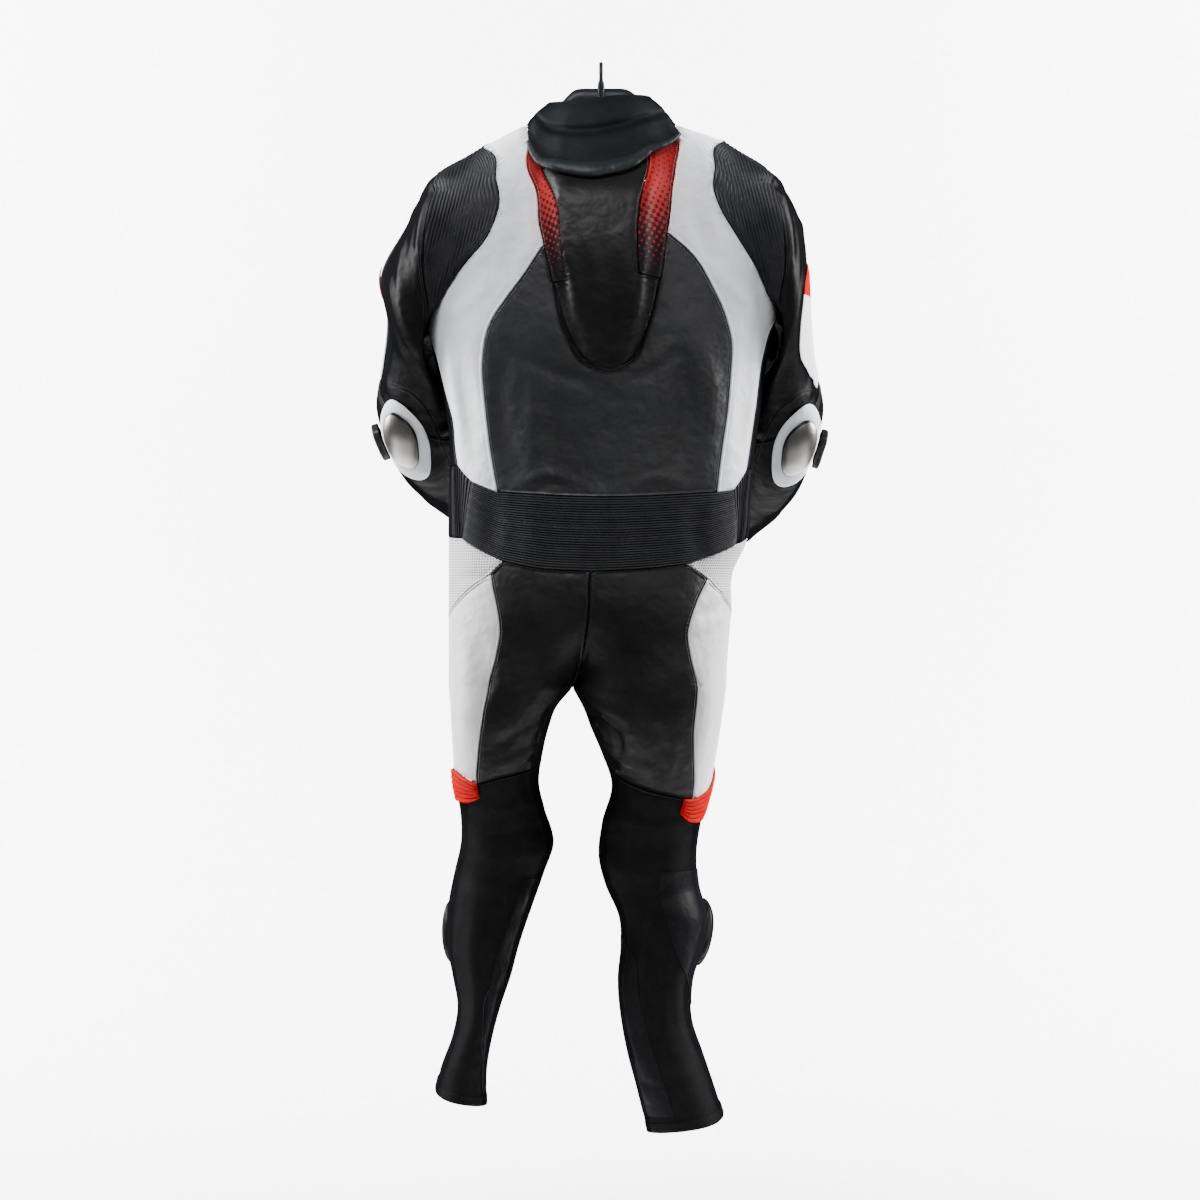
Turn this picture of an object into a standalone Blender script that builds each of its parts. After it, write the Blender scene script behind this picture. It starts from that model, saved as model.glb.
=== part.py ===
"""Motorcycle race suit hanging empty on a broad hanger, built from its cut-and-sewn panels.

Every panel is a thin wall between seam lines that it shares with its neighbours. The seam lines lie
on three kinds of hollow form: the torso, the two trouser legs and the two sleeves. All tables are in
millimetres and degrees; "down" is the distance below the hook's bearing point, which is the origin.
+X is the wearer's right, the back of the suit faces -Y, and +Z is up.
"""
import math

import bpy
import numpy as np
from mathutils.geometry import delaunay_2d_cdt

MM = 0.001                      # metres in a millimetre
SIDES = {"L": -1, "R": 1}       # sign of X on each side

LEATHER = 1.8                   # wall thickness of a leather panel
FABRIC = 1.2                    # wall thickness of the plain stretch fabric inside the legs
STRETCH = 2.0                   # wall thickness of a ribbed stretch panel, without its ribs
NEOPRENE = 3.0                  # wall thickness of the soft collar
SEAM_GAP = 0.36                 # clear gap between neighbouring panels
LATTICE = 37.0                  # distance between the points inside a plain panel
EXTRA_MARGIN = 8.0              # least distance of an extra point from its panel's edge
BOXY = 0.12                     # how much squarer than an ellipse the body's rings are

# Torso rings: down, left edge, right edge, half depth behind, half depth in front
TORSO = np.array((
    (82, -100, 101, 72, 72),
    (92, -124, 132, 76, 76),
    (101, -141, 160, 80, 80),
    (112, -161, 180, 84, 83),
    (124, -181, 198, 88, 86),
    (137, -203, 218, 92, 89),
    (156, -231, 242, 97, 93),
    (180, -244, 251, 103, 97),
    (210, -248, 255, 108, 101),
    (250, -246, 252, 114, 107),
    (300, -241, 247, 119, 113),
    (342, -238, 241, 121, 117),
    (370, -235, 236, 121, 118),
    (410, -227, 227, 117, 118),
    (470, -213, 219, 108, 114),
    (535, -207, 210, 99, 108),
    (590, -208, 205, 96, 104),
    (657, -209, 198, 104, 106),
    (694, -209, 181, 112, 110),
    (750, -209, 180, 121, 112),
    (852, -209, 172, 118, 108),
), float)

# Aero hump behind the shoulders: down, middle, half width, height above the back
HUMP = np.array((
    (82, 3, 100, 2),
    (115, 4, 98, 6),
    (150, 4, 94, 16),
    (180, 4, 91, 37),
    (220, 3, 87, 47),
    (254, 5, 84, 50),
    (300, 7, 74, 46),
    (350, 8, 62, 33),
    (390, 9, 46, 14),
    (424, 10, 20, 0),
), float)
HUMP_FLANK = 0.36               # share of the hump's half width that its sloping flank takes

# Trouser rings: down, inner edge, outer edge, forward offset, half depth
LEGS = {
    "L": np.array((
        (852, -39, -209, 0, 108),
        (880, -62, -207, 8, 107),
        (904, -71, -206, 16, 105),
        (945, -81, -204, 32, 101),
        (986, -86, -202, 50, 96),
        (1020, -79, -196, 66, 91),
        (1069, -66, -195, 84, 87),
        (1110, -79, -204, 92, 84),
        (1151, -94, -212, 92, 82),
        (1213, -115, -214, 84, 76),
        (1254, -126, -206, 74, 71),
        (1295, -140, -199, 62, 66),
        (1336, -151, -206, 50, 62),
        (1377, -158, -221, 40, 60),
        (1432, -158, -233, 30, 60),
    ), float),
    "R": np.array((
        (852, -39, 172, 0, 108),
        (880, -24, 168, 8, 107),
        (904, -15, 165, 16, 105),
        (945, 2, 159, 32, 101),
        (986, 15, 152, 50, 96),
        (1040, 2, 139, 72, 90),
        (1089, -3, 133, 88, 86),
        (1130, 7, 136, 93, 83),
        (1172, 25, 147, 90, 80),
        (1213, 28, 142, 84, 76),
        (1254, 24, 128, 74, 71),
        (1316, 29, 127, 57, 64),
        (1357, 37, 141, 46, 61),
        (1398, 48, 155, 36, 60),
        (1470, 66, 178, 26, 60),
    ), float),
}
FORK_TOP = 694.0                # down to where the body starts to divide into two legs
FORK = 852.0                    # down to the crotch
FORK_RUN = 220.0                # length of the seat seam between the two
FORK_BLEND = 60.0               # how far below the crotch the outer side still takes the body's form
FORK_NEAR = 0.1                 # sine of the leg angle beyond which the crotch has no effect

# Sleeve rings after the armhole: outer x, y, down; inner x, y, down; half depth behind, in front; tilt
SLEEVES = {
    "L": np.array((
        (-205, 0, 139, -236, 50, 388, 100, 66, 0),
        (-243, 0, 174, -241, 54, 398, 106, 74, 4),
        (-268, 2, 222, -237, 60, 410, 108, 80, 9),
        (-302, 10, 288, -224, 72, 424, 103, 80, 15),
        (-293, 34, 346, -210, 86, 442, 93, 76, 21),
        (-300, 58, 404, -200, 100, 470, 80, 70, 27),
        (-312, 78, 462, -196, 112, 496, 68, 64, 35),
        (-299, 98, 505, -198, 125, 524, 59, 60, 46),
        (-282, 136, 534, -191, 146, 540, 53, 55, 60),
        (-256, 186, 562, -173, 190, 557, 49, 51, 68),
        (-231, 232, 584, -156, 232, 577, 45, 46, 70),
        (-217, 258, 596, -148, 257, 589, 43, 43, 70),
    ), float),
    "R": np.array((
        (212, 0, 133, 243, 50, 372, 100, 66, 0),
        (252, 0, 170, 248, 54, 383, 106, 74, 4),
        (276, 2, 222, 244, 60, 397, 108, 79, 9),
        (284, 10, 286, 232, 72, 414, 103, 84, 15),
        (288, 36, 348, 216, 86, 436, 93, 80, 21),
        (295, 60, 408, 207, 100, 470, 80, 70, 27),
        (309, 78, 466, 203, 113, 502, 68, 64, 35),
        (297, 98, 514, 204, 125, 534, 59, 60, 46),
        (284, 134, 552, 199, 146, 552, 54, 55, 60),
        (262, 180, 582, 185, 190, 575, 49, 51, 68),
        (239, 226, 606, 167, 232, 596, 45, 46, 70),
        (225, 252, 619, 156, 257, 609, 43, 43, 70),
    ), float),
}
SLEEVE_STEPS = len(SLEEVES["L"])
SLEEVE_CLEARANCE = 5.0          # clear space kept between the hanging sleeve and the torso
UNDERARM_STUB = ((13.0, 14.0, 1.0), (18.0, 32.0, 0.6))     # out, down and share, on the first two rings
ELBOW_STEP = 6.6                # ring at which the elbow seam lies

# Seam lines of the back, as (across, down) points on each side
WHITE_INNER_TOP = {
    "L": ((-96, 115), (-88, 180), (-84, 225), (-78, 254)),
    "R": ((104, 104), (101, 150), (95, 200), (90, 237)),
}
WHITE_INNER_LOW = {
    "L": ((-78, 254), (-103, 292), (-130, 328), (-151, 361), (-160, 400), (-158, 466), (-151, 527),
          (-141, 587)),
    "R": ((90, 237), (125, 268), (151, 310), (170, 352), (178, 390), (174, 458), (165, 527),
          (158, 587)),
}
ARMHOLE_POINTS = {
    "L": ((-143, 156), (-137, 191), (-142, 215), (-158, 248), (-182, 275), (-207, 307), (-225, 337)),
    "R": ((154, 136), (152, 165), (160, 200), (186, 244), (211, 283), (226, 314)),
}
ARMHOLE_TOP = {"L": 106.0, "R": 101.0}
ARMHOLE_FRONT = {
    "L": ((-138, 150), (-138, 200), (-146, 250), (-160, 300), (-186, 345)),
    "R": ((148, 142), (146, 190), (153, 240), (168, 288), (194, 330)),
}
ARMPIT = {"L": 359.0, "R": 342.0}
UNDERARM = {"L": (112.0, 375.0), "R": (112.0, 358.0)}      # torso angle and down of the sleeve's seam
WHITE_OUTER_LOW = {
    "L": ((-226, 396), (-210, 458), (-202, 490), (-199, 525), (-196, 549)),
    "R": ((229, 369), (219, 410), (211, 472), (202, 535), (199, 555)),
}
WAIST_CORNER = {"L": (-176, 572), "R": (181, 583)}
WAIST_INNER = {"L": (-141, 587), "R": (158, 587)}
INSERT_TOP = {"L": (-78, 139), "R": (64, 126)}
INSERT_INNER = {
    "L": ((-78, 139), (-62, 196), (-55, 247), (-49, 306)),
    "R": ((64, 126), (60, 165), (50, 224), (49, 255), (51, 298)),
}
INSERT_BOTTOM = {"L": (-66, 306), "R": (81, 300)}
HUMP_POINT = ((-66, 306), (-49, 373), (-24, 412), (10, 424), (44, 408), (63, 369), (81, 300))
NAPE = ((-78, 139), (-42, 151), (-10, 155), (26, 148), (64, 126))
NECK_SIDE = {"L": (-100, 98), "R": (104, 92)}
NECK_FRONT = ((100, 94), (95, 112), (78, 136), (42, 158))
LUMBAR_TIP = {"L": (-132, 680), "R": (115, 684)}
LUMBAR_LOW = {"L": (-85, 690), "R": (51, 691)}
LUMBAR_END = {"L": (-189, 649), "R": (184, 657)}

# Seam lines of the legs behind, as (across, down) points on each side
MESH_TIP = {"L": (-150, 698), "R": (145, 704)}
MESH_LOW = {"L": ((-180, 719), (-203, 744)), "R": ((163, 724), (178, 746))}
THIGH_SEAM = {
    "L": ((-150, 698), (-143, 733), (-137, 770), (-141, 803), (-151, 838), (-159, 882), (-166, 932),
          (-170, 984)),
    "R": ((145, 704), (130, 735), (119, 770), (122, 809), (129, 838), (130, 868), (126, 922),
          (125, 1006)),
}
THIGH_FOOT = {"L": (-198, 968), "R": (147, 994)}
SEAT_FOOT = {"L": ((-170, 984), (-125, 972)), "R": ((125, 1006), (70, 995))}
SEAT_FOOT_INNER = {"L": 957.0, "R": 955.0}
HEM = {"L": (1429.0, 1422.0, 1402.0, 1408.0), "R": (1466.0, 1458.0, 1436.0, 1444.0)}

SIDE_FRONT = 115.0              # torso angle of the side panels' front edge
OUTER_FRONT = 2 * SIDE_FRONT - 90       # the same place as a leg angle
SHIN_EDGE = 105.0               # leg angle of the seam between calf and shin
INNER_SEAM = 225.0              # leg angle of the inner-leg panel's front edge
WAIST_FRONT = 646.0             # down to the front waist seam

# Ribbed stretch panels
LUMBAR_RIBS = 15
SIDE_RIBS = 14
ARM_RIBS = 9
ARM_STEPS = 7                   # steps along each rib of the shoulder panel
SIDE_STEPS = 5                  # steps along each rib of the side panel
RIB_HEIGHT = 1.8
RIB_END = 0.3                   # share of the height left where a rib is sewn in


# ---------------------------------------------------------------- curves and forms

def through(keys, values, at):
    """Smooth curve through a table of values, read at any places."""
    at = np.clip(at, keys[0], keys[-1])
    slope = np.gradient(values, keys, axis=0)
    low = np.clip(np.searchsorted(keys, at, side="right") - 1, 0, len(keys) - 2)
    step = (keys[low + 1] - keys[low])[:, None]
    part = (at[:, None] - keys[low][:, None]) / step
    return hermite(values[low], values[low + 1], slope[low] * step, slope[low + 1] * step, part)


def hermite(start, end, start_slope, end_slope, part):
    """Point on a cubic between two values with given slopes."""
    square, cube = part ** 2, part ** 3
    return (start * (2 * cube - 3 * square + 1) + end * (3 * square - 2 * cube)
            + start_slope * (cube - 2 * square + part) + end_slope * (cube - square))


def unit(vectors):
    return vectors / np.maximum(np.linalg.norm(vectors, axis=-1, keepdims=True), 1e-9)


def smooth_step(value):
    value = np.clip(value, 0.0, 1.0)
    return value * value * (3 - 2 * value)


def boxed(first, second):
    """Sine-like value of a ring that is squarer than an ellipse."""
    return first * (1 + BOXY * second ** 2)


def hump_height(across, down):
    """Height of the aero hump above the back."""
    middle, half, height = through(HUMP[:, 0], HUMP[:, 1:], down).T
    inside = 1 - np.abs(across - middle) / np.maximum(half, 1.0)
    return height * smooth_step(inside / HUMP_FLANK)


def torso(spots):
    """Points of the torso at (angle, down); angle 0 is the middle of the back, 90 the right side."""
    turn = np.radians(spots[:, 0])
    down = spots[:, 1]
    left, right, behind, before = through(TORSO[:, 0], TORSO[:, 1:], down).T
    sine, cosine = np.sin(turn), np.cos(turn)
    across = (left + right) / 2 + (right - left) / 2 * boxed(sine, cosine)
    deep = -np.where(cosine > 0, behind, before) * boxed(cosine, sine)
    deep = deep - np.where(cosine > 0, hump_height(across, down), 0.0)
    return np.stack((across, deep, -down), axis=1)


def fork_share(run):
    return np.clip((run - FORK_TOP) / FORK_RUN, 0.0, 1.0)


def down_of(run):
    """Height of a place that lies this far along the seat seam and the leg."""
    share = fork_share(run)
    inside = (FORK - FORK_TOP) * (0.35 * share + 0.65 * np.sin(share * math.pi / 2))
    return np.minimum(run, FORK_TOP) + inside + np.maximum(run - FORK_TOP - FORK_RUN, 0.0)


def run_of(down):
    """The reverse of down_of."""
    runs = np.linspace(FORK_TOP, FORK_TOP + FORK_RUN, 200)
    inside = np.interp(down, down_of(runs), runs)
    return np.where(down < FORK_TOP, down, np.where(down > FORK, down + FORK_TOP + FORK_RUN - FORK, inside))


def leg(side):
    """Form of one trouser half at (angle, run): angle -90 inner, 0 behind, 90 outer, 180 in front."""
    def form(spots):
        turn = np.radians(spots[:, 0])
        run = spots[:, 1]
        down = down_of(run)
        body_turn = SIDES[side] * (spots[:, 0] + 90) / 2
        body = torso(np.stack((body_turn, down), axis=1))
        inner, outer, forward, depth = through(LEGS[side][:, 0], LEGS[side][:, 1:], down).T
        sine, cosine = np.sin(turn), np.cos(turn)
        across = (inner + outer) / 2 + (outer - inner) / 2 * boxed(sine, cosine)
        deep = forward - depth * boxed(cosine, sine)
        ring = np.stack((across, deep, -down), axis=1)
        tight = 1 - np.cos(fork_share(run) * math.pi / 2)
        gentle = smooth_step((down - FORK_TOP) / (FORK - FORK_TOP + FORK_BLEND))
        near_crotch = smooth_step((FORK_NEAR - sine) / (FORK_NEAR + 1))
        share = (gentle + (tight - gentle) * near_crotch)[:, None]
        return body * (1 - share) + ring * share
    return form


def sleeve(side):
    """Form of one sleeve at (angle, step): angle 90 outer, 0 behind, -90 under the arm, 180 in front."""
    rings = SLEEVES[side]
    outer = rings[:, 0:3] * (1, 1, -1)
    inner = rings[:, 3:6] * (1, 1, -1)
    middle = (outer + inner) / 2
    reach = (outer - inner) / 2
    tilt = np.radians(rings[:, 8])
    back = np.stack((np.zeros_like(tilt), -np.cos(tilt), -np.sin(tilt)), axis=1)
    reach_direction = reach / np.linalg.norm(reach, axis=1)[:, None]
    back = back - reach_direction * np.sum(back * reach_direction, axis=1)[:, None]
    back = back / np.linalg.norm(back, axis=1)[:, None]

    def form(spots):
        turn = np.radians(spots[:, 0])
        sine, cosine = np.sin(turn)[None, :, None], np.cos(turn)[None, :, None]
        depth = np.where(cosine > 0, rings[:, 6][:, None, None], rings[:, 7][:, None, None])
        rounds = (middle[:, None] + reach[:, None] * boxed(sine, cosine)
                  + back[:, None] * depth * boxed(cosine, sine))
        start = torso(armhole(side, spots[:, 0]))
        low = smooth_step((0.3 - np.sin(turn)) / 1.3)[:, None]
        for number, (out, down, share) in enumerate(UNDERARM_STUB):
            stub = start + (SIDES[side] * out, 0, -down)
            rounds[number] += (stub - rounds[number]) * low * share
        rounds = np.concatenate((start[None], rounds))
        slopes = np.gradient(rounds, axis=0)
        step = np.clip(spots[:, 1], 0.0, SLEEVE_STEPS)
        low = np.minimum(step.astype(int), SLEEVE_STEPS - 1)
        each = np.arange(len(step))
        points = hermite(rounds[low, each], rounds[low + 1, each], slopes[low, each],
                         slopes[low + 1, each], (step - low)[:, None])
        return outside_torso(points, SLEEVE_CLEARANCE * smooth_step(step / 3))
    return form


def outside_torso(points, margin):
    """Points pushed out of the torso, so that a hanging sleeve lies beside it."""
    left, right, behind, before = through(TORSO[:, 0], TORSO[:, 1:], -points[:, 2]).T
    middle, half = (left + right) / 2, (right - left) / 2
    depth = np.where(points[:, 1] < 0, behind, before)
    across = (points[:, 0] - middle) / (half + margin)
    deep = points[:, 1] / (depth + margin)
    reach = np.hypot(across, deep)
    limit = 1 + BOXY / 2 * np.sin(2 * np.arctan2(across, deep)) ** 2
    grow = np.where(margin > 0, np.maximum(limit / np.maximum(reach, 0.05), 1.0), 1.0)
    grow = 1 + (grow - 1) * smooth_step(margin / SLEEVE_CLEARANCE * 4)
    moved = points.copy()
    moved[:, 0] = middle + (points[:, 0] - middle) * grow
    moved[:, 1] = points[:, 1] * grow
    return moved


# ---------------------------------------------------------------- places on the forms

def behind(across, down):
    """Torso spot on the back at this distance across."""
    left, right = through(TORSO[:, 0], TORSO[:, 1:3], np.array([float(down)]))[0]
    turns = np.linspace(-90, 90, 721)
    radians = np.radians(turns)
    share = (across - (left + right) / 2) / ((right - left) / 2)
    return float(np.interp(share, boxed(np.sin(radians), np.cos(radians)), turns)), float(down)


def before(across, down):
    """Torso spot on the front at this distance across."""
    turn, down = behind(across, down)
    return math.copysign(180, turn) - turn, down


def leg_behind(side, across, down):
    """Leg spot on the back at this distance across."""
    run = float(run_of(np.array([float(down)]))[0])
    turns = np.linspace(-90, 90, 361)
    found = leg(side)(np.stack((turns, np.full_like(turns, run)), axis=1))[:, 0]
    return float(np.interp(SIDES[side] * across, SIDES[side] * found, turns)), run


def leg_at(turn, down):
    return turn, float(run_of(np.array([float(down)]))[0])


def spot_line(spots, shares, scale):
    """Spots at given shares of the length of a smooth line through the given spots."""
    spots = np.array(spots, float)
    lengths = np.linalg.norm(np.diff(spots * scale, axis=0), axis=1)
    keys = np.concatenate(((0.0,), np.cumsum(lengths)))
    if len(spots) == 2:
        return spots[0] + (spots[1] - spots[0]) * np.asarray(shares)[:, None]
    return through(keys / keys[-1], spots, np.asarray(shares, float))


def armhole_line(side, front):
    """Control spots of the armhole, from the shoulder ridge to the underarm seam."""
    sign = SIDES[side]
    ridge = [(90.0 * sign, ARMHOLE_TOP[side])]
    foot = [(UNDERARM[side][0] * sign, UNDERARM[side][1])]
    if front:
        return ridge + [before(across, down) for across, down in ARMHOLE_FRONT[side]] + foot
    back = [behind(across, down) for across, down in ARMHOLE_POINTS[side]]
    return ridge + back + [(90.0 * sign, ARMPIT[side])] + foot


ARMHOLE_LINES = {(side, front): armhole_line(side, front) for side in SIDES for front in (False, True)}
TORSO_SCALE = np.array((2.9, 1.0))      # millimetres for one degree round, and for one down
LEG_SCALE = np.array((1.5, 1.0))
SLEEVE_SCALE = np.array((1.05, 52.0))   # millimetres for one degree round, and for one ring step


def armhole_share(turns):
    """Share of the armhole's length, from the ridge down, at the sleeve's own angles."""
    height = 0.5 * np.sin(np.radians(turns)) + 0.5 * np.where(turns > 90, 180 - turns, turns) / 90
    return np.clip((1 - height) / 2, 0, 1)


def armpit_turn(side):
    """Sleeve angle at which the armhole passes the top of the torso's side seam."""
    line = np.array(ARMHOLE_LINES[side, False]) * TORSO_SCALE
    lengths = np.cumsum(np.linalg.norm(np.diff(line, axis=0), axis=1))
    turns = np.linspace(90, -90, 361)
    return float(np.interp(lengths[-2] / lengths[-1], armhole_share(turns), turns))


def armhole(side, turns):
    """Torso spots of the armhole at the sleeve's own angles."""
    share = armhole_share(turns)
    back = spot_line(ARMHOLE_LINES[side, False], share, TORSO_SCALE)
    front = spot_line(ARMHOLE_LINES[side, True], share, TORSO_SCALE)
    return np.where((turns > 90)[:, None], front, back)


FORMS = {"torso": torso}
SCALES = {"torso": TORSO_SCALE}
OUTWARD = {"torso": -1}         # sign that turns a form's own normal outward
for _side, _sign in SIDES.items():
    FORMS["leg_" + _side] = leg(_side)
    FORMS["sleeve_" + _side] = sleeve(_side)
    SCALES["leg_" + _side] = LEG_SCALE
    SCALES["sleeve_" + _side] = SLEEVE_SCALE
    OUTWARD["leg_" + _side] = -_sign
    OUTWARD["sleeve_" + _side] = -_sign


def outward(form, spots):
    """Outward unit normals of a form."""
    small = 1.0 / SCALES[form]
    surface = FORMS[form]
    along = surface(spots + (small[0], 0)) - surface(spots - (small[0], 0))
    down = surface(spots + (0, small[1])) - surface(spots - (0, small[1]))
    normal = np.cross(along, down) * OUTWARD[form]
    return normal / np.maximum(np.linalg.norm(normal, axis=1), 1e-9)[:, None]


# ---------------------------------------------------------------- seams

SEAMS = {}                      # name: {"at": points, "out": normals, form: spots on that form}


def seam(name, count, **lines):
    """Seam with count steps. Each keyword is a form and the control spots of the seam on it."""
    shares = np.linspace(0, 1, count + 1)
    store_seam(name, {form: spot_line(spots, shares, SCALES[form]) for form, spots in lines.items()})


def store_seam(name, found):
    """Keep a seam. A form's name with a plus is the same form read one whole turn further."""
    normals = 0
    points = None
    for form, spots in found.items():
        plain = form.rstrip("+")
        if points is None:
            points = FORMS[plain](spots)
        normals = normals + outward(plain, spots)
    normals = normals / np.linalg.norm(normals, axis=1)[:, None]
    SEAMS[name] = dict(found, at=points, out=normals)


def both(spots, side):
    """The same torso spots for the torso and for the trouser half below it."""
    legs = [(2 * abs(turn) - 90, down) for turn, down in spots]
    return {"torso": spots, "leg_" + side: legs}


def make_torso_seams():
    for side, sign in SIDES.items():
        ridge, armpit = (90.0 * sign, ARMHOLE_TOP[side]), (90.0 * sign, ARMPIT[side])
        neck_ridge = (90.0 * sign, 82.0)
        seam("ridge_" + side, 2, torso=[neck_ridge, ridge])
        neck = [neck_ridge, behind(*NECK_SIDE[side]), behind(*WHITE_INNER_TOP[side][0])]
        seam("neck_side_" + side, 2, torso=neck)
        seam("neck_insert_" + side, 1, torso=[neck[-1], behind(*INSERT_TOP[side])])
        front_neck = [before(sign * across, down) for across, down in NECK_FRONT]
        seam("neck_front_" + side, 6, torso=[neck_ridge] + front_neck + [(180.0 * sign, 165.0)])
        seam("white_top_" + side, 6, torso=[behind(*p) for p in WHITE_INNER_TOP[side]])
        seam("white_low_" + side, 12, torso=[behind(*p) for p in WHITE_INNER_LOW[side]])
        low = [armpit] + [behind(*p) for p in WHITE_OUTER_LOW[side]]
        seam("white_outer_" + side, 8, torso=low)
        corner = behind(*WAIST_CORNER[side])
        seam("white_foot_" + side, 1, torso=[low[-1], corner])
        seam("lumbar_corner_" + side, 2, torso=[corner, behind(*WAIST_INNER[side])])
        seam("insert_inner_" + side, 6, torso=[behind(*p) for p in INSERT_INNER[side]])
        bottom = behind(*INSERT_BOTTOM[side])
        seam("insert_foot_" + side, 1, torso=[behind(*INSERT_INNER[side][-1]), bottom])
        seam("insert_outer_" + side, 4, torso=[behind(*WHITE_INNER_TOP[side][-1]), bottom])
        make_side_seams(side, sign, low[-1], corner)
    seam("nape", 6, torso=[behind(*p) for p in NAPE])
    seam("hump_point", 12, torso=[behind(*p) for p in HUMP_POINT])
    waist = [behind(*WAIST_INNER["L"]), behind(-8, 594), behind(*WAIST_INNER["R"])]
    seam("waist", 6, torso=waist)
    downs = np.linspace(165, 652, 17)
    store_seam("front_centre", {"torso": np.stack((np.full_like(downs, 180.0), downs), axis=1),
                                "torso+": np.stack((np.full_like(downs, -180.0), downs), axis=1)})


def make_side_seams(side, sign, stretch_top, corner):
    """Seams round the ribbed side panel and the bottom of the lumbar panel."""
    end = behind(*LUMBAR_END[side])
    front_top, front_foot = (SIDE_FRONT * sign, 558.0), (SIDE_FRONT * sign, WAIST_FRONT)
    tip, low = behind(*LUMBAR_TIP[side]), behind(*LUMBAR_LOW[side])
    seam("stretch_top_" + side, SIDE_RIBS * 2 - 1, torso=[stretch_top, (95.0 * sign, 552.0), front_top])
    seam("stretch_front_" + side, SIDE_STEPS, torso=[front_top, front_foot])
    foot = [front_foot, (95.0 * sign, 646.0), end]
    seam("stretch_foot_" + side, SIDE_RIBS * 2, **both(foot, side))
    seam("lumbar_side_" + side, LUMBAR_RIBS * 2, torso=[corner, end])
    seam("lumbar_end_" + side, 2, **both([end, tip], side))
    seam("lumbar_foot_" + side, 3, **both([tip, low, (0.0, FORK_TOP)], side))
    waist_front = [front_foot, (150.0 * sign, 650.0), (180.0 * sign, 652.0)]
    seam("waist_front_" + side, 5, **both(waist_front, side))


def make_leg_seams(side):
    form = "leg_" + side
    inner_foot = SEAT_FOOT_INNER[side]
    corner = leg_behind(side, *MESH_TIP[side])
    front_waist = (OUTER_FRONT, WAIST_FRONT)
    mesh_front, knee_front = leg_at(OUTER_FRONT, 760), leg_at(OUTER_FRONT, inner_foot + 22)
    shin_top, inner_knee = leg_at(SHIN_EDGE, inner_foot + 10), leg_at(INNER_SEAM, inner_foot + 30)
    crotch_run, gusset = FORK_TOP + FORK_RUN, leg_at(270, 790)
    tip = leg_behind(side, *LUMBAR_TIP[side])
    seam("mesh_tip_" + side, 1, **{form: [tip, corner]})
    mesh_low = [leg_behind(side, *p) for p in MESH_LOW[side]]
    seam("mesh_low_" + side, 8, **{form: [corner] + mesh_low + [mesh_front]})
    seam("mesh_front_" + side, 4, **{form: [front_waist, mesh_front]})
    seam("thigh_seam_" + side, 10, **{form: [leg_behind(side, *p) for p in THIGH_SEAM[side]]})
    seam("thigh_front_" + side, 7, **{form: [mesh_front, knee_front]})
    knee_corner = leg_behind(side, *THIGH_SEAM[side][-1])
    seam("thigh_foot_" + side, 2, **{form: [knee_corner, leg_behind(side, *THIGH_FOOT[side]), shin_top]})
    seam("thigh_foot_front_" + side, 2, **{form: [shin_top, knee_front]})
    foot = [leg_behind(side, *p) for p in SEAT_FOOT[side]] + [leg_at(-90, inner_foot)]
    seam("seat_foot_" + side, 4, **{form: foot})
    two_faced_seam("inner_top_" + side, 4, side, run_of(np.array([inner_foot]))[0], crotch_run)
    seam("knee_front_" + side, 3, **{form: [knee_front, (180.0, knee_front[1] + 10), inner_knee]})
    seam("knee_inner_" + side, 2, **{form: [inner_knee, leg_at(270, inner_foot)]})
    gusset_line = [inner_knee, leg_at(INNER_SEAM, 900), leg_at(244, 845), gusset]
    seam("gusset_" + side, 12, **{form: gusset_line})
    hem = HEM[side]
    seam("shin_edge_" + side, 15, **{form: [shin_top, leg_at(SHIN_EDGE, hem[2])]})
    inner_run = run_of(np.array([inner_foot, hem[0]]))
    two_faced_seam("inner_low_" + side, 16, side, inner_run[0], inner_run[1])
    hem_corner = leg_at(SHIN_EDGE, hem[2])
    seam("hem_back_" + side, 7, **{form: [leg_at(-90, hem[0]), leg_at(0, hem[1]), hem_corner]})
    seam("hem_front_" + side, 6, **{form: [hem_corner, leg_at(180, hem[3]), leg_at(270, hem[0])]})


def two_faced_seam(name, count, side, start_run, end_run):
    """Seam up the inner leg, which the back reads at -90 degrees and the front at 270."""
    runs = np.linspace(start_run, end_run, count + 1)
    form = "leg_" + side
    store_seam(name, {form: np.stack((np.full_like(runs, -90.0), runs), axis=1),
                      form + "+": np.stack((np.full_like(runs, 270.0), runs), axis=1)})


def make_middle_seams():
    """Centre seams that both trouser halves share, behind and in front."""
    gusset_run = run_of(np.array([790.0]))[0]
    crotch_run = FORK_TOP + FORK_RUN
    for name, turn, start, end, count in (("seat_centre", -90.0, crotch_run, FORK_TOP, 9),
                                          ("fly", 270.0, 652.0, gusset_run, 6),
                                          ("gusset_centre", 270.0, gusset_run, crotch_run, 5)):
        runs = np.linspace(start, end, count + 1)
        spots = np.stack((np.full_like(runs, turn), runs), axis=1)
        store_seam(name, {"leg_L": spots, "leg_R": spots})


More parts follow.
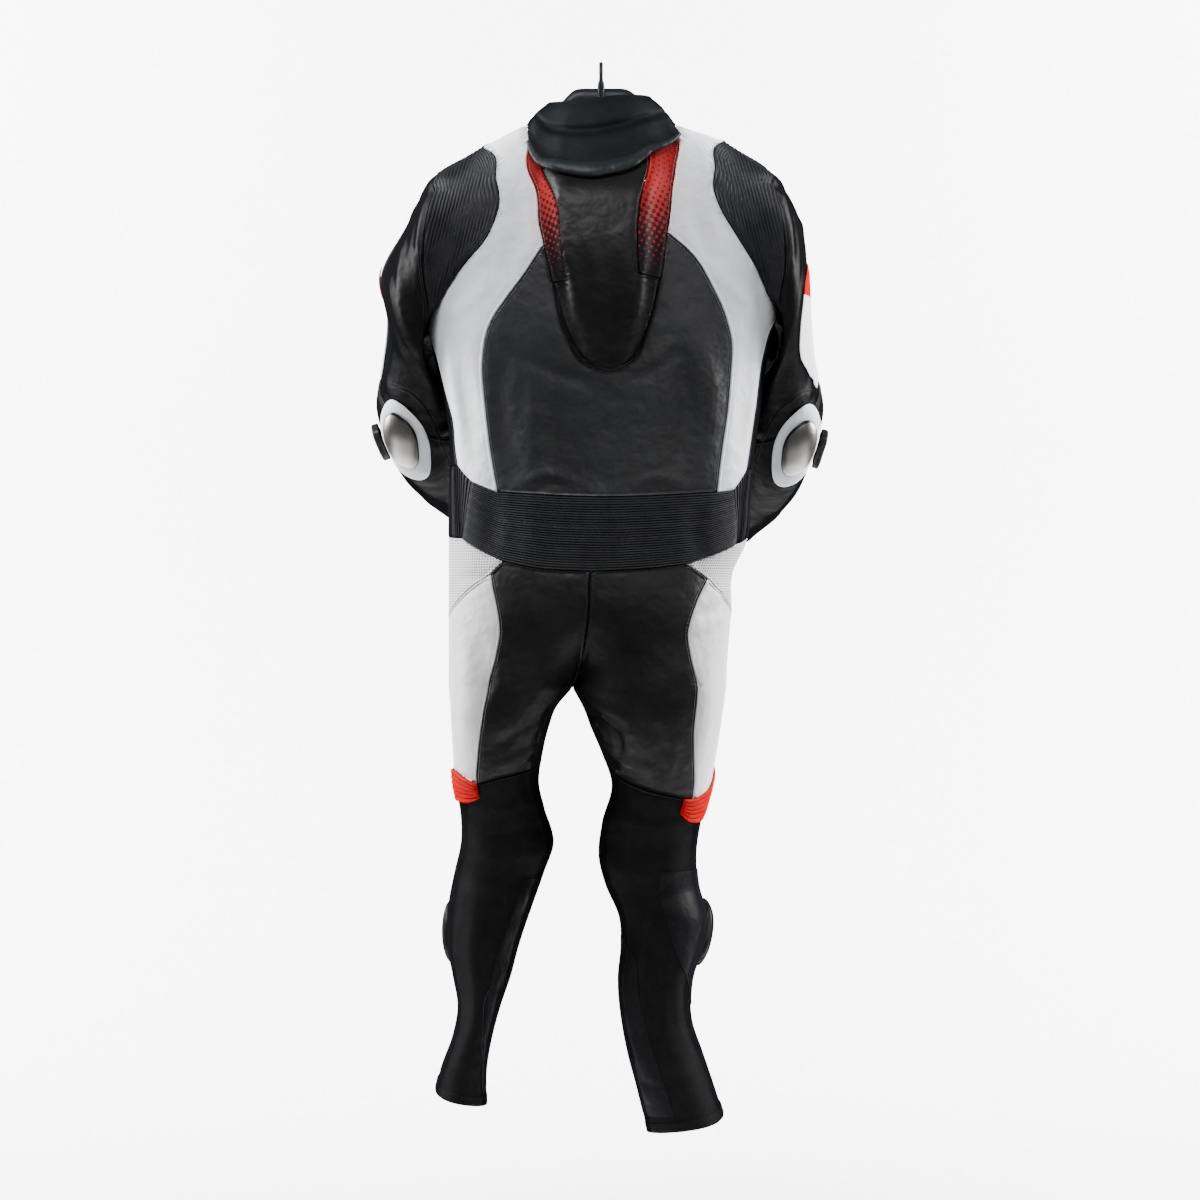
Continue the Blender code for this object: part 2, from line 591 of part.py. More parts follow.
def make_sleeve_seams(side):
    form = "sleeve_" + side
    split, armpit = -40.0, armpit_turn(side)
    for name, turns in (("armhole_top_", np.linspace(90, split, ARM_STEPS + 1)),
                        ("armhole_low_", np.linspace(split, armpit, 3)),
                        ("armhole_under_", np.linspace(armpit, -90, 3)),
                        ("armhole_front_", np.linspace(90, 270, 13))):
        zeros = np.zeros_like(turns)
        store_seam(name + side, {"torso": armhole(side, turns), form: np.stack((turns, zeros), axis=1)})
    cap, low = (90.0, 0.95), (-24.0, 1.9)
    edge = [cap, (70.0, 1.25), (45.0, 1.6), (20.0, 1.9), (0.0, 2.05), low]
    seam("cap_ridge_" + side, ARM_RIBS * 2, **{form: [(90.0, 0.0), cap]})
    seam("cap_edge_" + side, ARM_STEPS, **{form: edge})
    seam("cap_foot_" + side, ARM_RIBS * 2, **{form: [(split, 0.0), (-34.0, 0.9), low]})
    seam("arm_ridge_" + side, 10, **{form: [cap, (90.0, ELBOW_STEP)]})
    seam("elbow_back_" + side, 7, **{form: [(90.0, ELBOW_STEP), (-90.0, ELBOW_STEP)]})
    seam("elbow_front_" + side, 7, **{form: [(90.0, ELBOW_STEP), (270.0, ELBOW_STEP)]})
    seam("forearm_ridge_" + side, 8, **{form: [(90.0, ELBOW_STEP), (90.0, SLEEVE_STEPS)]})
    seam("cuff_back_" + side, 6, **{form: [(90.0, SLEEVE_STEPS), (-90.0, SLEEVE_STEPS)]})
    seam("cuff_front_" + side, 6, **{form: [(90.0, SLEEVE_STEPS), (270.0, SLEEVE_STEPS)]})
    for name, start, end, count in (("underarm_", 0.0, ELBOW_STEP, 9),
                                    ("forearm_under_", ELBOW_STEP, SLEEVE_STEPS, 7)):
        steps = np.linspace(start, end, count + 1)
        store_seam(name + side, {form: np.stack((np.full_like(steps, -90.0), steps), axis=1),
                                 form + "+": np.stack((np.full_like(steps, 270.0), steps), axis=1)})


def join_seam_ends():
    """Give seams that end in one place the same point and normal there."""
    ends = {}
    for line in SEAMS.values():
        for index in (0, -1):
            place = tuple(np.round(line["at"][index]).astype(int))
            near = [key for key in ends if max(abs(a - b) for a, b in zip(key, place)) <= 1]
            ends.setdefault(near[0] if near else place, []).append((line, index))
    for group in ends.values():
        point = np.mean([line["at"][index] for line, index in group], axis=0)
        normal = np.sum([line["out"][index] for line, index in group], axis=0)
        for line, index in group:
            line["at"][index] = point
            line["out"][index] = normal / np.linalg.norm(normal)


# ---------------------------------------------------------------- folds

# Largest folds. Form: (half width, height, spots); minus is a trough
FOLDS = {
    "sleeve_L": ((16, 5.0, ((78, 1.35), (60, 1.75), (30, 2.25), (6, 2.6))),
                 (14, -4.2, ((136, 7.2), (180, 7.1), (226, 7.15)))),
    "sleeve_R": ((16, 4.4, ((76, 1.5), (56, 1.9), (28, 2.35), (6, 2.7))),
                 (14, -4.2, ((136, 7.2), (180, 7.1), (226, 7.15)))),
    "leg_L": ((18, -3.6, ((-74, 1128), (-40, 1116), (10, 1122), (54, 1106))),
              (15, 3.2, ((-70, 1092), (-42, 1080), (6, 1086), (50, 1070))),
              (18, 3.4, ((146, 1128), (178, 1138), (214, 1128)))),
    "leg_R": ((18, -3.6, ((-74, 1148), (-42, 1136), (8, 1142), (54, 1128))),
              (15, 3.0, ((-70, 1112), (-44, 1100), (6, 1106), (52, 1092))),
              (18, 3.4, ((146, 1128), (178, 1138), (214, 1128)))),
}
FOLD_POINTS = 5                 # points along each fold


def fold_line(form, spots, count):
    """Spots along a fold. On a leg its table gives the height, not the run."""
    if form.startswith("leg"):
        spots = [leg_at(*spot) for spot in spots]
    return spot_line(spots, np.linspace(0, 1, count), SCALES[form])


def fold_spots(form):
    """Spots along the crest and both feet of each fold of a form."""
    rows = []
    for half, _, spots in FOLDS.get(form, ()):
        line = fold_line(form, spots, FOLD_POINTS) * SCALES[form]
        ahead = unit(np.gradient(line, axis=0))
        aside = np.stack((-ahead[:, 1], ahead[:, 0]), axis=1)
        rows += [(line + aside * half * step) / SCALES[form] for step in (-1, 0, 1)]
    return np.concatenate(rows) if rows else np.zeros((0, 2))


def fold_height(points):
    """Height of the folds over the plain forms at these points."""
    height = np.zeros(len(points))
    for form, folds in FOLDS.items():
        for half, top, spots in folds:
            line = FORMS[form](fold_line(form, spots, 13))
            apart = np.linalg.norm(points[:, None] - line[None], axis=2)
            near, share = apart.min(axis=1), apart.argmin(axis=1) / 12
            height += top * np.clip(1 - (near / half) ** 2, 0, 1) * np.sin(math.pi * (0.12 + 0.76 * share))
    return height


# ---------------------------------------------------------------- solids

def material(name, colour, roughness, metallic=0.0):
    made = bpy.data.materials.new(name)
    made.use_nodes = True
    shader = made.node_tree.nodes["Principled BSDF"]
    shader.inputs["Base Color"].default_value = (*colour, 1.0)
    shader.inputs["Roughness"].default_value = roughness
    shader.inputs["Metallic"].default_value = metallic
    return made


def add_object(name, points, faces, finish):
    """Object from points in millimetres and outward faces."""
    mesh = bpy.data.meshes.new(name)
    mesh.from_pydata((np.asarray(points) * MM).tolist(), [], faces)
    mesh.materials.append(finish)
    mesh.shade_smooth()
    mesh.set_sharp_from_angle(angle=math.radians(40))
    made = bpy.data.objects.new(name, mesh)
    bpy.context.scene.collection.objects.link(made)
    return made


def inset(points, normals, rim):
    """Move the rim points into their panel by half of the seam gap."""
    edge = points[rim]
    ahead = unit(np.roll(edge, -1, axis=0) - edge)
    into_next = unit(np.cross(normals[rim], ahead))
    into_last = unit(np.cross(normals[rim], unit(edge - np.roll(edge, 1, axis=0))))
    middle = unit(into_next + into_last)
    stretch = np.maximum(np.sum(middle * into_next, axis=1), 0.35)[:, None]
    moved = points.copy()
    moved[rim] = edge + middle / stretch * SEAM_GAP / 2
    return moved


def wall(name, points, normals, lift, faces, rim, thickness, finish):
    """Closed thin wall. The rim runs anticlockwise as seen from outside."""
    count = len(points)
    rank = points @ (0.31, 0.57, 0.76)      # splits a rim face the same way on both sides of a seam
    folds = fold_height(points)
    points = inset(points, normals, rim)
    outer = points + normals * (lift + folds)[:, None]
    inner = points + normals * (folds - thickness)[:, None]
    sides = []
    for a, b in zip(rim, np.roll(rim, -1)):
        if rank[a] < rank[b]:
            sides += [(a, a + count, b + count), (a, b + count, b)]
        else:
            sides += [(a, a + count, b), (a + count, b + count, b)]
    back = [tuple(v + count for v in reversed(face)) for face in faces]
    every = [tuple(int(v) for v in face) for face in list(faces) + back + sides]
    return add_object(name, np.concatenate((outer, inner)), every, finish)


def seam_points(form, names):
    """Spots, points and normals along a chain of seams. A minus reverses a seam, /2 skips every other."""
    rows = []
    for name in names:
        plain, _, skip = name.lstrip("-").partition("/")
        line = SEAMS[plain]
        spots = line[form] if form in line else line[form.rstrip("+")]
        row = np.concatenate((spots, line["at"], line["out"]), axis=1)[::int(skip or 1)]
        rows.append(row[::-1] if name.startswith("-") else row)
    chain = np.concatenate([row[:-1] for row in rows] + [rows[-1][-1:]])
    return chain[:, 0:2], chain[:, 2:5], chain[:, 5:8]


def lattice(outline, spacing):
    """Evenly spread places inside an outline and clear of its edge."""
    low, high = outline.min(axis=0), outline.max(axis=0)
    rows = np.arange(low[1] + spacing / 2, high[1], spacing * 0.87)
    places = np.array([(x + (spacing / 2 if k % 2 else 0), y) for k, y in enumerate(rows)
                       for x in np.arange(low[0], high[0], spacing)]).reshape(-1, 2)
    return places[within(places, outline, spacing * 0.5)]


def within(places, outline, margin):
    """Whether places lie inside an outline, further than the margin from it."""
    start, end = outline, np.roll(outline, -1, axis=0)
    edge = end - start
    from_start = places[:, None] - start[None]
    part = np.clip(np.sum(from_start * edge, axis=2) / np.sum(edge * edge, axis=1), 0, 1)
    distance = np.linalg.norm(from_start - part[..., None] * edge, axis=2).min(axis=1)
    crosses = (start[:, 1] > places[:, None, 1]) != (end[:, 1] > places[:, None, 1])
    rise = np.where(edge[:, 1] == 0, 1e-9, edge[:, 1])
    ahead = places[:, None, 0] < start[:, 0] + (places[:, None, 1] - start[:, 1]) / rise * edge[:, 0]
    return (np.sum(crosses & ahead, axis=1) % 2 == 1) & (distance > margin)


def signed_area(corners):
    ahead = np.roll(corners, -1, axis=0)
    return np.sum(corners[:, 0] * ahead[:, 1] - ahead[:, 0] * corners[:, 1]) / 2


def panel(name, form, loop, thickness, finish, tight=()):
    """Plain panel inside a closed loop of seams. tight holds extra spots where it bends sharply."""
    plain = form.rstrip("+")
    spots, points, normals = (rows[:-1] for rows in seam_points(form, loop))
    scale = SCALES[plain]
    outline = spots * scale
    if signed_area(outline) * OUTWARD[plain] < 0:
        outline, points, normals = outline[::-1], points[::-1], normals[::-1]
    inside = lattice(outline, LATTICE)
    extra = np.concatenate((np.array(tight).reshape(-1, 2), fold_spots(plain))) * scale
    extra = extra[within(extra, outline, EXTRA_MARGIN)]
    if len(extra):
        apart = np.linalg.norm(inside[:, None] - extra[None], axis=2).min(axis=1)
        inside = np.concatenate((inside[apart > LATTICE / 2], extra))
    flat = np.concatenate((outline, inside))
    border = list(range(len(outline)))
    _, _, triangles, origin, _, _ = delaunay_2d_cdt(flat.tolist(), [], [border], 1, 1e-6)
    inside_spots = inside / scale
    if len(inside):
        points = np.concatenate((points, FORMS[plain](inside_spots)))
        normals = np.concatenate((normals, outward(plain, inside_spots)))
    faces = []
    for triangle in triangles:
        corners = [origin[v][0] for v in triangle]
        turned = signed_area(flat[corners]) * OUTWARD[plain] < 0
        faces.append(tuple(reversed(corners)) if turned else tuple(corners))
    return wall(name, points, normals, np.zeros(len(points)), faces, border, thickness, finish)


def grid_wall(name, points, normals, lift, thickness, finish):
    """Wall over a grid of points, (rows, columns, 3), turned to face outward."""
    rows, columns = points.shape[:2]
    number = np.arange(rows * columns).reshape(rows, columns)
    cross = np.cross(points[1, 0] - points[0, 0], points[0, 1] - points[0, 0])
    if np.dot(cross, normals[0, 0]) < 0:
        number = number[::-1]
    faces = []
    for low, high in zip(number[:-1], number[1:]):
        for k in range(columns - 1):
            faces.append((low[k], high[k], high[k + 1]))
            faces.append((low[k], high[k + 1], low[k + 1]))
    rim = np.concatenate((number[:-1, 0], number[-1, :-1], number[:0:-1, -1], number[0, :0:-1]))
    return wall(name, points.reshape(-1, 3), normals.reshape(-1, 3), lift.reshape(-1), faces, rim,
                thickness, finish)


def ribbed_panel(name, form, first, last, start, end, thickness, finish):
    """Panel whose ribs run from the start chain to the end chain, side by side from first to last."""
    low, high = seam_points(form, first), seam_points(form, last)
    left, right = seam_points(form, start), seam_points(form, end)
    rows, columns = len(left[0]), len(low[0])
    down = np.linspace(0, 1, rows)[:, None, None]
    across = np.linspace(0, 1, columns)[None, :, None]
    spots = (low[0][None] * (1 - down) + high[0][None] * down
             + left[0][:, None] * (1 - across) + right[0][:, None] * across
             - low[0][0] * (1 - down) * (1 - across) - low[0][-1] * (1 - down) * across
             - high[0][0] * down * (1 - across) - high[0][-1] * down * across)
    flat = spots.reshape(-1, 2)
    points = FORMS[form](flat).reshape(rows, columns, 3)
    normals = outward(form, flat).reshape(rows, columns, 3)
    for kind, grid in ((1, points), (2, normals)):
        grid[0], grid[-1], grid[:, 0], grid[:, -1] = low[kind], high[kind], left[kind], right[kind]
    lift = np.zeros((rows, columns))
    lift[1::2] = RIB_HEIGHT
    lift[:, (0, -1)] *= RIB_END
    return grid_wall(name, points, normals, lift, thickness, finish)


def patch(name, form, spots, stand, thickness, ribs, finish):
    """Piece that lies on a panel: the panel's own points over a grid of spots, moved out."""
    rows, columns = spots.shape[:2]
    flat = spots.reshape(-1, 2)
    normals = outward(form, flat)
    points = FORMS[form](flat) + normals * (stand + thickness)
    lift = np.zeros((rows, columns))
    if ribs:
        lift[1::2] = RIB_HEIGHT
    return grid_wall(name, points.reshape(rows, columns, 3), normals.reshape(rows, columns, 3), lift,
                     thickness, finish)


def pad(name, form, centre, half, stand, edge, crown, finish, rings=3, around=18, square=2.6):
    """Rounded pad on a panel: the panel's own points inside an oval, moved out and crowned."""
    centre = np.array(centre, float)
    small = 0.5 / SCALES[form]
    pair = FORMS[form](np.array((centre - (small[0], 0), centre + (small[0], 0),
                                 centre - (0, small[1]), centre + (0, small[1]))))
    measure = np.array((np.linalg.norm(pair[1] - pair[0]) / (2 * small[0]),
                        np.linalg.norm(pair[3] - pair[2]) / (2 * small[1])))
    turns = np.linspace(0, 2 * math.pi, around, endpoint=False) * OUTWARD[form]
    oval = np.stack((np.sign(np.cos(turns)) * np.abs(np.cos(turns)) ** (2 / square) * half[0],
                     np.sign(np.sin(turns)) * np.abs(np.sin(turns)) ** (2 / square) * half[1]), axis=1)
    shares = np.concatenate(((0.0,), np.repeat((np.arange(rings) + 1) / rings, around)))
    places = np.concatenate((np.zeros((1, 2)), np.tile(oval, (rings, 1))))
    spots = centre + places * shares[:, None] / measure
    normals = outward(form, spots)
    points = FORMS[form](spots) + normals * (stand + edge)
    lift = (crown - edge) * (1 - shares ** 3)
    ring = np.arange(around)
    ahead = (ring + 1) % around
    faces = [(0, 1 + a, 1 + b) for a, b in zip(ring, ahead)]
    for k in range(rings - 1):
        low, high = 1 + k * around, 1 + (k + 1) * around
        for a, b in zip(ring, ahead):
            faces.append((low + a, high + a, high + b))
            faces.append((low + a, high + b, low + b))
    rim = 1 + (rings - 1) * around + ring
    return wall(name, points, normals, lift, faces, rim, edge, finish)


def tube(name, path, radii, finish, around=10, side=(0, 0, 1)):
    """Round tube along a path, closed at both ends. radii holds one radius for each path point."""
    path = np.asarray(path, float)
    along = unit(np.gradient(path, axis=0))
    first = unit(np.cross(along, np.asarray(side, float)))
    second = np.cross(along, first)
    turns = np.linspace(0, 2 * math.pi, around, endpoint=False)[None, :, None]
    rings = path[:, None] + (first[:, None] * np.cos(turns) + second[:, None] * np.sin(turns)) \
        * np.asarray(radii, float)[:, None, None]
    return closed_loft(name, rings, finish)


def closed_loft(name, rings, finish):
    """Solid through rings of points that run anticlockwise seen from the far end."""
    count, around = rings.shape[:2]
    number = np.arange(count * around).reshape(count, around)
    faces = []
    for low, high in zip(number[:-1], number[1:]):
        for k in range(around):
            after = (k + 1) % around
            faces.append((int(low[k]), int(low[after]), int(high[after]), int(high[k])))
    faces.append(tuple(int(v) for v in number[0, ::-1]))
    faces.append(tuple(int(v) for v in number[-1]))
    return add_object(name, rings.reshape(-1, 3), faces, finish)


# ---------------------------------------------------------------- the pieces

BLACK_LEATHER = (0.016, 0.016, 0.018)
WHITE_LEATHER = (0.78, 0.79, 0.80)
RED_FABRIC = (0.75, 0.035, 0.020)
BLACK_FABRIC = (0.012, 0.012, 0.014)


def make_materials():
    return {
        "leather_black": material("leather_black", BLACK_LEATHER, 0.42),
        "leather_white": material("leather_white", WHITE_LEATHER, 0.45),
        "stretch_black": material("stretch_black", BLACK_FABRIC, 0.75),
        "stretch_red": material("stretch_red", RED_FABRIC, 0.6),
        "fabric_black": material("fabric_black", BLACK_FABRIC, 0.9),
        "plastic_black": material("plastic_black", (0.02, 0.02, 0.022), 0.3),
        "metal_silver": material("metal_silver", (0.62, 0.62, 0.63), 0.35, 1.0),
    }


def make_torso_panels(finish):
    panel("hump", "torso", ["nape", "insert_inner_R", "insert_foot_R", "-hump_point", "-insert_foot_L",
                            "-insert_inner_L"], LEATHER, finish["leather_black"])
    panel("back_panel", "torso", ["insert_outer_L", "hump_point", "-insert_outer_R", "white_low_R",
                                  "-waist", "-white_low_L"], LEATHER, finish["leather_black"])
    top = ["lumbar_corner_L", "waist", "-lumbar_corner_R"]
    foot = ["lumbar_end_L", "lumbar_foot_L", "-lumbar_foot_R", "-lumbar_end_R"]
    ribbed_panel("lumbar_stretch", "torso", top, foot, ["lumbar_side_L"], ["lumbar_side_R"], STRETCH,
                 finish["stretch_black"])
    for side in SIDES:
        own = torso_loops(side)
        again = "torso+" if side == "L" else "torso"
        panel("hump_side_" + side, "torso", own["hump_side"], LEATHER, finish["stretch_red"])
        panel("shoulder_panel_" + side, "torso", own["shoulder"], LEATHER, finish["leather_white"])
        panel("front_panel_" + side, again, own["front"], LEATHER, finish["leather_black"])
        inner_edge = "lumbar_side_%s/%d" % (side, 2 * LUMBAR_RIBS // SIDE_STEPS)
        ribbed_panel("side_stretch_" + side, "torso", [inner_edge], ["stretch_front_" + side],
                     ["-white_foot_" + side, "stretch_top_" + side], ["-stretch_foot_" + side], STRETCH,
                     finish["stretch_black"])


def torso_loops(side):
    """Seams round the torso panels of one side."""
    loops = {
        "hump_side": "neck_insert_ insert_inner_ insert_foot_ -insert_outer_ -white_top_",
        "shoulder": "ridge_ armhole_top_ armhole_low_ white_outer_ white_foot_ lumbar_corner_ "
                    "-white_low_ -white_top_ -neck_side_",
        "front": "-ridge_ neck_front_ front_centre -waist_front_ -stretch_front_ -stretch_top_ "
                 "-white_outer_ armhole_under_ -armhole_front_",
    }
    return {name: seams_of(text, side) for name, text in loops.items()}


def seams_of(text, side):
    """Seam names with their side added. A name without a final underscore is shared by both sides."""
    return [name + side if name.endswith("_") else name for name in text.split()]


def make_leg_panels(finish):
    pieces = {
        "hip_mesh_": ("", "mesh_tip_ mesh_low_ -mesh_front_ stretch_foot_ lumbar_end_", "leather_white"),
        "thigh_side_": ("", "mesh_low_ thigh_front_ -thigh_foot_front_ -thigh_foot_ -thigh_seam_",
                        "leather_white"),
        "seat_": ("", "lumbar_foot_ -seat_centre -inner_top_ -seat_foot_ -thigh_seam_ -mesh_tip_",
                  "leather_black"),
        "front_thigh_": ("", "waist_front_ fly -gusset_ -knee_front_ -thigh_front_ -mesh_front_",
                         "leather_black"),
        "inner_leg_": ("+", "gusset_centre -inner_top_ -knee_inner_ gusset_", "fabric_black"),
        "calf_": ("", "seat_foot_ inner_low_ hem_back_ -shin_edge_ -thigh_foot_", "fabric_black"),
        "shin_": ("+", "thigh_foot_front_ knee_front_ knee_inner_ inner_low_ -hem_front_ -shin_edge_",
                  "leather_black"),
    }
    for side in SIDES:
        for name, (again, loop, slot) in pieces.items():
            thickness = FABRIC if slot == "fabric_black" else LEATHER
            panel(name + side, "leg_" + side + again, seams_of(loop, side), thickness, finish[slot])


# Sleeve spots (angle, ring step) where its back and its front bend round under the arm
UNDERARM_BACK = [(turn, step) for step in (0.4, 0.9, 1.5) for turn in (-81, -69, -57, -45)]
UNDERARM_BACK += [(-60, 2.1), (-42, 2.1), (-30, 2.3), (-16, 2.25)]
UNDERARM_FRONT = [(turn, step) for step in (0.4, 0.9, 1.5) for turn in (261, 247, 232)]


def make_sleeve_panels(finish):
    pieces = {
        "sleeve_back_": ("", "arm_ridge_ elbow_back_ -underarm_ -armhole_under_ -armhole_low_ "
                             "cap_foot_ -cap_edge_", UNDERARM_BACK),
        "sleeve_front_": ("+", "armhole_front_ underarm_ -elbow_front_ -arm_ridge_ -cap_ridge_",
                          UNDERARM_FRONT),
        "forearm_back_": ("", "forearm_ridge_ cuff_back_ -forearm_under_ -elbow_back_", ()),
        "forearm_front_": ("+", "elbow_front_ forearm_under_ -cuff_front_ -forearm_ridge_", ()),
    }
    for side in SIDES:
        for name, (again, loop, tight) in pieces.items():
            panel(name + side, "sleeve_" + side + again, seams_of(loop, side), LEATHER,
                  finish["leather_black"], tight)
        ribbed_panel("shoulder_stretch_" + side, "sleeve_" + side, ["armhole_top_" + side],
                     ["cap_edge_" + side], ["cap_ridge_" + side], ["cap_foot_" + side], STRETCH,
                     finish["stretch_black"])


# Pads and overlays: centre on their form, half sizes round and along, clear space, edge, crown height
ELBOW_PANEL = (24.0, 7.25)
ELBOW_PANEL_HALF = (40.0, 58.0)
ELBOW_PLATE = (32.0, 7.38)
ELBOW_PLATE_HALF = (24.0, 40.0)
ELBOW_SLIDER = (82.0, 8.0)
ELBOW_SLIDER_HALF = (13.0, 27.0)
KNEE_SLIDER = {"L": (134.0, 1196.0), "R": (112.0, 1196.0)}
KNEE_SLIDER_HALF = (38.0, 46.0)
STRIPE = {                      # ring step, inner and outer sleeve angle
    "L": np.array(((3.9, 84, 108), (4.5, 84, 108), (5.1, 84, 108), (5.7, 84, 108), (6.3, 84, 108)), float),
    "R": np.array(((3.7, 56, 84), (4.2, 40, 104), (5.1, 40, 108), (5.7, 56, 108), (6.3, 72, 108)), float),
}
FLASH_TURNS = {"L": (22.0, 128.0), "R": (26.0, 118.0)}
FLASH_HEIGHT = 44.0
FLASH_RIBS = 6


def make_overlays(finish):
    for side in SIDES:
        arm, trouser = "sleeve_" + side, "leg_" + side
        pad("elbow_panel_" + side, arm, ELBOW_PANEL, ELBOW_PANEL_HALF, 1.4, 1.6, 2.2,
            finish["leather_white"])
        pad("elbow_plate_" + side, arm, ELBOW_PLATE, ELBOW_PLATE_HALF, 4.6, 2.0, 8.0,
            finish["metal_silver"])
        pad("elbow_slider_" + side, arm, ELBOW_SLIDER, ELBOW_SLIDER_HALF, 4.8, 8.0, 10.0,
            finish["plastic_black"], square=4.0)
        turn, down = KNEE_SLIDER[side]
        pad("knee_slider_" + side, trouser, leg_at(turn, down), KNEE_SLIDER_HALF, 1.6, 5.0, 10.5,
            finish["plastic_black"])
        patch("sleeve_stripe_" + side, arm, stripe_spots(side, 9, 4), 1.2, 1.6, False,
              finish["leather_white"])
        make_flash(side, finish["stretch_red"])


def stripe_spots(side, rows, columns):
    """Grid of sleeve spots between the two edges of the stripe."""
    steps = np.linspace(STRIPE[side][0, 0], STRIPE[side][-1, 0], rows)
    edges = through(STRIPE[side][:, 0], STRIPE[side][:, 1:], steps)
    share = np.linspace(0, 1, columns)[None]
    turns = edges[:, 0:1] * (1 - share) + edges[:, 1:2] * share
    return np.stack((turns, np.broadcast_to(steps[:, None], turns.shape)), axis=2)


def make_flash(side, finish):
    """Ribbed insert that laps over the foot of the white thigh panel."""
    inner, outer = FLASH_TURNS[side]
    foot = [leg_behind(side, *THIGH_SEAM[side][-1]), leg_behind(side, *THIGH_FOOT[side]),
            leg_at(SHIN_EDGE, SEAT_FOOT_INNER[side] + 10)]
    foot = np.array(foot)
    turns = np.linspace(inner, outer, 9)
    top = np.interp(turns, foot[:, 0], foot[:, 1])
    share = np.linspace(0, 1, 2 * FLASH_RIBS + 1)[:, None]
    taper = 1 - 0.55 * ((turns - turns.mean()) / (outer - inner) * 2) ** 2
    runs = top[None] - 2 + share * FLASH_HEIGHT * taper[None]
    spots = np.stack((np.broadcast_to(turns, runs.shape), runs), axis=2)
    patch("thigh_flash_" + side, "leg_" + side, spots, 1.2, 1.6, True, finish)


# Collar: height share, bulge outward
COLLAR_ROWS = ((0.0, 0.0), (0.12, 1.0), (0.34, 7.0), (0.56, 1.0), (0.62, 0.5), (0.8, 5.0), (0.93, 4.0),
               (1.0, 0.0))
COLLAR_TOP = {"middle": 2.0, "half": 84.0, "behind": 58.0, "before": 60.0}
COLLAR_TOP_DOWN = {"behind": 44.0, "side": 58.0, "before": 92.0}
NECK_LOOP = ("neck_side_L", "neck_insert_L", "nape", "-neck_insert_R", "-neck_side_R", "neck_front_R",
             "-neck_front_L")


def make_collar(finish):
    """Soft stand collar: a tube from just inside the neck seam up to its rolled top."""
    _, base, _ = seam_points("torso", NECK_LOOP)
    base = base[:-1]
    turn = np.arctan2(base[:, 0] - COLLAR_TOP["middle"], -base[:, 1])
    cosine, sine = np.cos(turn), np.sin(turn)
    deep = np.where(cosine > 0, COLLAR_TOP["behind"], COLLAR_TOP["before"])
    end = np.where(cosine > 0, COLLAR_TOP_DOWN["behind"], COLLAR_TOP_DOWN["before"])
    down = COLLAR_TOP_DOWN["side"] + (end - COLLAR_TOP_DOWN["side"]) * cosine ** 2
    top = np.stack((COLLAR_TOP["middle"] + COLLAR_TOP["half"] * sine, -deep * cosine, -down), axis=1)
    radial = np.stack((sine, -cosine, np.zeros_like(sine)), axis=1)
    base = base - radial * 1.2 + (0, 0, 0.6)
    rings = np.array([base + (top - base) * share + radial * bulge for share, bulge in COLLAR_ROWS])
    inner = rings - radial * NEOPRENE
    around = len(base)
    loop = np.concatenate((rings, inner[::-1]))
    count = len(loop)
    number = np.arange(count * around).reshape(count, around)
    faces = []
    for k in range(count):
        low, high = number[k], number[(k + 1) % count]
        for a in range(around):
            b = (a + 1) % around
            faces.append((int(low[a]), int(low[b]), int(high[b]), int(high[a])))
    return add_object("collar", loop.reshape(-1, 3), faces, finish)


NAPE_ROLL_RADIUS = 6.0


def make_nape_roll(finish):
    """Padded lip that lies on the top edge of the hump."""
    chain = ["neck_insert_L", "nape", "-neck_insert_R"]
    _, points, normals = seam_points("torso", chain)
    shares = np.linspace(0, 1, 14)
    keys = np.linspace(0, 1, len(points))
    path = through(keys, points + normals * (NAPE_ROLL_RADIUS + 1.6), shares)
    radii = NAPE_ROLL_RADIUS * np.sin(math.pi * (0.12 + 0.76 * shares)) ** 0.5
    return tube("nape_roll", path, radii, finish, around=8, side=(0, -1, 0))


# Hanger sections: across, top down, height, half depth
HANGER = np.array((
    (-222, 172, 16, 15),
    (-197, 146, 22, 24),
    (-150, 116, 26, 27),
    (-108, 97, 26, 26),
    (-84, 80, 28, 22),
    (-50, 46, 32, 18),
    (-38, 31, 40, 16),
    (38, 31, 40, 16),
    (52, 44, 34, 18),
    (84, 78, 28, 22),
    (108, 95, 26, 26),
    (150, 110, 26, 27),
    (197, 140, 22, 24),
    (222, 164, 16, 15),
), float)
HOOK_RADIUS = 2.8
HOOK_BEND = 16.0                # inner radius of the hook's bend


def make_hanger(finish):
    """Broad shoulder hanger, lofted through rounded sections, with its hook set across it."""
    turns = np.linspace(0, 2 * math.pi, 14, endpoint=False)
    cosine, sine = np.cos(turns), np.sin(turns)
    round_y = np.sign(cosine) * np.abs(cosine) ** 0.75
    round_z = np.sign(sine) * np.abs(sine) ** 0.75
    rings = np.array([np.stack((np.full_like(turns, across), half * round_y,
                                -top - height / 2 + height / 2 * round_z), axis=1)
                      for across, top, height, half in HANGER])
    closed_loft("hanger_body", rings, finish)
    radius = HOOK_BEND + HOOK_RADIUS
    bend = np.radians(np.linspace(-35, 180, 15))
    arc = np.stack((np.zeros_like(bend), radius * np.cos(bend), radius * np.sin(bend) - HOOK_BEND), axis=1)
    shank_foot = -HANGER[7][1] + 0.4
    shank = np.array(((0, -radius, -HOOK_BEND - 5), (0, -radius + 5, shank_foot + 4), (0, -8, shank_foot)))
    path = np.concatenate((arc, shank))
    radii = np.full(len(path), HOOK_RADIUS)
    radii[0] = HOOK_RADIUS * 0.6
    tube("hanger_hook", path, radii, finish, around=8, side=(1, 0, 0))


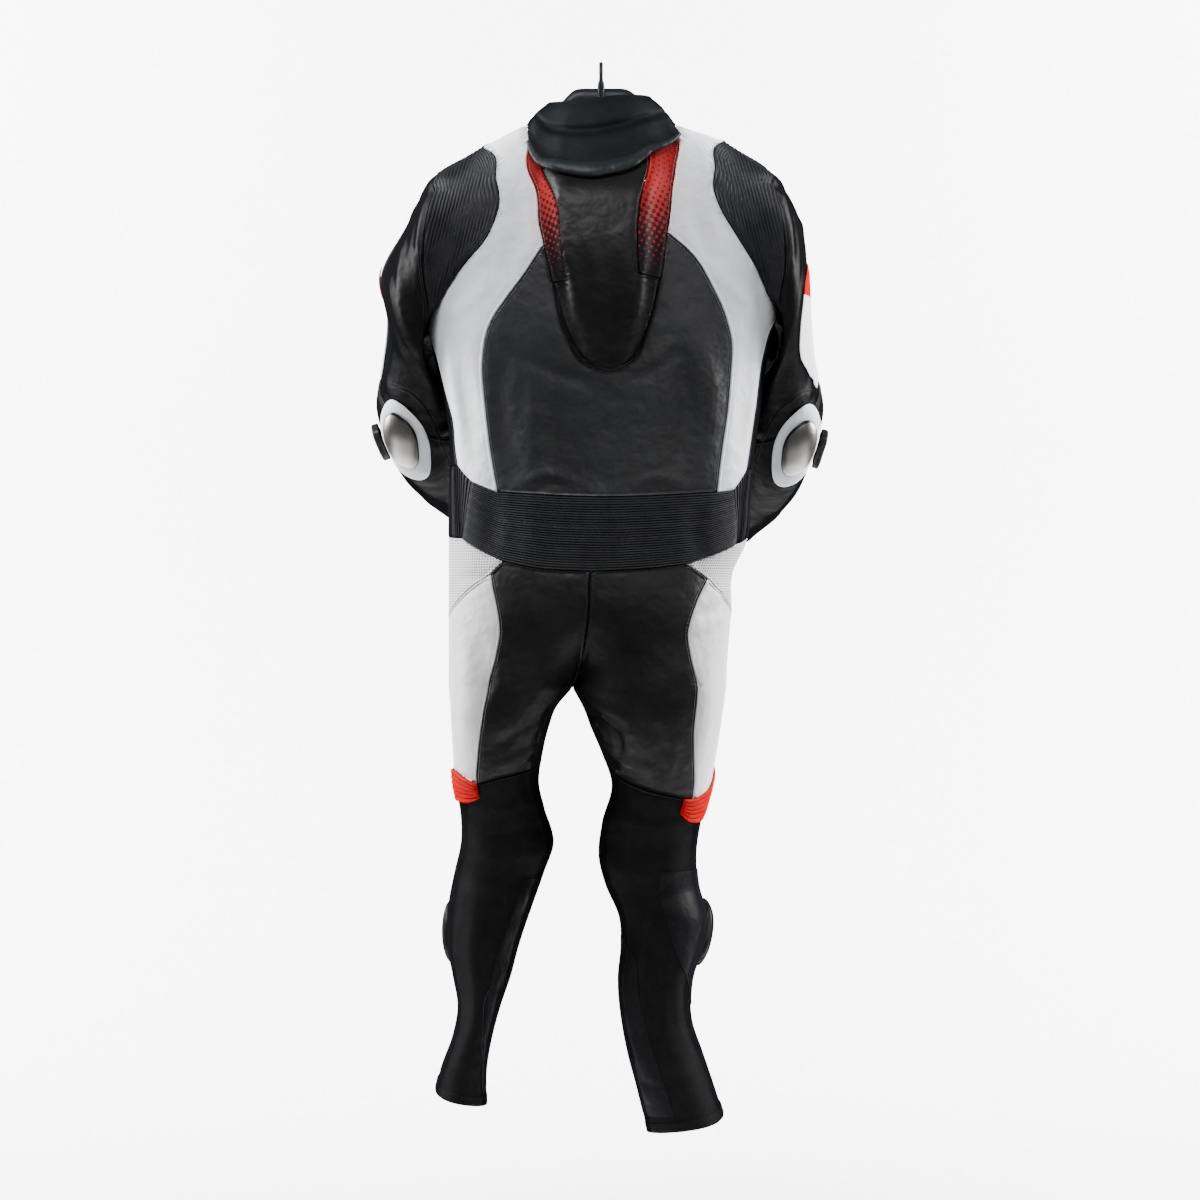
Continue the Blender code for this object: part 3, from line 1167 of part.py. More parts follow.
ZIP_TOP, ZIP_END = 170.0, 640.0
ZIP_HALF_TURN = 4.5
SLIDER_DOWN = 182.0
SLIDER_SIZE = (10.0, 6.0, 15.0)
SLIDER_STAND = 4.6              # from the panels to the slider's back
PULL_SIZE = (7.0, 1.6, 30.0)
PULL_ABOVE = 1.0                # how far the pull reaches above its hinge


def make_zip(finish):
    """Zip tape over the front centre seam, its slider at the top, and the pull that swings on it."""
    turns = 180 + np.linspace(-ZIP_HALF_TURN, ZIP_HALF_TURN, 3)
    downs = np.linspace(ZIP_TOP, ZIP_END, 17)
    patch("zip_tape", "torso", np.stack(np.meshgrid(turns, downs), axis=2), 1.0, 1.6, False,
          finish["fabric_black"])
    place = torso(np.array(((180.0, SLIDER_DOWN),)))[0]
    slider = place + (0, SLIDER_STAND + SLIDER_SIZE[1] / 2, 0)
    block("zip_slider", slider, SLIDER_SIZE, 1.2, finish["metal_silver"])
    hinge = slider + (0, SLIDER_SIZE[1] / 2 + 0.5 + PULL_SIZE[1] / 2, 3.0)
    pull = block("zip_pull", hinge, PULL_SIZE, 0.5, finish["metal_silver"])
    for vertex in pull.data.vertices:
        vertex.co.z -= (PULL_SIZE[2] / 2 - PULL_ABOVE) * MM
    return hinge


def block(name, centre, size, bevel, finish):
    """Small block with chamfered edges."""
    made = add_object(name, *box_mesh(size), finish)
    made.location = np.asarray(centre) * MM
    chamfer = made.modifiers.new("Bevel", "BEVEL")
    chamfer.width = bevel * MM
    chamfer.segments = 1
    return made


def box_mesh(size):
    half = np.asarray(size) / 2
    corners = [(x * half[0], y * half[1], z * half[2]) for x in (-1, 1) for y in (-1, 1) for z in (-1, 1)]
    faces = [(0, 1, 3, 2), (4, 6, 7, 5), (0, 4, 5, 1), (2, 3, 7, 6), (0, 2, 6, 4), (1, 5, 7, 3)]
    return corners, faces


def main():
    for made in list(bpy.data.objects):
        bpy.data.objects.remove(made)
    finish = make_materials()
    make_torso_seams()
    for side in SIDES:
        make_leg_seams(side)
        make_sleeve_seams(side)
    make_middle_seams()
    join_seam_ends()
    make_torso_panels(finish)
    make_leg_panels(finish)
    make_sleeve_panels(finish)
    make_overlays(finish)
    make_collar(finish["fabric_black"])
    make_nape_roll(finish["leather_black"])
    make_hanger(finish["plastic_black"])
    make_zip(finish)


main()
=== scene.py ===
"""Looks of the motorcycle race suit: fine panels, ribs, seams, stitching, creases and materials.

The suit is hollow and hangs on its hanger. Every panel is rebuilt here as a closed thin shell on the
same three kinds of form as the solids (torso, trouser halves, sleeves) and between the same seam
lines, with finer points, rolled edges at its seams, and creases. Tables are in millimetres and
degrees; "down" is the distance below the hook's bearing point, which is the origin.
"""
import math

import bpy
import numpy as np
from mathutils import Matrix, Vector
from mathutils.geometry import delaunay_2d_cdt

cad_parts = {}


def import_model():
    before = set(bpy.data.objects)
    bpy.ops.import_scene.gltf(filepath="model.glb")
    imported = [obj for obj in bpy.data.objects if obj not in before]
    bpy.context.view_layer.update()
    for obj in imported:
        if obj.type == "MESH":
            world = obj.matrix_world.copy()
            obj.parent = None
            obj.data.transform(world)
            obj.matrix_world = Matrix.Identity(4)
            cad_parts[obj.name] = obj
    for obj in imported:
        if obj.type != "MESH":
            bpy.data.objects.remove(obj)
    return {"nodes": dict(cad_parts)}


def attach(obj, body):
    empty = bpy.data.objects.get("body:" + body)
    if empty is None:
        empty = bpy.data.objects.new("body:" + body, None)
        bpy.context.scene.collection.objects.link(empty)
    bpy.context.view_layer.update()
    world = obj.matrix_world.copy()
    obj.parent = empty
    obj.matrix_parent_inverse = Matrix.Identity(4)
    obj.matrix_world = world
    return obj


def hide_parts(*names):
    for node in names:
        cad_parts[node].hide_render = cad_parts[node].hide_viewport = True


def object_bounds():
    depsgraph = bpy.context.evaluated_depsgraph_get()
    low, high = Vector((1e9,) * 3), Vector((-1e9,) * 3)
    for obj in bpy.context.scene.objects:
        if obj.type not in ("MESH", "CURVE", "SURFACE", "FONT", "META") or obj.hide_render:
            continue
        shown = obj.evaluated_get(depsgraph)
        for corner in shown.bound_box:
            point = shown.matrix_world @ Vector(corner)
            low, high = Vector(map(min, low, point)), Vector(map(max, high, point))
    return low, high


FINE = 6                        # steps here for each step of a seam line of the solids
SPACING = 6.5                   # distance between the points inside a panel
EDGE_ROWS = ((0.9, 0.0), (2.0, 0.6), (3.6, -0.5), (5.6, 0.0))     # distance from a seam, height there
EDGE_POINT_GAP = 2.4            # least distance between the points of an edge row
EDGE_CLEAR = 0.86               # share of its row's distance that an edge point keeps from every seam
INSIDE_CLEAR = 0.4              # share of the spacing that inside points keep from the edge rows
ROW_STEP = 0.87                 # distance between the rows of inside points, as a share of the spacing
INNER_ROLL = 0.3                # share of an edge's roll that a wall's inner face takes
MITRE_LEAST = 0.35              # least share by which a corner of a rim is moved in along its middle
SEAM_DEPTH = 1.0                # how far a panel's edge rolls down at its seam
PATCH_ROLL = 0.6                # how far the edge of what lies on a panel rolls down
SHARP_EDGE = 55.0               # faces that meet at more degrees than this keep a sharp edge
MM = 0.001                      # metres in a millimetre
SIDES = {"L": -1, "R": 1}       # sign of X on each side

LEATHER = 1.8                   # wall thickness of a leather panel
FABRIC = 1.2                    # wall thickness of the plain stretch fabric inside the legs
STRETCH = 2.0                   # wall thickness of a ribbed stretch panel, without its ribs
NEOPRENE = 3.0                  # wall thickness of the soft collar
SEAM_GAP = 0.36                 # clear gap between neighbouring panels
BOXY = 0.12                     # how much squarer than an ellipse the body's rings are

# Torso rings: down, left edge, right edge, half depth behind, half depth in front
TORSO = np.array((
    (82, -100, 101, 72, 72),
    (92, -124, 132, 76, 76),
    (101, -141, 160, 80, 80),
    (112, -161, 180, 84, 83),
    (124, -181, 198, 88, 86),
    (137, -203, 218, 92, 89),
    (156, -231, 242, 97, 93),
    (180, -244, 251, 103, 97),
    (210, -248, 255, 108, 101),
    (250, -246, 252, 114, 107),
    (300, -241, 247, 119, 113),
    (342, -238, 241, 121, 117),
    (370, -235, 236, 121, 118),
    (410, -227, 227, 117, 118),
    (470, -213, 219, 108, 114),
    (535, -207, 210, 99, 108),
    (590, -208, 205, 96, 104),
    (657, -209, 198, 104, 106),
    (694, -209, 181, 112, 110),
    (750, -209, 180, 121, 112),
    (852, -209, 172, 118, 108),
), float)

# Aero hump behind the shoulders: down, middle, half width, height above the back
HUMP = np.array((
    (82, 3, 100, 2),
    (115, 4, 98, 6),
    (150, 4, 94, 16),
    (180, 4, 91, 37),
    (220, 3, 87, 47),
    (254, 5, 84, 50),
    (300, 7, 74, 46),
    (350, 8, 62, 33),
    (390, 9, 46, 14),
    (424, 10, 20, 0),
), float)
HUMP_FLANK = 0.36               # share of the hump's half width that its sloping flank takes

# Trouser rings: down, inner edge, outer edge, forward offset, half depth
LEGS = {
    "L": np.array((
        (852, -39, -209, 0, 108),
        (880, -62, -207, 8, 107),
        (904, -71, -206, 16, 105),
        (945, -81, -204, 32, 101),
        (986, -86, -202, 50, 96),
        (1020, -79, -196, 66, 91),
        (1069, -66, -195, 84, 87),
        (1110, -79, -204, 92, 84),
        (1151, -94, -212, 92, 82),
        (1213, -115, -214, 84, 76),
        (1254, -126, -206, 74, 71),
        (1295, -140, -199, 62, 66),
        (1336, -151, -206, 50, 62),
        (1377, -158, -221, 40, 60),
        (1432, -158, -233, 30, 60),
    ), float),
    "R": np.array((
        (852, -39, 172, 0, 108),
        (880, -24, 168, 8, 107),
        (904, -15, 165, 16, 105),
        (945, 2, 159, 32, 101),
        (986, 15, 152, 50, 96),
        (1040, 2, 139, 72, 90),
        (1089, -3, 133, 88, 86),
        (1130, 7, 136, 93, 83),
        (1172, 25, 147, 90, 80),
        (1213, 28, 142, 84, 76),
        (1254, 24, 128, 74, 71),
        (1316, 29, 127, 57, 64),
        (1357, 37, 141, 46, 61),
        (1398, 48, 155, 36, 60),
        (1470, 66, 178, 26, 60),
    ), float),
}
FORK_TOP = 694.0                # down to where the body starts to divide into two legs
FORK = 852.0                    # down to the crotch
FORK_RUN = 220.0                # length of the seat seam between the two
FORK_EVEN = 0.35                # share of the seat seam's drop that is spread evenly along it
CROTCH_RUN = FORK_TOP + FORK_RUN
FORK_BEND, FORK_SOFT = 3.6, 50.0        # the bend of the back of the leg at the crotch is rounded here
FORK_BLEND = 60.0               # how far below the crotch the outer side still takes the body's form
FORK_NEAR = 0.1                 # sine of the leg angle beyond which the crotch has no effect

# Sleeve rings after the armhole: outer x, y, down; inner x, y, down; half depth behind, in front; tilt
SLEEVES = {
    "L": np.array((
        (-205, 0, 139, -236, 50, 388, 100, 66, 0),
        (-243, 0, 174, -241, 54, 398, 106, 74, 4),
        (-268, 2, 222, -237, 60, 410, 108, 80, 9),
        (-302, 10, 288, -224, 72, 424, 103, 80, 15),
        (-293, 34, 346, -210, 86, 442, 93, 76, 21),
        (-300, 58, 404, -200, 100, 470, 80, 70, 27),
        (-312, 78, 462, -196, 112, 496, 68, 64, 35),
        (-299, 98, 505, -198, 125, 524, 59, 60, 46),
        (-282, 136, 534, -191, 146, 540, 53, 55, 60),
        (-256, 186, 562, -173, 190, 557, 49, 51, 68),
        (-231, 232, 584, -156, 232, 577, 45, 46, 70),
        (-217, 258, 596, -148, 257, 589, 43, 43, 70),
    ), float),
    "R": np.array((
        (212, 0, 133, 243, 50, 372, 100, 66, 0),
        (252, 0, 170, 248, 54, 383, 106, 74, 4),
        (276, 2, 222, 244, 60, 397, 108, 79, 9),
        (284, 10, 286, 232, 72, 414, 103, 84, 15),
        (288, 36, 348, 216, 86, 436, 93, 80, 21),
        (295, 60, 408, 207, 100, 470, 80, 70, 27),
        (309, 78, 466, 203, 113, 502, 68, 64, 35),
        (297, 98, 514, 204, 125, 534, 59, 60, 46),
        (284, 134, 552, 199, 146, 552, 54, 55, 60),
        (262, 180, 582, 185, 190, 575, 49, 51, 68),
        (239, 226, 606, 167, 232, 596, 45, 46, 70),
        (225, 252, 619, 156, 257, 609, 43, 43, 70),
    ), float),
}
SLEEVE_STEPS = len(SLEEVES["L"])
SLEEVE_CLEARANCE = 5.0          # clear space kept between the hanging sleeve and the torso
UNDERARM_STUB = ((13.0, 14.0, 1.0), (18.0, 32.0, 0.6))     # out, down and share, on the first two rings
UNDERARM_SINE = 0.3             # sine of the sleeve angle below which the stub shapes a ring
ELBOW_STEP = 6.6                # ring at which the elbow seam lies

# Seam lines of the back, as (across, down) points on each side
WHITE_INNER_TOP = {
    "L": ((-96, 115), (-88, 180), (-84, 225), (-78, 254)),
    "R": ((104, 104), (101, 150), (95, 200), (90, 237)),
}
WHITE_INNER_LOW = {
    "L": ((-78, 254), (-103, 292), (-130, 328), (-151, 361), (-160, 400), (-158, 466), (-151, 527),
          (-141, 587)),
    "R": ((90, 237), (125, 268), (151, 310), (170, 352), (178, 390), (174, 458), (165, 527),
          (158, 587)),
}
ARMHOLE_POINTS = {
    "L": ((-143, 156), (-137, 191), (-142, 215), (-158, 248), (-182, 275), (-207, 307), (-225, 337)),
    "R": ((154, 136), (152, 165), (160, 200), (186, 244), (211, 283), (226, 314)),
}
ARMHOLE_TOP = {"L": 106.0, "R": 101.0}
ARMHOLE_FRONT = {
    "L": ((-138, 150), (-138, 200), (-146, 250), (-160, 300), (-186, 345)),
    "R": ((148, 142), (146, 190), (153, 240), (168, 288), (194, 330)),
}
ARMPIT = {"L": 359.0, "R": 342.0}
UNDERARM = {"L": (112.0, 375.0), "R": (112.0, 358.0)}      # torso angle and down of the sleeve's seam
WHITE_OUTER_LOW = {
    "L": ((-226, 396), (-210, 458), (-202, 490), (-199, 525), (-196, 549)),
    "R": ((229, 369), (219, 410), (211, 472), (202, 535), (199, 555)),
}
WAIST_CORNER = {"L": (-176, 572), "R": (181, 583)}
WAIST_INNER = {"L": (-141, 587), "R": (158, 587)}
WAIST = (WAIST_INNER["L"], (-8, 594), WAIST_INNER["R"])
INSERT_TOP = {"L": (-78, 139), "R": (64, 126)}
INSERT_INNER = {
    "L": ((-78, 139), (-62, 196), (-55, 247), (-49, 306)),
    "R": ((64, 126), (60, 165), (50, 224), (49, 255), (51, 298)),
}
INSERT_BOTTOM = {"L": (-66, 306), "R": (81, 300)}
HUMP_POINT = ((-66, 306), (-49, 373), (-24, 412), (10, 424), (44, 408), (63, 369), (81, 300))
NAPE = ((-78, 139), (-42, 151), (-10, 155), (26, 148), (64, 126))
NECK_SIDE = {"L": (-100, 98), "R": (104, 92)}
NECK_FRONT = ((100, 94), (95, 112), (78, 136), (42, 158))
LUMBAR_TIP = {"L": (-132, 680), "R": (115, 684)}
LUMBAR_LOW = {"L": (-85, 690), "R": (51, 691)}
LUMBAR_END = {"L": (-189, 649), "R": (184, 657)}

# Seam lines of the legs behind, as (across, down) points on each side
MESH_TIP = {"L": (-150, 698), "R": (145, 704)}
MESH_LOW = {"L": ((-180, 719), (-203, 744)), "R": ((163, 724), (178, 746))}
THIGH_SEAM = {
    "L": ((-150, 698), (-143, 733), (-137, 770), (-141, 803), (-151, 838), (-159, 882), (-166, 932),
          (-170, 984)),
    "R": ((145, 704), (130, 735), (119, 770), (122, 809), (129, 838), (130, 868), (126, 922),
          (125, 1006)),
}
THIGH_FOOT = {"L": (-198, 968), "R": (147, 994)}
SEAT_FOOT = {"L": ((-170, 984), (-125, 972)), "R": ((125, 1006), (70, 995))}
SEAT_FOOT_INNER = {"L": 957.0, "R": 955.0}
HEM = {"L": (1429.0, 1422.0, 1402.0, 1408.0), "R": (1466.0, 1458.0, 1436.0, 1444.0)}

NECK_RIDGE = 82.0               # down to the neck seam at the shoulder ridge
CENTRE_TOP, CENTRE_FOOT = 165.0, 652.0  # down to both ends of the front centre seam
SIDE_MIDDLE = 95.0              # torso angle of a place on the side panels' top and foot
SIDE_TOP = (552.0, 558.0)       # down to the side panels' top there, and at their front edge
SIDE_FRONT = 115.0              # torso angle of the side panels' front edge
OUTER_FRONT = 2 * SIDE_FRONT - 90       # the same place as a leg angle
SHIN_EDGE = 105.0               # leg angle of the seam between calf and shin
INNER_SEAM = 225.0              # leg angle of the inner-leg panel's front edge
WAIST_FRONT = 646.0             # down to the front waist seam
MESH_FRONT = 760.0              # down to the foot of the hip panels in front
GUSSET_TOP = 790.0              # down to the top of the inner-leg panels
GUSSET = ((INNER_SEAM, 900.0), (244.0, 845.0), (270.0, GUSSET_TOP))   # their front edge: (angle, down)
KNEE_DROP = {"outer": 10, "front": 22, "inner": 30}     # how far the knee's seams lie below the inner knee
CAP_SPLIT = -40.0               # sleeve angle at which the shoulder's ribbed panel ends
CAP_EDGE = ((90.0, 0.95), (70.0, 1.25), (45.0, 1.6), (20.0, 1.9), (0.0, 2.05), (-24.0, 1.9))
CAP_FOOT = ((CAP_SPLIT, 0.0), (-34.0, 0.9), CAP_EDGE[-1])   # (sleeve angle, ring step) spots

# Ribbed stretch panels. The first three are the counts of the solids' ribs
LUMBAR_RIBS = 15
SIDE_RIBS = 14
ARM_RIBS = 9
ARM_STEPS = 7                   # steps along each rib of the shoulder panel
SIDE_STEPS = 5                  # steps along each rib of the side panel
RIB_HEIGHT = 1.8
RIB_END = 0.3                   # share of the height left where a rib is sewn in
RIB_NEAR_END = 0.85             # and at the next point
RIB_SINK = (0.6, 0.4)           # how far a panel's first and last ribs, and its ribs' ends, sink at the seam
RIB_POWER = 2.4                 # how square a rib's section is
WAIST_RIBS = 29                 # fine ribs of the lumbar panel, about two to each rib of its solid
SIDE_RIB_HEIGHT = 0.8
SIDE_RIB_PITCH = 4.2            # pitch of the fine ribs in the side panels' bump
SHOULDER_RIB_HEIGHT = 2.2
SHOULDER_RIB_PITCH = 4.6
SHOULDER_RIB_LEAN = -0.26       # how far a rib moves outward for each unit down
SHOULDER_RIB_POWER = 3.0


# ---------------------------------------------------------------- curves and forms

def through(keys, values, at):
    """Smooth curve through a table of values, read at any places."""
    at = np.clip(at, keys[0], keys[-1])
    slope = np.gradient(values, keys, axis=0)
    low = np.clip(np.searchsorted(keys, at, side="right") - 1, 0, len(keys) - 2)
    step = (keys[low + 1] - keys[low])[:, None]
    part = (at[:, None] - keys[low][:, None]) / step
    return hermite(values[low], values[low + 1], slope[low] * step, slope[low + 1] * step, part)


def hermite(start, end, start_slope, end_slope, part):
    """Point on a cubic between two values with given slopes."""
    square, cube = part ** 2, part ** 3
    return (start * (2 * cube - 3 * square + 1) + end * (3 * square - 2 * cube)
            + start_slope * (cube - 2 * square + part) + end_slope * (cube - square))


def unit(vectors):
    return vectors / np.maximum(np.linalg.norm(vectors, axis=-1, keepdims=True), 1e-9)


def smooth_step(value):
    value = np.clip(value, 0.0, 1.0)
    return value * value * (3 - 2 * value)


def boxed(first, second):
    """Sine-like value of a ring that is squarer than an ellipse."""
    return first * (1 + BOXY * second ** 2)


def hump_height(across, down):
    """Height of the aero hump above the back."""
    middle, half, height = through(HUMP[:, 0], HUMP[:, 1:], down).T
    inside = 1 - np.abs(across - middle) / np.maximum(half, 1.0)
    return height * smooth_step(inside / HUMP_FLANK)


def torso(spots):
    """Points of the torso at (angle, down); angle 0 is the middle of the back, 90 the right side."""
    turn = np.radians(spots[:, 0])
    down = spots[:, 1]
    left, right, behind, before = through(TORSO[:, 0], TORSO[:, 1:], down).T
    sine, cosine = np.sin(turn), np.cos(turn)
    across = (left + right) / 2 + (right - left) / 2 * boxed(sine, cosine)
    deep = -np.where(cosine > 0, behind, before) * boxed(cosine, sine)
    deep = deep - np.where(cosine > 0, hump_height(across, down), 0.0)
    return np.stack((across, deep, -down), axis=1)


def fork_share(run):
    return np.clip((run - FORK_TOP) / FORK_RUN, 0.0, 1.0)


def down_of(run):
    """Height of a place that lies this far along the seat seam and the leg."""
    share = fork_share(run)
    inside = (FORK - FORK_TOP) * (FORK_EVEN * share + (1 - FORK_EVEN) * np.sin(share * math.pi / 2))
    return np.minimum(run, FORK_TOP) + inside + np.maximum(run - CROTCH_RUN, 0.0)


def run_of(down):
    """The reverse of down_of."""
    runs = np.linspace(FORK_TOP, CROTCH_RUN, 200)
    inside = np.interp(down, down_of(runs), runs)
    return np.where(down < FORK_TOP, down, np.where(down > FORK, down + CROTCH_RUN - FORK, inside))


def leg(side):
    """Form of one trouser half at (angle, run): angle -90 inner, 0 behind, 90 outer, 180 in front."""
    def form(spots):
        turn = np.radians(spots[:, 0])
        run = spots[:, 1]
        down = down_of(run)
        body_turn = SIDES[side] * (spots[:, 0] + 90) / 2
        body = torso(np.stack((body_turn, down), axis=1))
        inner, outer, forward, depth = through(LEGS[side][:, 0], LEGS[side][:, 1:], down).T
        forward = forward + FORK_BEND * np.clip(1 - np.abs(down - FORK) / FORK_SOFT, 0, 1) ** 2
        sine, cosine = np.sin(turn), np.cos(turn)
        across = (inner + outer) / 2 + (outer - inner) / 2 * boxed(sine, cosine)
        deep = forward - depth * boxed(cosine, sine)
        ring = np.stack((across, deep, -down), axis=1)
        tight = 1 - np.cos(fork_share(run) * math.pi / 2)
        gentle = smooth_step((down - FORK_TOP) / (FORK - FORK_TOP + FORK_BLEND))
        near_crotch = smooth_step((FORK_NEAR - sine) / (FORK_NEAR + 1))
        share = (gentle + (tight - gentle) * near_crotch)[:, None]
        return body * (1 - share) + ring * share
    return form


def sleeve(side):
    """Form of one sleeve at (angle, step): angle 90 outer, 0 behind, -90 under the arm, 180 in front."""
    rings = SLEEVES[side]
    outer = rings[:, 0:3] * (1, 1, -1)
    inner = rings[:, 3:6] * (1, 1, -1)
    middle = (outer + inner) / 2
    reach = (outer - inner) / 2
    tilt = np.radians(rings[:, 8])
    back = np.stack((np.zeros_like(tilt), -np.cos(tilt), -np.sin(tilt)), axis=1)
    sideways = unit(reach)
    back = unit(back - sideways * np.sum(back * sideways, axis=1)[:, None])

    def form(spots):
        turn = np.radians(spots[:, 0])
        sine, cosine = np.sin(turn)[None, :, None], np.cos(turn)[None, :, None]
        depth = np.where(cosine > 0, rings[:, 6][:, None, None], rings[:, 7][:, None, None])
        rounds = (middle[:, None] + reach[:, None] * boxed(sine, cosine)
                  + back[:, None] * depth * boxed(cosine, sine))
        start = torso(armhole(side, spots[:, 0]))
        low = smooth_step((UNDERARM_SINE - np.sin(turn)) / (1 + UNDERARM_SINE))[:, None]
        for number, (out, down, share) in enumerate(UNDERARM_STUB):
            stub = start + (SIDES[side] * out, 0, -down)
            rounds[number] += (stub - rounds[number]) * low * share
        rounds = np.concatenate((start[None], rounds))
        slopes = np.gradient(rounds, axis=0)
        step = np.clip(spots[:, 1], 0.0, SLEEVE_STEPS)
        low = np.minimum(step.astype(int), SLEEVE_STEPS - 1)
        each = np.arange(len(step))
        points = hermite(rounds[low, each], rounds[low + 1, each], slopes[low, each],
                         slopes[low + 1, each], (step - low)[:, None])
        return outside_torso(points, SLEEVE_CLEARANCE * smooth_step(step / 3))
    return form


def outside_torso(points, margin):
    """Points pushed out of the torso, so that a hanging sleeve lies beside it."""
    left, right, behind, before = through(TORSO[:, 0], TORSO[:, 1:], -points[:, 2]).T
    middle, half = (left + right) / 2, (right - left) / 2
    depth = np.where(points[:, 1] < 0, behind, before)
    across = (points[:, 0] - middle) / (half + margin)
    deep = points[:, 1] / (depth + margin)
    reach = np.hypot(across, deep)
    limit = 1 + BOXY / 2 * np.sin(2 * np.arctan2(across, deep)) ** 2
    grow = np.where(margin > 0, np.maximum(limit / np.maximum(reach, 0.05), 1.0), 1.0)
    grow = 1 + (grow - 1) * smooth_step(margin / SLEEVE_CLEARANCE * 4)
    moved = points.copy()
    moved[:, 0] = middle + (points[:, 0] - middle) * grow
    moved[:, 1] = points[:, 1] * grow
    return moved


# ---------------------------------------------------------------- places on the forms

def behind(across, down):
    """Torso spot on the back at this distance across."""
    left, right = through(TORSO[:, 0], TORSO[:, 1:3], np.array([float(down)]))[0]
    turns = np.linspace(-90, 90, 721)
    radians = np.radians(turns)
    share = (across - (left + right) / 2) / ((right - left) / 2)
    return float(np.interp(share, boxed(np.sin(radians), np.cos(radians)), turns)), float(down)


def all_behind(places):
    return [behind(*place) for place in places]


def before(across, down):
    """Torso spot on the front at this distance across."""
    turn, down = behind(across, down)
    return math.copysign(180, turn) - turn, down


def leg_behind(side, across, down):
    """Leg spot on the back at this distance across."""
    run = float(run_of(np.array([float(down)]))[0])
    turns = np.linspace(-90, 90, 361)
    found = leg(side)(np.stack((turns, np.full_like(turns, run)), axis=1))[:, 0]
    return float(np.interp(SIDES[side] * across, SIDES[side] * found, turns)), run


def leg_at(turn, down):
    return turn, float(run_of(np.array([float(down)]))[0])


def spot_line(spots, shares, scale):
    """Spots at given shares of the length of a smooth line through the given spots."""
    spots = np.array(spots, float)
    lengths = np.linalg.norm(np.diff(spots * scale, axis=0), axis=1)
    keys = np.concatenate(((0.0,), np.cumsum(lengths)))
    if len(spots) == 2:
        return spots[0] + (spots[1] - spots[0]) * np.asarray(shares)[:, None]
    return through(keys / keys[-1], spots, np.asarray(shares, float))


def armhole_line(side, front):
    """Control spots of the armhole, from the shoulder ridge to the underarm seam."""
    sign = SIDES[side]
    ridge = [(90.0 * sign, ARMHOLE_TOP[side])]
    foot = [(UNDERARM[side][0] * sign, UNDERARM[side][1])]
    if front:
        return ridge + [before(across, down) for across, down in ARMHOLE_FRONT[side]] + foot
    return ridge + all_behind(ARMHOLE_POINTS[side]) + [(90.0 * sign, ARMPIT[side])] + foot


ARMHOLE_LINES = {(side, front): armhole_line(side, front) for side in SIDES for front in (False, True)}
TORSO_SCALE = np.array((2.9, 1.0))      # millimetres for one degree round, and for one down
LEG_SCALE = np.array((1.5, 1.0))
SLEEVE_SCALE = np.array((1.05, 52.0))   # millimetres for one degree round, and for one ring step


def armhole_share(turns):
    """Share of the armhole's length, from the ridge down, at the sleeve's own angles."""
    height = 0.5 * np.sin(np.radians(turns)) + 0.5 * np.where(turns > 90, 180 - turns, turns) / 90
    return np.clip((1 - height) / 2, 0, 1)


def armpit_turn(side):
    """Sleeve angle at which the armhole passes the top of the torso's side seam."""
    line = np.array(ARMHOLE_LINES[side, False]) * TORSO_SCALE
    lengths = np.cumsum(np.linalg.norm(np.diff(line, axis=0), axis=1))
    turns = np.linspace(90, -90, 361)
    return float(np.interp(lengths[-2] / lengths[-1], armhole_share(turns), turns))


def armhole(side, turns):
    """Torso spots of the armhole at the sleeve's own angles."""
    share = armhole_share(turns)
    back = spot_line(ARMHOLE_LINES[side, False], share, TORSO_SCALE)
    front = spot_line(ARMHOLE_LINES[side, True], share, TORSO_SCALE)
    return np.where((turns > 90)[:, None], front, back)


FORMS = {"torso": torso}
SCALES = {"torso": TORSO_SCALE}
OUTWARD = {"torso": -1}         # sign that turns a form's own normal outward
for _side, _sign in SIDES.items():
    FORMS["leg_" + _side] = leg(_side)
    FORMS["sleeve_" + _side] = sleeve(_side)
    SCALES["leg_" + _side] = LEG_SCALE
    SCALES["sleeve_" + _side] = SLEEVE_SCALE
    OUTWARD["leg_" + _side] = -_sign
    OUTWARD["sleeve_" + _side] = -_sign


def moves_over(form, spots, length):
    """Moves on a form for a step round it and a step down it, and the two steps in its own units."""
    small = length / SCALES[form]
    surface = FORMS[form]
    round_it = surface(spots + (small[0], 0)) - surface(spots - (small[0], 0))
    down_it = surface(spots + (0, small[1])) - surface(spots - (0, small[1]))
    return round_it, down_it, 2 * small


def outward(form, spots):
    """Outward unit normals of a form."""
    round_it, down_it, _ = moves_over(form, spots, 1.0)
    return unit(np.cross(round_it, down_it) * OUTWARD[form])


def column(turn, places):
    """Spots at one angle, one for each place down or along the form."""
    return np.stack((np.full_like(places, turn), places), axis=1)


# ---------------------------------------------------------------- seams

SEAMS = {}                      # name: {"at": points, "out": normals, form: spots on that form}


def steps_between(start, end, count):
    return np.linspace(start, end, count * FINE + 1)


def seam(name, count, **lines):
    """Seam with count coarse steps. Each keyword is a form and the control spots of the seam on it."""
    shares = steps_between(0, 1, count)
    store_seam(name, {form: spot_line(spots, shares, SCALES[form]) for form, spots in lines.items()})


def store_seam(name, found):
    """Keep a seam. A form's name with a plus is the same form read one whole turn further."""
    first = next(iter(found))
    normals = sum(outward(form.rstrip("+"), spots) for form, spots in found.items())
    SEAMS[name] = dict(found, at=FORMS[first.rstrip("+")](found[first]), out=unit(normals))


def both(spots, side):
    """The same torso spots for the torso and for the trouser half below it."""
    legs = [(2 * abs(turn) - 90, down) for turn, down in spots]
    return {"torso": spots, "leg_" + side: legs}


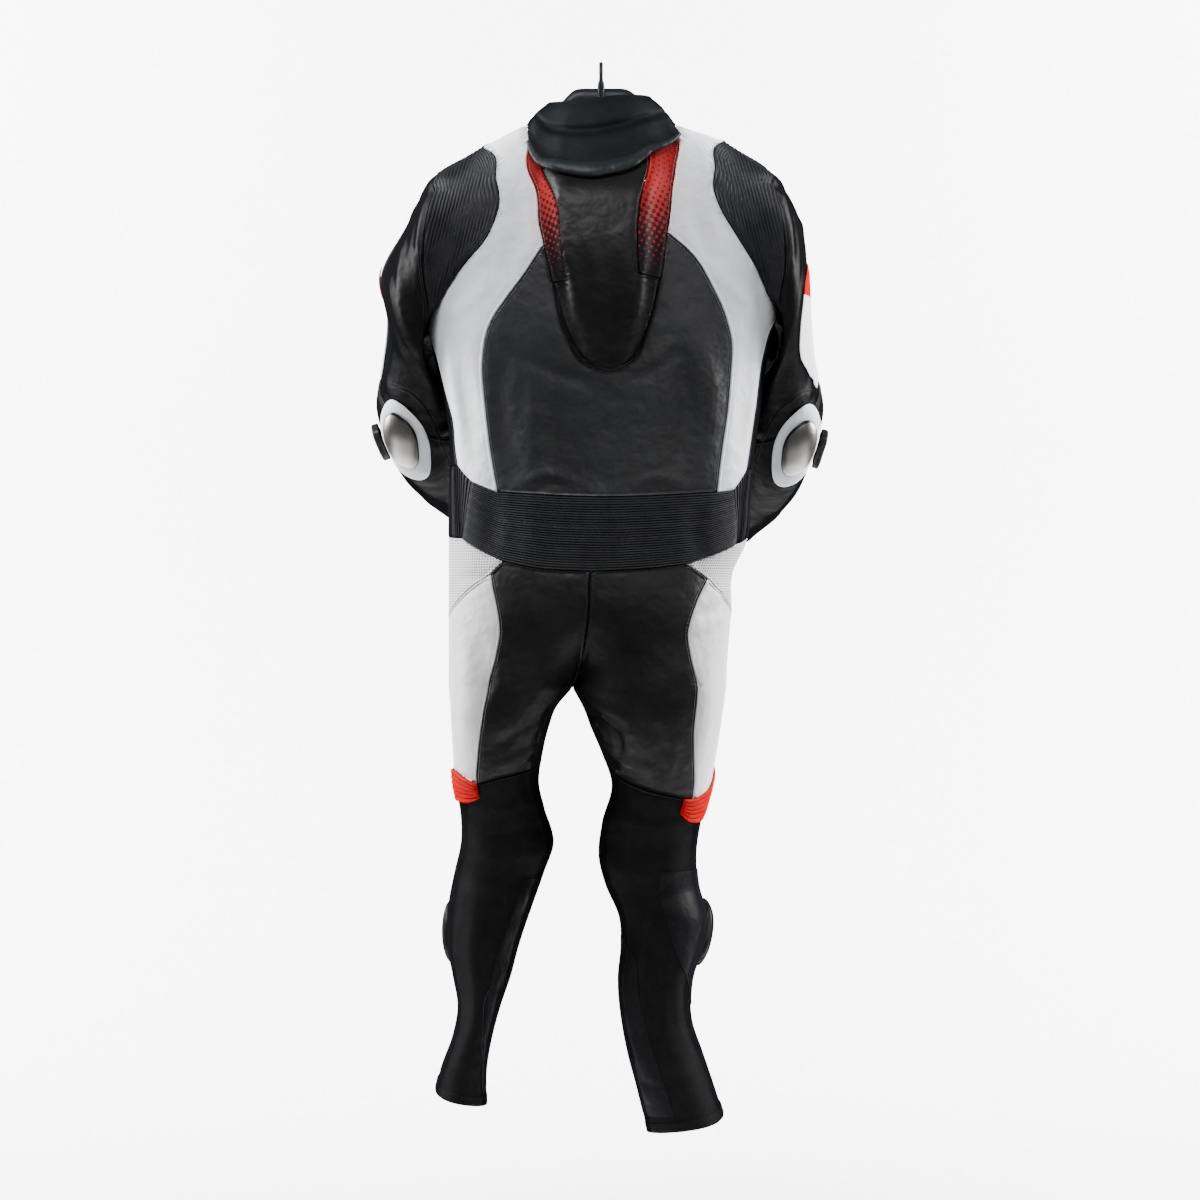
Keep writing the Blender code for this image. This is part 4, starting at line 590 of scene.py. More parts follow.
def make_torso_seams():
    for side, sign in SIDES.items():
        neck_ridge = (90.0 * sign, NECK_RIDGE)
        front_neck = [before(sign * across, down) for across, down in NECK_FRONT]
        white_top, insert = WHITE_INNER_TOP[side], INSERT_INNER[side]
        white_outer = [(90.0 * sign, ARMPIT[side])] + all_behind(WHITE_OUTER_LOW[side])
        corner = behind(*WAIST_CORNER[side])
        for name, count, line in (
                ("ridge_", 2, [neck_ridge, (90.0 * sign, ARMHOLE_TOP[side])]),
                ("neck_side_", 2, [neck_ridge] + all_behind((NECK_SIDE[side], white_top[0]))),
                ("neck_insert_", 1, all_behind((white_top[0], INSERT_TOP[side]))),
                ("neck_front_", 6, [neck_ridge] + front_neck + [(180.0 * sign, CENTRE_TOP)]),
                ("white_top_", 6, all_behind(white_top)),
                ("white_low_", 12, all_behind(WHITE_INNER_LOW[side])),
                ("white_outer_", 8, white_outer),
                ("white_foot_", 1, [white_outer[-1], corner]),
                ("lumbar_corner_", 2, [corner, behind(*WAIST_INNER[side])]),
                ("insert_inner_", 6, all_behind(insert)),
                ("insert_foot_", 1, all_behind((insert[-1], INSERT_BOTTOM[side]))),
                ("insert_outer_", 4, all_behind((white_top[-1], INSERT_BOTTOM[side])))):
            seam(name + side, count, torso=line)
        make_side_seams(side, sign, white_outer[-1], corner)
    for name, count, places in (("nape", 6, NAPE), ("hump_point", 12, HUMP_POINT), ("waist", 6, WAIST)):
        seam(name, count, torso=all_behind(places))
    downs = steps_between(CENTRE_TOP, CENTRE_FOOT, 16)
    store_seam("front_centre", {"torso": column(180.0, downs), "torso+": column(-180.0, downs)})


def make_side_seams(side, sign, stretch_top, corner):
    """Seams round the ribbed side panel and the bottom of the lumbar panel."""
    end = behind(*LUMBAR_END[side])
    front_top, front_foot = (SIDE_FRONT * sign, SIDE_TOP[1]), (SIDE_FRONT * sign, WAIST_FRONT)
    top = [stretch_top, (SIDE_MIDDLE * sign, SIDE_TOP[0]), front_top]
    tip, low = behind(*LUMBAR_TIP[side]), behind(*LUMBAR_LOW[side])
    seam("stretch_top_" + side, SIDE_RIBS * 2 - 1, torso=top)
    seam("stretch_front_" + side, SIDE_STEPS, torso=[front_top, front_foot])
    foot = [front_foot, (SIDE_MIDDLE * sign, WAIST_FRONT), end]
    seam("stretch_foot_" + side, SIDE_RIBS * 2, **both(foot, side))
    seam("lumbar_side_" + side, LUMBAR_RIBS * 2, torso=[corner, end])
    seam("lumbar_end_" + side, 2, **both([end, tip], side))
    seam("lumbar_foot_" + side, 3, **both([tip, low, (0.0, FORK_TOP)], side))
    waist_front = [front_foot, (150.0 * sign, CENTRE_FOOT - 2), (180.0 * sign, CENTRE_FOOT)]
    seam("waist_front_" + side, 5, **both(waist_front, side))


def make_leg_seams(side):
    form = "leg_" + side
    inner_foot, hem = SEAT_FOOT_INNER[side], HEM[side]

    def back(*places):
        return [leg_behind(side, *place) for place in places]

    mesh_front = leg_at(OUTER_FRONT, MESH_FRONT)
    knee_front = leg_at(OUTER_FRONT, inner_foot + KNEE_DROP["front"])
    shin_top = leg_at(SHIN_EDGE, inner_foot + KNEE_DROP["outer"])
    inner_knee = leg_at(INNER_SEAM, inner_foot + KNEE_DROP["inner"])
    knee_back, hem_back = leg_at(-90, inner_foot), leg_at(-90, hem[0])
    hem_corner = leg_at(SHIN_EDGE, hem[2])
    for name, count, line in (
            ("mesh_tip_", 1, back(LUMBAR_TIP[side], MESH_TIP[side])),
            ("mesh_low_", 8, back(MESH_TIP[side], *MESH_LOW[side]) + [mesh_front]),
            ("mesh_front_", 4, [(OUTER_FRONT, WAIST_FRONT), mesh_front]),
            ("thigh_seam_", 10, back(*THIGH_SEAM[side])),
            ("thigh_front_", 7, [mesh_front, knee_front]),
            ("thigh_foot_", 2, back(THIGH_SEAM[side][-1], THIGH_FOOT[side]) + [shin_top]),
            ("thigh_foot_front_", 2, [shin_top, knee_front]),
            ("seat_foot_", 4, back(*SEAT_FOOT[side]) + [knee_back]),
            ("inner_top_", 4, (knee_back[1], CROTCH_RUN)),
            ("knee_front_", 3, [knee_front, (180.0, knee_front[1] + 10), inner_knee]),
            ("knee_inner_", 2, [inner_knee, leg_at(270, inner_foot)]),
            ("gusset_", 12, [inner_knee] + [leg_at(*spot) for spot in GUSSET]),
            ("shin_edge_", 15, [shin_top, hem_corner]),
            ("inner_low_", 16, (knee_back[1], hem_back[1])),
            ("hem_back_", 7, [hem_back, leg_at(0, hem[1]), hem_corner]),
            ("hem_front_", 6, [hem_corner, leg_at(180, hem[3]), leg_at(270, hem[0])])):
        if name in ("inner_top_", "inner_low_"):
            two_faced_seam(name + side, count, form, *line)
        else:
            seam(name + side, count, **{form: line})


def two_faced_seam(name, count, form, start, end):
    """Seam along the inside of a limb, which the back reads at -90 degrees and the front at 270."""
    places = steps_between(start, end, count)
    store_seam(name, {form: column(-90.0, places), form + "+": column(270.0, places)})


def make_middle_seams():
    """Centre seams that both trouser halves share, behind and in front."""
    gusset_run = leg_at(270, GUSSET_TOP)[1]
    for name, turn, start, end, count in (("seat_centre", -90.0, CROTCH_RUN, FORK_TOP, 9),
                                          ("fly", 270.0, CENTRE_FOOT, gusset_run, 6),
                                          ("gusset_centre", 270.0, gusset_run, CROTCH_RUN, 5)):
        spots = column(turn, steps_between(start, end, count))
        store_seam(name, {"leg_L": spots, "leg_R": spots})


def make_sleeve_seams(side):
    form = "sleeve_" + side
    armpit = armpit_turn(side)
    for name, turns in (("armhole_top_", steps_between(90, CAP_SPLIT, ARM_STEPS)),
                        ("armhole_low_", steps_between(CAP_SPLIT, armpit, 2)),
                        ("armhole_under_", steps_between(armpit, -90, 2)),
                        ("armhole_front_", steps_between(90, 270, 12))):
        on_sleeve = np.stack((turns, np.zeros_like(turns)), axis=1)
        store_seam(name + side, {"torso": armhole(side, turns), form: on_sleeve})
    cap = CAP_EDGE[0]
    elbow, cuff = (90.0, ELBOW_STEP), (90.0, SLEEVE_STEPS)
    for name, count, line in (("cap_ridge_", ARM_RIBS * 2, [(90.0, 0.0), cap]),
                              ("cap_edge_", ARM_STEPS, CAP_EDGE),
                              ("cap_foot_", ARM_RIBS * 2, CAP_FOOT),
                              ("arm_ridge_", 10, [cap, elbow]),
                              ("elbow_back_", 7, [elbow, (-90.0, ELBOW_STEP)]),
                              ("elbow_front_", 7, [elbow, (270.0, ELBOW_STEP)]),
                              ("forearm_ridge_", 8, [elbow, cuff]),
                              ("cuff_back_", 6, [cuff, (-90.0, SLEEVE_STEPS)]),
                              ("cuff_front_", 6, [cuff, (270.0, SLEEVE_STEPS)])):
        seam(name + side, count, **{form: line})
    two_faced_seam("underarm_" + side, 9, form, 0.0, ELBOW_STEP)
    two_faced_seam("forearm_under_" + side, 7, form, ELBOW_STEP, SLEEVE_STEPS)


def join_seam_ends():
    """Give seams that end in one place the same point and normal there."""
    ends = {}
    for line in SEAMS.values():
        for index in (0, -1):
            place = tuple(np.round(line["at"][index]).astype(int))
            near = [key for key in ends if max(abs(a - b) for a, b in zip(key, place)) <= 1]
            ends.setdefault(near[0] if near else place, []).append((line, index))
    for group in ends.values():
        point = np.mean([line["at"][index] for line, index in group], axis=0)
        normal = np.sum([line["out"][index] for line, index in group], axis=0)
        for line, index in group:
            line["at"][index] = point
            line["out"][index] = normal / np.linalg.norm(normal)


# ---------------------------------------------------------------- creases

# Largest folds, as in the solids. Form: (half width, height, spots); minus is a trough
FOLDS = {
    "sleeve_L": ((16, 5.0, ((78, 1.35), (60, 1.75), (30, 2.25), (6, 2.6))),
                 (14, -4.2, ((136, 7.2), (180, 7.1), (226, 7.15)))),
    "sleeve_R": ((16, 4.4, ((76, 1.5), (56, 1.9), (28, 2.35), (6, 2.7))),
                 (14, -4.2, ((136, 7.2), (180, 7.1), (226, 7.15)))),
    "leg_L": ((18, -3.6, ((-74, 1128), (-40, 1116), (10, 1122), (54, 1106))),
              (15, 3.2, ((-70, 1092), (-42, 1080), (6, 1086), (50, 1070))),
              (18, 3.4, ((146, 1128), (178, 1138), (214, 1128)))),
    "leg_R": ((18, -3.6, ((-74, 1148), (-42, 1136), (8, 1142), (54, 1128))),
              (15, 3.0, ((-70, 1112), (-44, 1100), (6, 1106), (52, 1092))),
              (18, 3.4, ((146, 1128), (178, 1138), (214, 1128)))),
}

FOLD_WIDTH = 1.25               # the folds' width here, where their points lie closer, to the solids' width
BACK_DEPTH = 1.9                # what the heights of the back's creases are multiplied by
LEG_DEPTH = 1.35                # what those of the legs are multiplied by
CREASE_END = 0.25               # share of its height that a crease keeps at its ends
CREASES = []                    # every crease: half width, height, points of its line

# On the back: half width, height, (across, down) places
BACK_CREASES = (
    (15, -1.6, ((-112, 402), (-62, 427), (-14, 443))),
    (13, -1.2, ((34, 442), (70, 424), (104, 396))),
    (28, 2.4, ((128, 366), (146, 450), (140, 545))),
    (20, -1.6, ((104, 380), (112, 460), (104, 560))),
    (22, -1.8, ((-128, 392), (-136, 470), (-122, 560))),
    (26, 2.0, ((-84, 440), (-92, 510), (-80, 585))),
    (10, 1.4, ((-112, 577), (-74, 562), (-36, 578))),
    (9, -1.2, ((-96, 588), (-60, 575), (-26, 588))),
    (10, 1.3, ((40, 580), (78, 566), (118, 580))),
    (24, -2.0, ((-196, 376), (-184, 450), (-174, 535))),
    (16, 1.2, ((-208, 400), (-196, 470), (-188, 540))),
    (24, -2.0, ((204, 372), (196, 450), (188, 538))),
    (18, -1.4, ((-120, 178), (-112, 236), (-130, 290))),
    (18, -1.4, ((128, 172), (132, 226), (154, 280))),
    (14, 1.2, ((-150, 300), (-178, 330), (-206, 348))),
    (14, 1.1, ((160, 290), (184, 318), (214, 336))),
    (22, -2.0, ((-150, 585), (-146, 630), (-152, 668))),
    (24, 1.8, ((-96, 600), (-92, 640), (-98, 680))),
    (22, -1.6, ((22, 600), (26, 640), (20, 684))),
    (22, -1.8, ((132, 596), (128, 640), (134, 676))),
    (20, -1.3, ((-40, 215), (-30, 290), (-18, 360))),
    (18, 1.0, ((36, 205), (34, 280), (28, 350))),
)
FRONT_CREASES = (               # with (angle, down) spots
    (24, -3.0, ((128, 400), (146, 440), (166, 452))),
    (20, 2.6, ((124, 425), (142, 468), (164, 486))),
    (22, -2.6, ((-128, 392), (-148, 436), (-166, 444))),
    (18, 2.4, ((-122, 430), (-144, 474), (-166, 490))),
    (26, -3.2, ((108, 520), (132, 560), (164, 574))),
    (26, -3.0, ((-110, 516), (-136, 562), (-166, 578))),
    (18, 2.4, ((112, 560), (140, 598), (170, 604))),
    (18, 2.2, ((-112, 562), (-140, 600), (-168, 610))),
    (20, -2.4, ((136, 150), (146, 220), (142, 300))),
    (20, -2.4, ((-136, 150), (-146, 226), (-142, 306))),
    (16, 2.0, ((116, 372), (126, 330), (146, 300))),
    (16, 2.0, ((-116, 380), (-126, 336), (-146, 306))),
)

SLEEVE_CREASES = {              # with (angle, ring step) spots
    "L": (
        (11, -3.4, ((88, 1.75), (62, 2.2), (30, 2.7), (2, 3.0))),
        (12, 3.2, ((92, 2.5), (66, 3.1), (34, 3.5), (6, 3.7))),
        (7, 2.0, ((74, 3.6), (47, 2.85), (19, 1.4))),
        (7, 1.8, ((60, 3.5), (33, 2.6), (11, 1.2))),
        (16, -3.6, ((64, 4.0), (40, 4.25), (25, 4.5), (-11, 4.2))),
        (12, 2.6, ((50, 3.8), (19, 3.65), (-8, 3.7))),
        (12, 2.4, ((44, 4.9), (20, 4.8), (4, 4.5), (-3, 5.2))),
        (12, -2.4, ((-4, 3.0), (0, 4.2), (-8, 5.6))),
        (12, 2.2, ((64, 4.2), (58, 5.2), (62, 6.3))),
        (11, 2.6, ((74, 5.9), (44, 6.2), (8, 5.7))),
        (9, -2.2, ((60, 6.35), (24, 6.1), (-14, 5.7))),
        (13, 3.0, ((-20, 6.4), (-56, 6.0), (-84, 5.5))),
    ),
    "R": (
        (11, -3.2, ((84, 1.9), (58, 2.4), (30, 2.8), (0, 3.1))),
        (10, 2.8, ((56, 0.8), (59, 1.8), (98, 3.25))),
        (12, 2.8, ((88, 2.9), (60, 3.4), (30, 3.7), (4, 3.8))),
        (16, 2.2, ((24, 3.6), (28, 4.6), (24, 5.8))),
        (12, -2.4, ((-2, 3.2), (2, 4.4), (-6, 5.7))),
        (12, -2.2, ((66, 3.8), (56, 4.8), (60, 5.8))),
        (11, 2.6, ((76, 5.8), (46, 6.2), (10, 5.8))),
        (9, -2.0, ((62, 6.3), (28, 6.15), (-10, 5.8))),
        (13, 3.0, ((-20, 6.4), (-56, 6.0), (-84, 5.5))),
    ),
}
ELBOW_CREASES = (               # on both sleeves: in the bend of the elbow and down the forearm
    (11, 3.6, ((136, 7.7), (180, 7.6), (228, 7.65))),
    (11, -3.8, ((132, 8.2), (180, 8.2), (230, 8.15))),
    (10, 3.0, ((138, 8.7), (180, 8.75), (226, 8.65))),
    (11, 3.2, ((140, 6.4), (180, 6.25), (226, 6.35))),
    (12, -3.0, ((138, 5.7), (182, 5.5), (226, 5.6))),
    (14, 2.4, ((150, 4.5), (184, 4.2), (220, 4.4))),
    (14, -2.4, ((150, 3.5), (182, 3.2), (214, 3.3))),
    (16, 2.2, ((160, 1.0), (168, 2.0), (164, 3.0))),
    (10, 1.8, ((20, 9.3), (50, 10.2), (60, 11.4))),
    (10, -1.8, ((-10, 9.4), (16, 10.4), (22, 11.6))),
    (9, 1.6, ((200, 9.6), (190, 10.6), (196, 11.6))),
    (9, -1.6, ((236, 9.2), (226, 10.2), (230, 11.4))),
)

LEG_CREASES = {                 # with (angle, down) spots
    "L": (
        (10, -1.6, ((34, 706), (10, 700), (-20, 708))),
        (24, 3.0, ((42, 760), (38, 830), (40, 920))),
        (20, -2.4, ((16, 780), (12, 850), (14, 930))),
        (12, 2.4, ((-4, 823), (12, 886), (18, 978))),
        (8, 1.4, ((-53, 906), (-50, 884))),
        (15, 3.0, ((-58, 850), (-44, 890), (-40, 950))),
        (12, -2.4, ((-70, 872), (-30, 905), (6, 935))),
        (14, 2.6, ((-76, 900), (-40, 940), (0, 962))),
        (14, -3.0, ((-84, 1058), (-40, 1048), (10, 1054), (50, 1040))),
        (12, 2.6, ((-84, 1018), (-36, 1012), (10, 1020), (44, 1008))),
        (18, 2.2, ((-30, 1150), (-22, 1230), (-30, 1310))),
        (16, -2.0, ((30, 1150), (34, 1240), (24, 1330))),
        (9, -1.6, ((-70, 1330), (-20, 1345), (40, 1335))),
        (10, 1.8, ((-60, 1365), (-10, 1378), (44, 1366))),
    ),
    "R": (
        (11, 2.4, ((14, 742), (32, 728), (48, 716))),
        (9, -1.8, ((10, 756), (34, 744), (52, 736))),
        (10, 1.8, ((16, 776), (36, 762), (50, 756))),
        (24, 2.6, ((44, 790), (42, 860), (46, 940))),
        (14, 3.6, ((-80, 862), (-48, 876), (-22, 900), (-28, 934))),
        (11, -3.0, ((-82, 884), (-52, 900), (-36, 920), (-44, 948))),
        (13, 2.6, ((-78, 918), (-48, 944), (-8, 968))),
        (12, -2.2, ((-60, 962), (-24, 986), (14, 1000))),
        (12, 2.4, ((0, 880), (12, 930), (4, 985))),
        (14, -2.8, ((-84, 1080), (-42, 1068), (8, 1074), (48, 1062))),
        (12, 2.4, ((-84, 1040), (-38, 1034), (10, 1042), (44, 1030))),
        (18, 2.4, ((40, 1180), (36, 1260), (44, 1350))),
        (16, -2.2, ((-8, 1180), (-2, 1270), (-10, 1370))),
        (14, 2.2, ((-52, 1200), (-50, 1290), (-40, 1380))),
        (10, -1.8, ((-60, 1392), (-10, 1402), (40, 1390))),
    ),
}
KNEE_CREASES = (                # on both legs: thigh, knee and shin in front
    (18, -3.4, ((150, 712), (186, 735), (226, 770))),
    (16, 3.0, ((146, 742), (184, 768), (226, 806))),
    (18, -3.0, ((150, 800), (186, 824), (222, 850))),
    (22, 2.6, ((165, 860), (176, 910), (172, 960))),
    (14, 2.4, ((130, 1000), (176, 1016), (226, 1004))),
    (12, -2.4, ((134, 1034), (178, 1046), (224, 1036))),
    (14, -2.4, ((140, 1200), (180, 1212), (220, 1200))),
    (16, 2.2, ((170, 1236), (178, 1290), (172, 1350))),
    (12, -2.0, ((200, 1240), (206, 1310), (200, 1372))),
    (12, -2.0, ((130, 1250), (134, 1310), (128, 1370))),
)


def make_creases():
    """Turn every crease into a line of points on its form."""
    every = [("torso", width, height * BACK_DEPTH, all_behind(places))
             for width, height, places in BACK_CREASES]
    every += [("torso", *crease) for crease in FRONT_CREASES]
    for form, folds in FOLDS.items():
        place = leg_at if form.startswith("leg") else (lambda turn, step: (turn, step))
        every += [(form, half * FOLD_WIDTH, height, [place(*spot) for spot in spots])
                  for half, height, spots in folds]
    for side in SIDES:
        arm, trouser = "sleeve_" + side, "leg_" + side
        every += [(arm, *crease) for crease in SLEEVE_CREASES[side] + ELBOW_CREASES]
        every += [(trouser, width, height * LEG_DEPTH, [leg_at(*spot) for spot in spots])
                  for width, height, spots in LEG_CREASES[side] + KNEE_CREASES]
    for form, width, height, spots in every:
        shares = np.linspace(0, 1, 13)
        CREASES.append((width, height, FORMS[form](spot_line(spots, shares, SCALES[form]))))


def near_line(points, line):
    """Distance of each point from a line of points, and the nearest place as a share of the line."""
    start, edge = line[:-1], np.diff(line, axis=0)
    from_start = points[:, None] - start[None]
    part = np.clip(np.sum(from_start * edge, axis=2) / np.sum(edge * edge, axis=1), 0, 1)
    distance = np.linalg.norm(from_start - part[..., None] * edge, axis=2)
    nearest = distance.argmin(axis=1)
    rows = np.arange(len(points))
    return distance[rows, nearest], (nearest + part[rows, nearest]) / len(edge)


def relief(points):
    """Height of the creases over the plain form at these points."""
    height = np.zeros(len(points))
    for width, top, line in CREASES:
        low, high = line.min(axis=0) - width, line.max(axis=0) + width
        near = np.flatnonzero(np.all((points > low) & (points < high), axis=1))
        if len(near) == 0:
            continue
        distance, share = near_line(points[near], line)
        fall = np.clip(1 - (distance / width) ** 2, 0, 1) ** 2
        swell = np.sin(math.pi * np.clip(share, 0, 1)) ** 0.8
        height[near] += top * fall * (CREASE_END + (1 - CREASE_END) * swell)
    return height


# ---------------------------------------------------------------- shells

def linked(name, data):
    """New object in the scene."""
    made = bpy.data.objects.new(name, data)
    bpy.context.scene.collection.objects.link(made)
    return made


def add_object(name, points, faces, finish, cloth=None):
    """Object from points in millimetres and outward faces. cloth holds flat places for its texture."""
    mesh = bpy.data.meshes.new(name)
    mesh.from_pydata((np.asarray(points) * MM).tolist(), [], faces)
    mesh.materials.append(finish)
    mesh.shade_smooth()
    mesh.set_sharp_from_angle(angle=math.radians(SHARP_EDGE))
    if cloth is not None:
        layer = mesh.uv_layers.new(name="cloth")
        corners = np.zeros(len(mesh.loops), int)
        mesh.loops.foreach_get("vertex_index", corners)
        layer.data.foreach_set("uv", (np.asarray(cloth)[corners] * MM).reshape(-1))
    return linked(name, mesh)


def slide(form, spots, moves):
    """Spots moved along their form by steps that are given in space."""
    round_it, down_it, step = moves_over(form.rstrip("+"), spots, 0.5)
    round_it, down_it = round_it / step[0], down_it / step[1]
    a, b, c = (np.sum(x * y, axis=1) for x, y in ((round_it, round_it), (round_it, down_it),
                                                  (down_it, down_it)))
    p, q = np.sum(round_it * moves, axis=1), np.sum(down_it * moves, axis=1)
    size = np.maximum(a * c - b * b, 1e-6)
    return spots + np.stack(((c * p - b * q) / size, (a * q - b * p) / size), axis=1)


def measure(form, spots):
    """Millimetres for one degree round and for one down, averaged over some spots."""
    round_it, down_it, step = moves_over(form.rstrip("+"), spots, 0.5)
    return np.array([np.linalg.norm(moves, axis=1).mean() for moves in (round_it, down_it)]) / step


def inward(points, normals, closed=True):
    """Directions along the surface, to the left of a line that is walked with the outside up."""
    ahead = unit(np.roll(points, -1, axis=0) - np.roll(points, 1, axis=0))
    if not closed:
        ahead = unit(np.gradient(points, axis=0))
    return unit(np.cross(normals, ahead))


def line_distance(points, line):
    """Distance of points from a closed line, worked out in blocks to spare memory."""
    line = np.concatenate((line, line[:1]))
    blocks = [near_line(block, line)[0] for block in np.array_split(points, len(points) // 400 + 1)]
    return np.concatenate(blocks)


def inside_outline(places, outline):
    start, end = outline, np.roll(outline, -1, axis=0)
    edge = end - start
    crosses = (start[:, 1] > places[:, None, 1]) != (end[:, 1] > places[:, None, 1])
    rise = np.where(edge[:, 1] == 0, 1e-9, edge[:, 1])
    ahead = places[:, None, 0] < start[:, 0] + (places[:, None, 1] - start[:, 1]) / rise * edge[:, 0]
    return np.sum(crosses & ahead, axis=1) % 2 == 1


def lattice(outline, spacing):
    """Evenly spread places inside an outline."""
    low, high = outline.min(axis=0), outline.max(axis=0)
    rows = np.arange(low[1] + spacing / 2, high[1], spacing * ROW_STEP)
    places = np.array([(x + (spacing / 2 if k % 2 else 0), y) for k, y in enumerate(rows)
                       for x in np.arange(low[0], high[0], spacing)]).reshape(-1, 2)
    keep = [inside_outline(block, outline) for block in np.array_split(places, len(places) // 400 + 1)]
    return places[np.concatenate(keep)]


def signed_area(corners):
    ahead = np.roll(corners, -1, axis=0)
    return np.sum(corners[:, 0] * ahead[:, 1] - ahead[:, 0] * corners[:, 1]) / 2


def seam_points(form, names):
    """Spots, points and normals along a chain of seams. A minus reverses a seam, /2 skips every other."""
    rows = []
    for name in names:
        plain, _, skip = name.lstrip("-").partition("/")
        line = SEAMS[plain]
        spots = line[form] if form in line else line[form.rstrip("+")]
        row = np.concatenate((spots, line["at"], line["out"]), axis=1)[::int(skip or 1)]
        rows.append(row[::-1] if name.startswith("-") else row)
    chain = np.concatenate([row[:-1] for row in rows] + [rows[-1][-1:]])
    return chain[:, 0:2], chain[:, 2:5], chain[:, 5:8]


def inset(points, normals, rim):
    """Move the rim points into their panel by half of the seam gap."""
    edge = points[rim]
    ahead = unit(np.roll(edge, -1, axis=0) - edge)
    into_next = unit(np.cross(normals[rim], ahead))
    into_last = unit(np.cross(normals[rim], unit(edge - np.roll(edge, 1, axis=0))))
    middle = unit(into_next + into_last)
    stretch = np.maximum(np.sum(middle * into_next, axis=1), MITRE_LEAST)[:, None]
    moved = points.copy()
    moved[rim] = edge + middle / stretch * SEAM_GAP / 2
    return moved


def shell(name, points, normals, lift, faces, rim, thickness, finish, cloth):
    """Closed thin shell with the creases in both of its faces. The rim runs anticlockwise outside."""
    count = len(points)
    height = relief(points)
    points = inset(points, normals, rim)
    outer = points + normals * (height + lift)[:, None]
    inner = points + normals * (height + np.minimum(lift, 0.0) * INNER_ROLL - thickness)[:, None]
    sides = [(a, a + count, b + count, b) for a, b in zip(rim, np.roll(rim, -1))]
    back = [tuple(v + count for v in reversed(face)) for face in faces]
    every = [tuple(int(v) for v in face) for face in list(faces) + back + sides]
    made = add_object(name, np.concatenate((outer, inner)), every, finish,
                      np.concatenate((cloth, cloth)))
    return made, outer


CUT_SHARE = (0.32, 0.99)        # least and greatest share of its rectangle that a cut piece fills


def cut_size(places):
    """Width and length of the smallest rectangle round flat places."""
    best = None
    for turn in np.radians(np.arange(0, 90, 3)):
        across = places @ (math.cos(turn), math.sin(turn))
        along = places @ (-math.sin(turn), math.cos(turn))
        size = (np.ptp(across), np.ptp(along))
        if best is None or size[0] * size[1] < best[0] * best[1]:
            best = size
    return np.array(best)


def area_of(points, faces):
    total = 0.0
    for face in faces:
        corners = points[list(face)]
        fan = np.cross(corners[1:-1] - corners[0], corners[2:] - corners[0])
        total += np.linalg.norm(fan, axis=1).sum() / 2
    return total


def declare_sheet(outer, faces, cloth):
    """Work out the cut of a cloth piece from its own flat places and its own area; the result is not kept.
    """
    area = area_of(outer, faces)
    size = cut_size(cloth)
    share = area / (size[0] * size[1])
    size *= math.sqrt(share / np.clip(share, *CUT_SHARE))


def finish_piece(made, name, cad=True):
    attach(made, "suit")
    if cad:
        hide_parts(name)


def thinned(points, gap):
    """Numbers of points along a closed line that are at least this far apart."""
    kept = [0]
    for k in range(1, len(points)):
        if np.linalg.norm(points[k] - points[kept[-1]]) >= gap:
            kept.append(k)
    return np.array(kept)


def panel(name, form, loop, thickness, finish):
    """Plain panel inside a closed loop of seams, with rolled edges."""
    plain = form.rstrip("+")
    scale = SCALES[plain]
    spots, points, normals = (rows[:-1] for rows in seam_points(form, loop))
    if signed_area(spots * scale) * OUTWARD[plain] < 0:
        spots, points, normals = spots[::-1], points[::-1], normals[::-1]
    outline = spots * scale
    border = list(range(len(outline)))
    into = inward(points, normals)
    kept = thinned(points, EDGE_POINT_GAP)
    found, lifts = [], [np.full(len(outline), -SEAM_DEPTH)]
    for distance, lift in EDGE_ROWS:
        moved = slide(form, spots[kept], into[kept] * distance)
        clear = line_distance(FORMS[plain](moved), points) > distance * EDGE_CLEAR
        clear &= inside_outline(moved * scale, outline)
        found.append(moved[clear])
        lifts.append(np.full(clear.sum(), lift))
    inside = lattice(outline, SPACING) / scale
    clear = line_distance(FORMS[plain](inside), points) > EDGE_ROWS[-1][0] + SPACING * INSIDE_CLEAR
    found.append(inside[clear])
    lifts.append(np.zeros(clear.sum()))
    inside = np.concatenate(found)
    flat = np.concatenate((outline, inside * scale))
    _, _, triangles, origin, _, _ = delaunay_2d_cdt(flat.tolist(), [], [border], 1, 1e-6)
    points = np.concatenate((points, FORMS[plain](inside)))
    normals = np.concatenate((normals, outward(plain, inside)))
    faces = []
    for triangle in triangles:
        corners = [origin[v][0] for v in triangle]
        turned = signed_area(flat[corners]) * OUTWARD[plain] < 0
        faces.append(tuple(reversed(corners)) if turned else tuple(corners))
    every = np.concatenate((spots, inside))
    cloth = every * measure(plain, every)
    made, outer = shell(name, points, normals, np.concatenate(lifts), faces, border, thickness, finish,
                        cloth)
    finish_piece(made, name)
    declare_sheet(outer, faces, cloth)


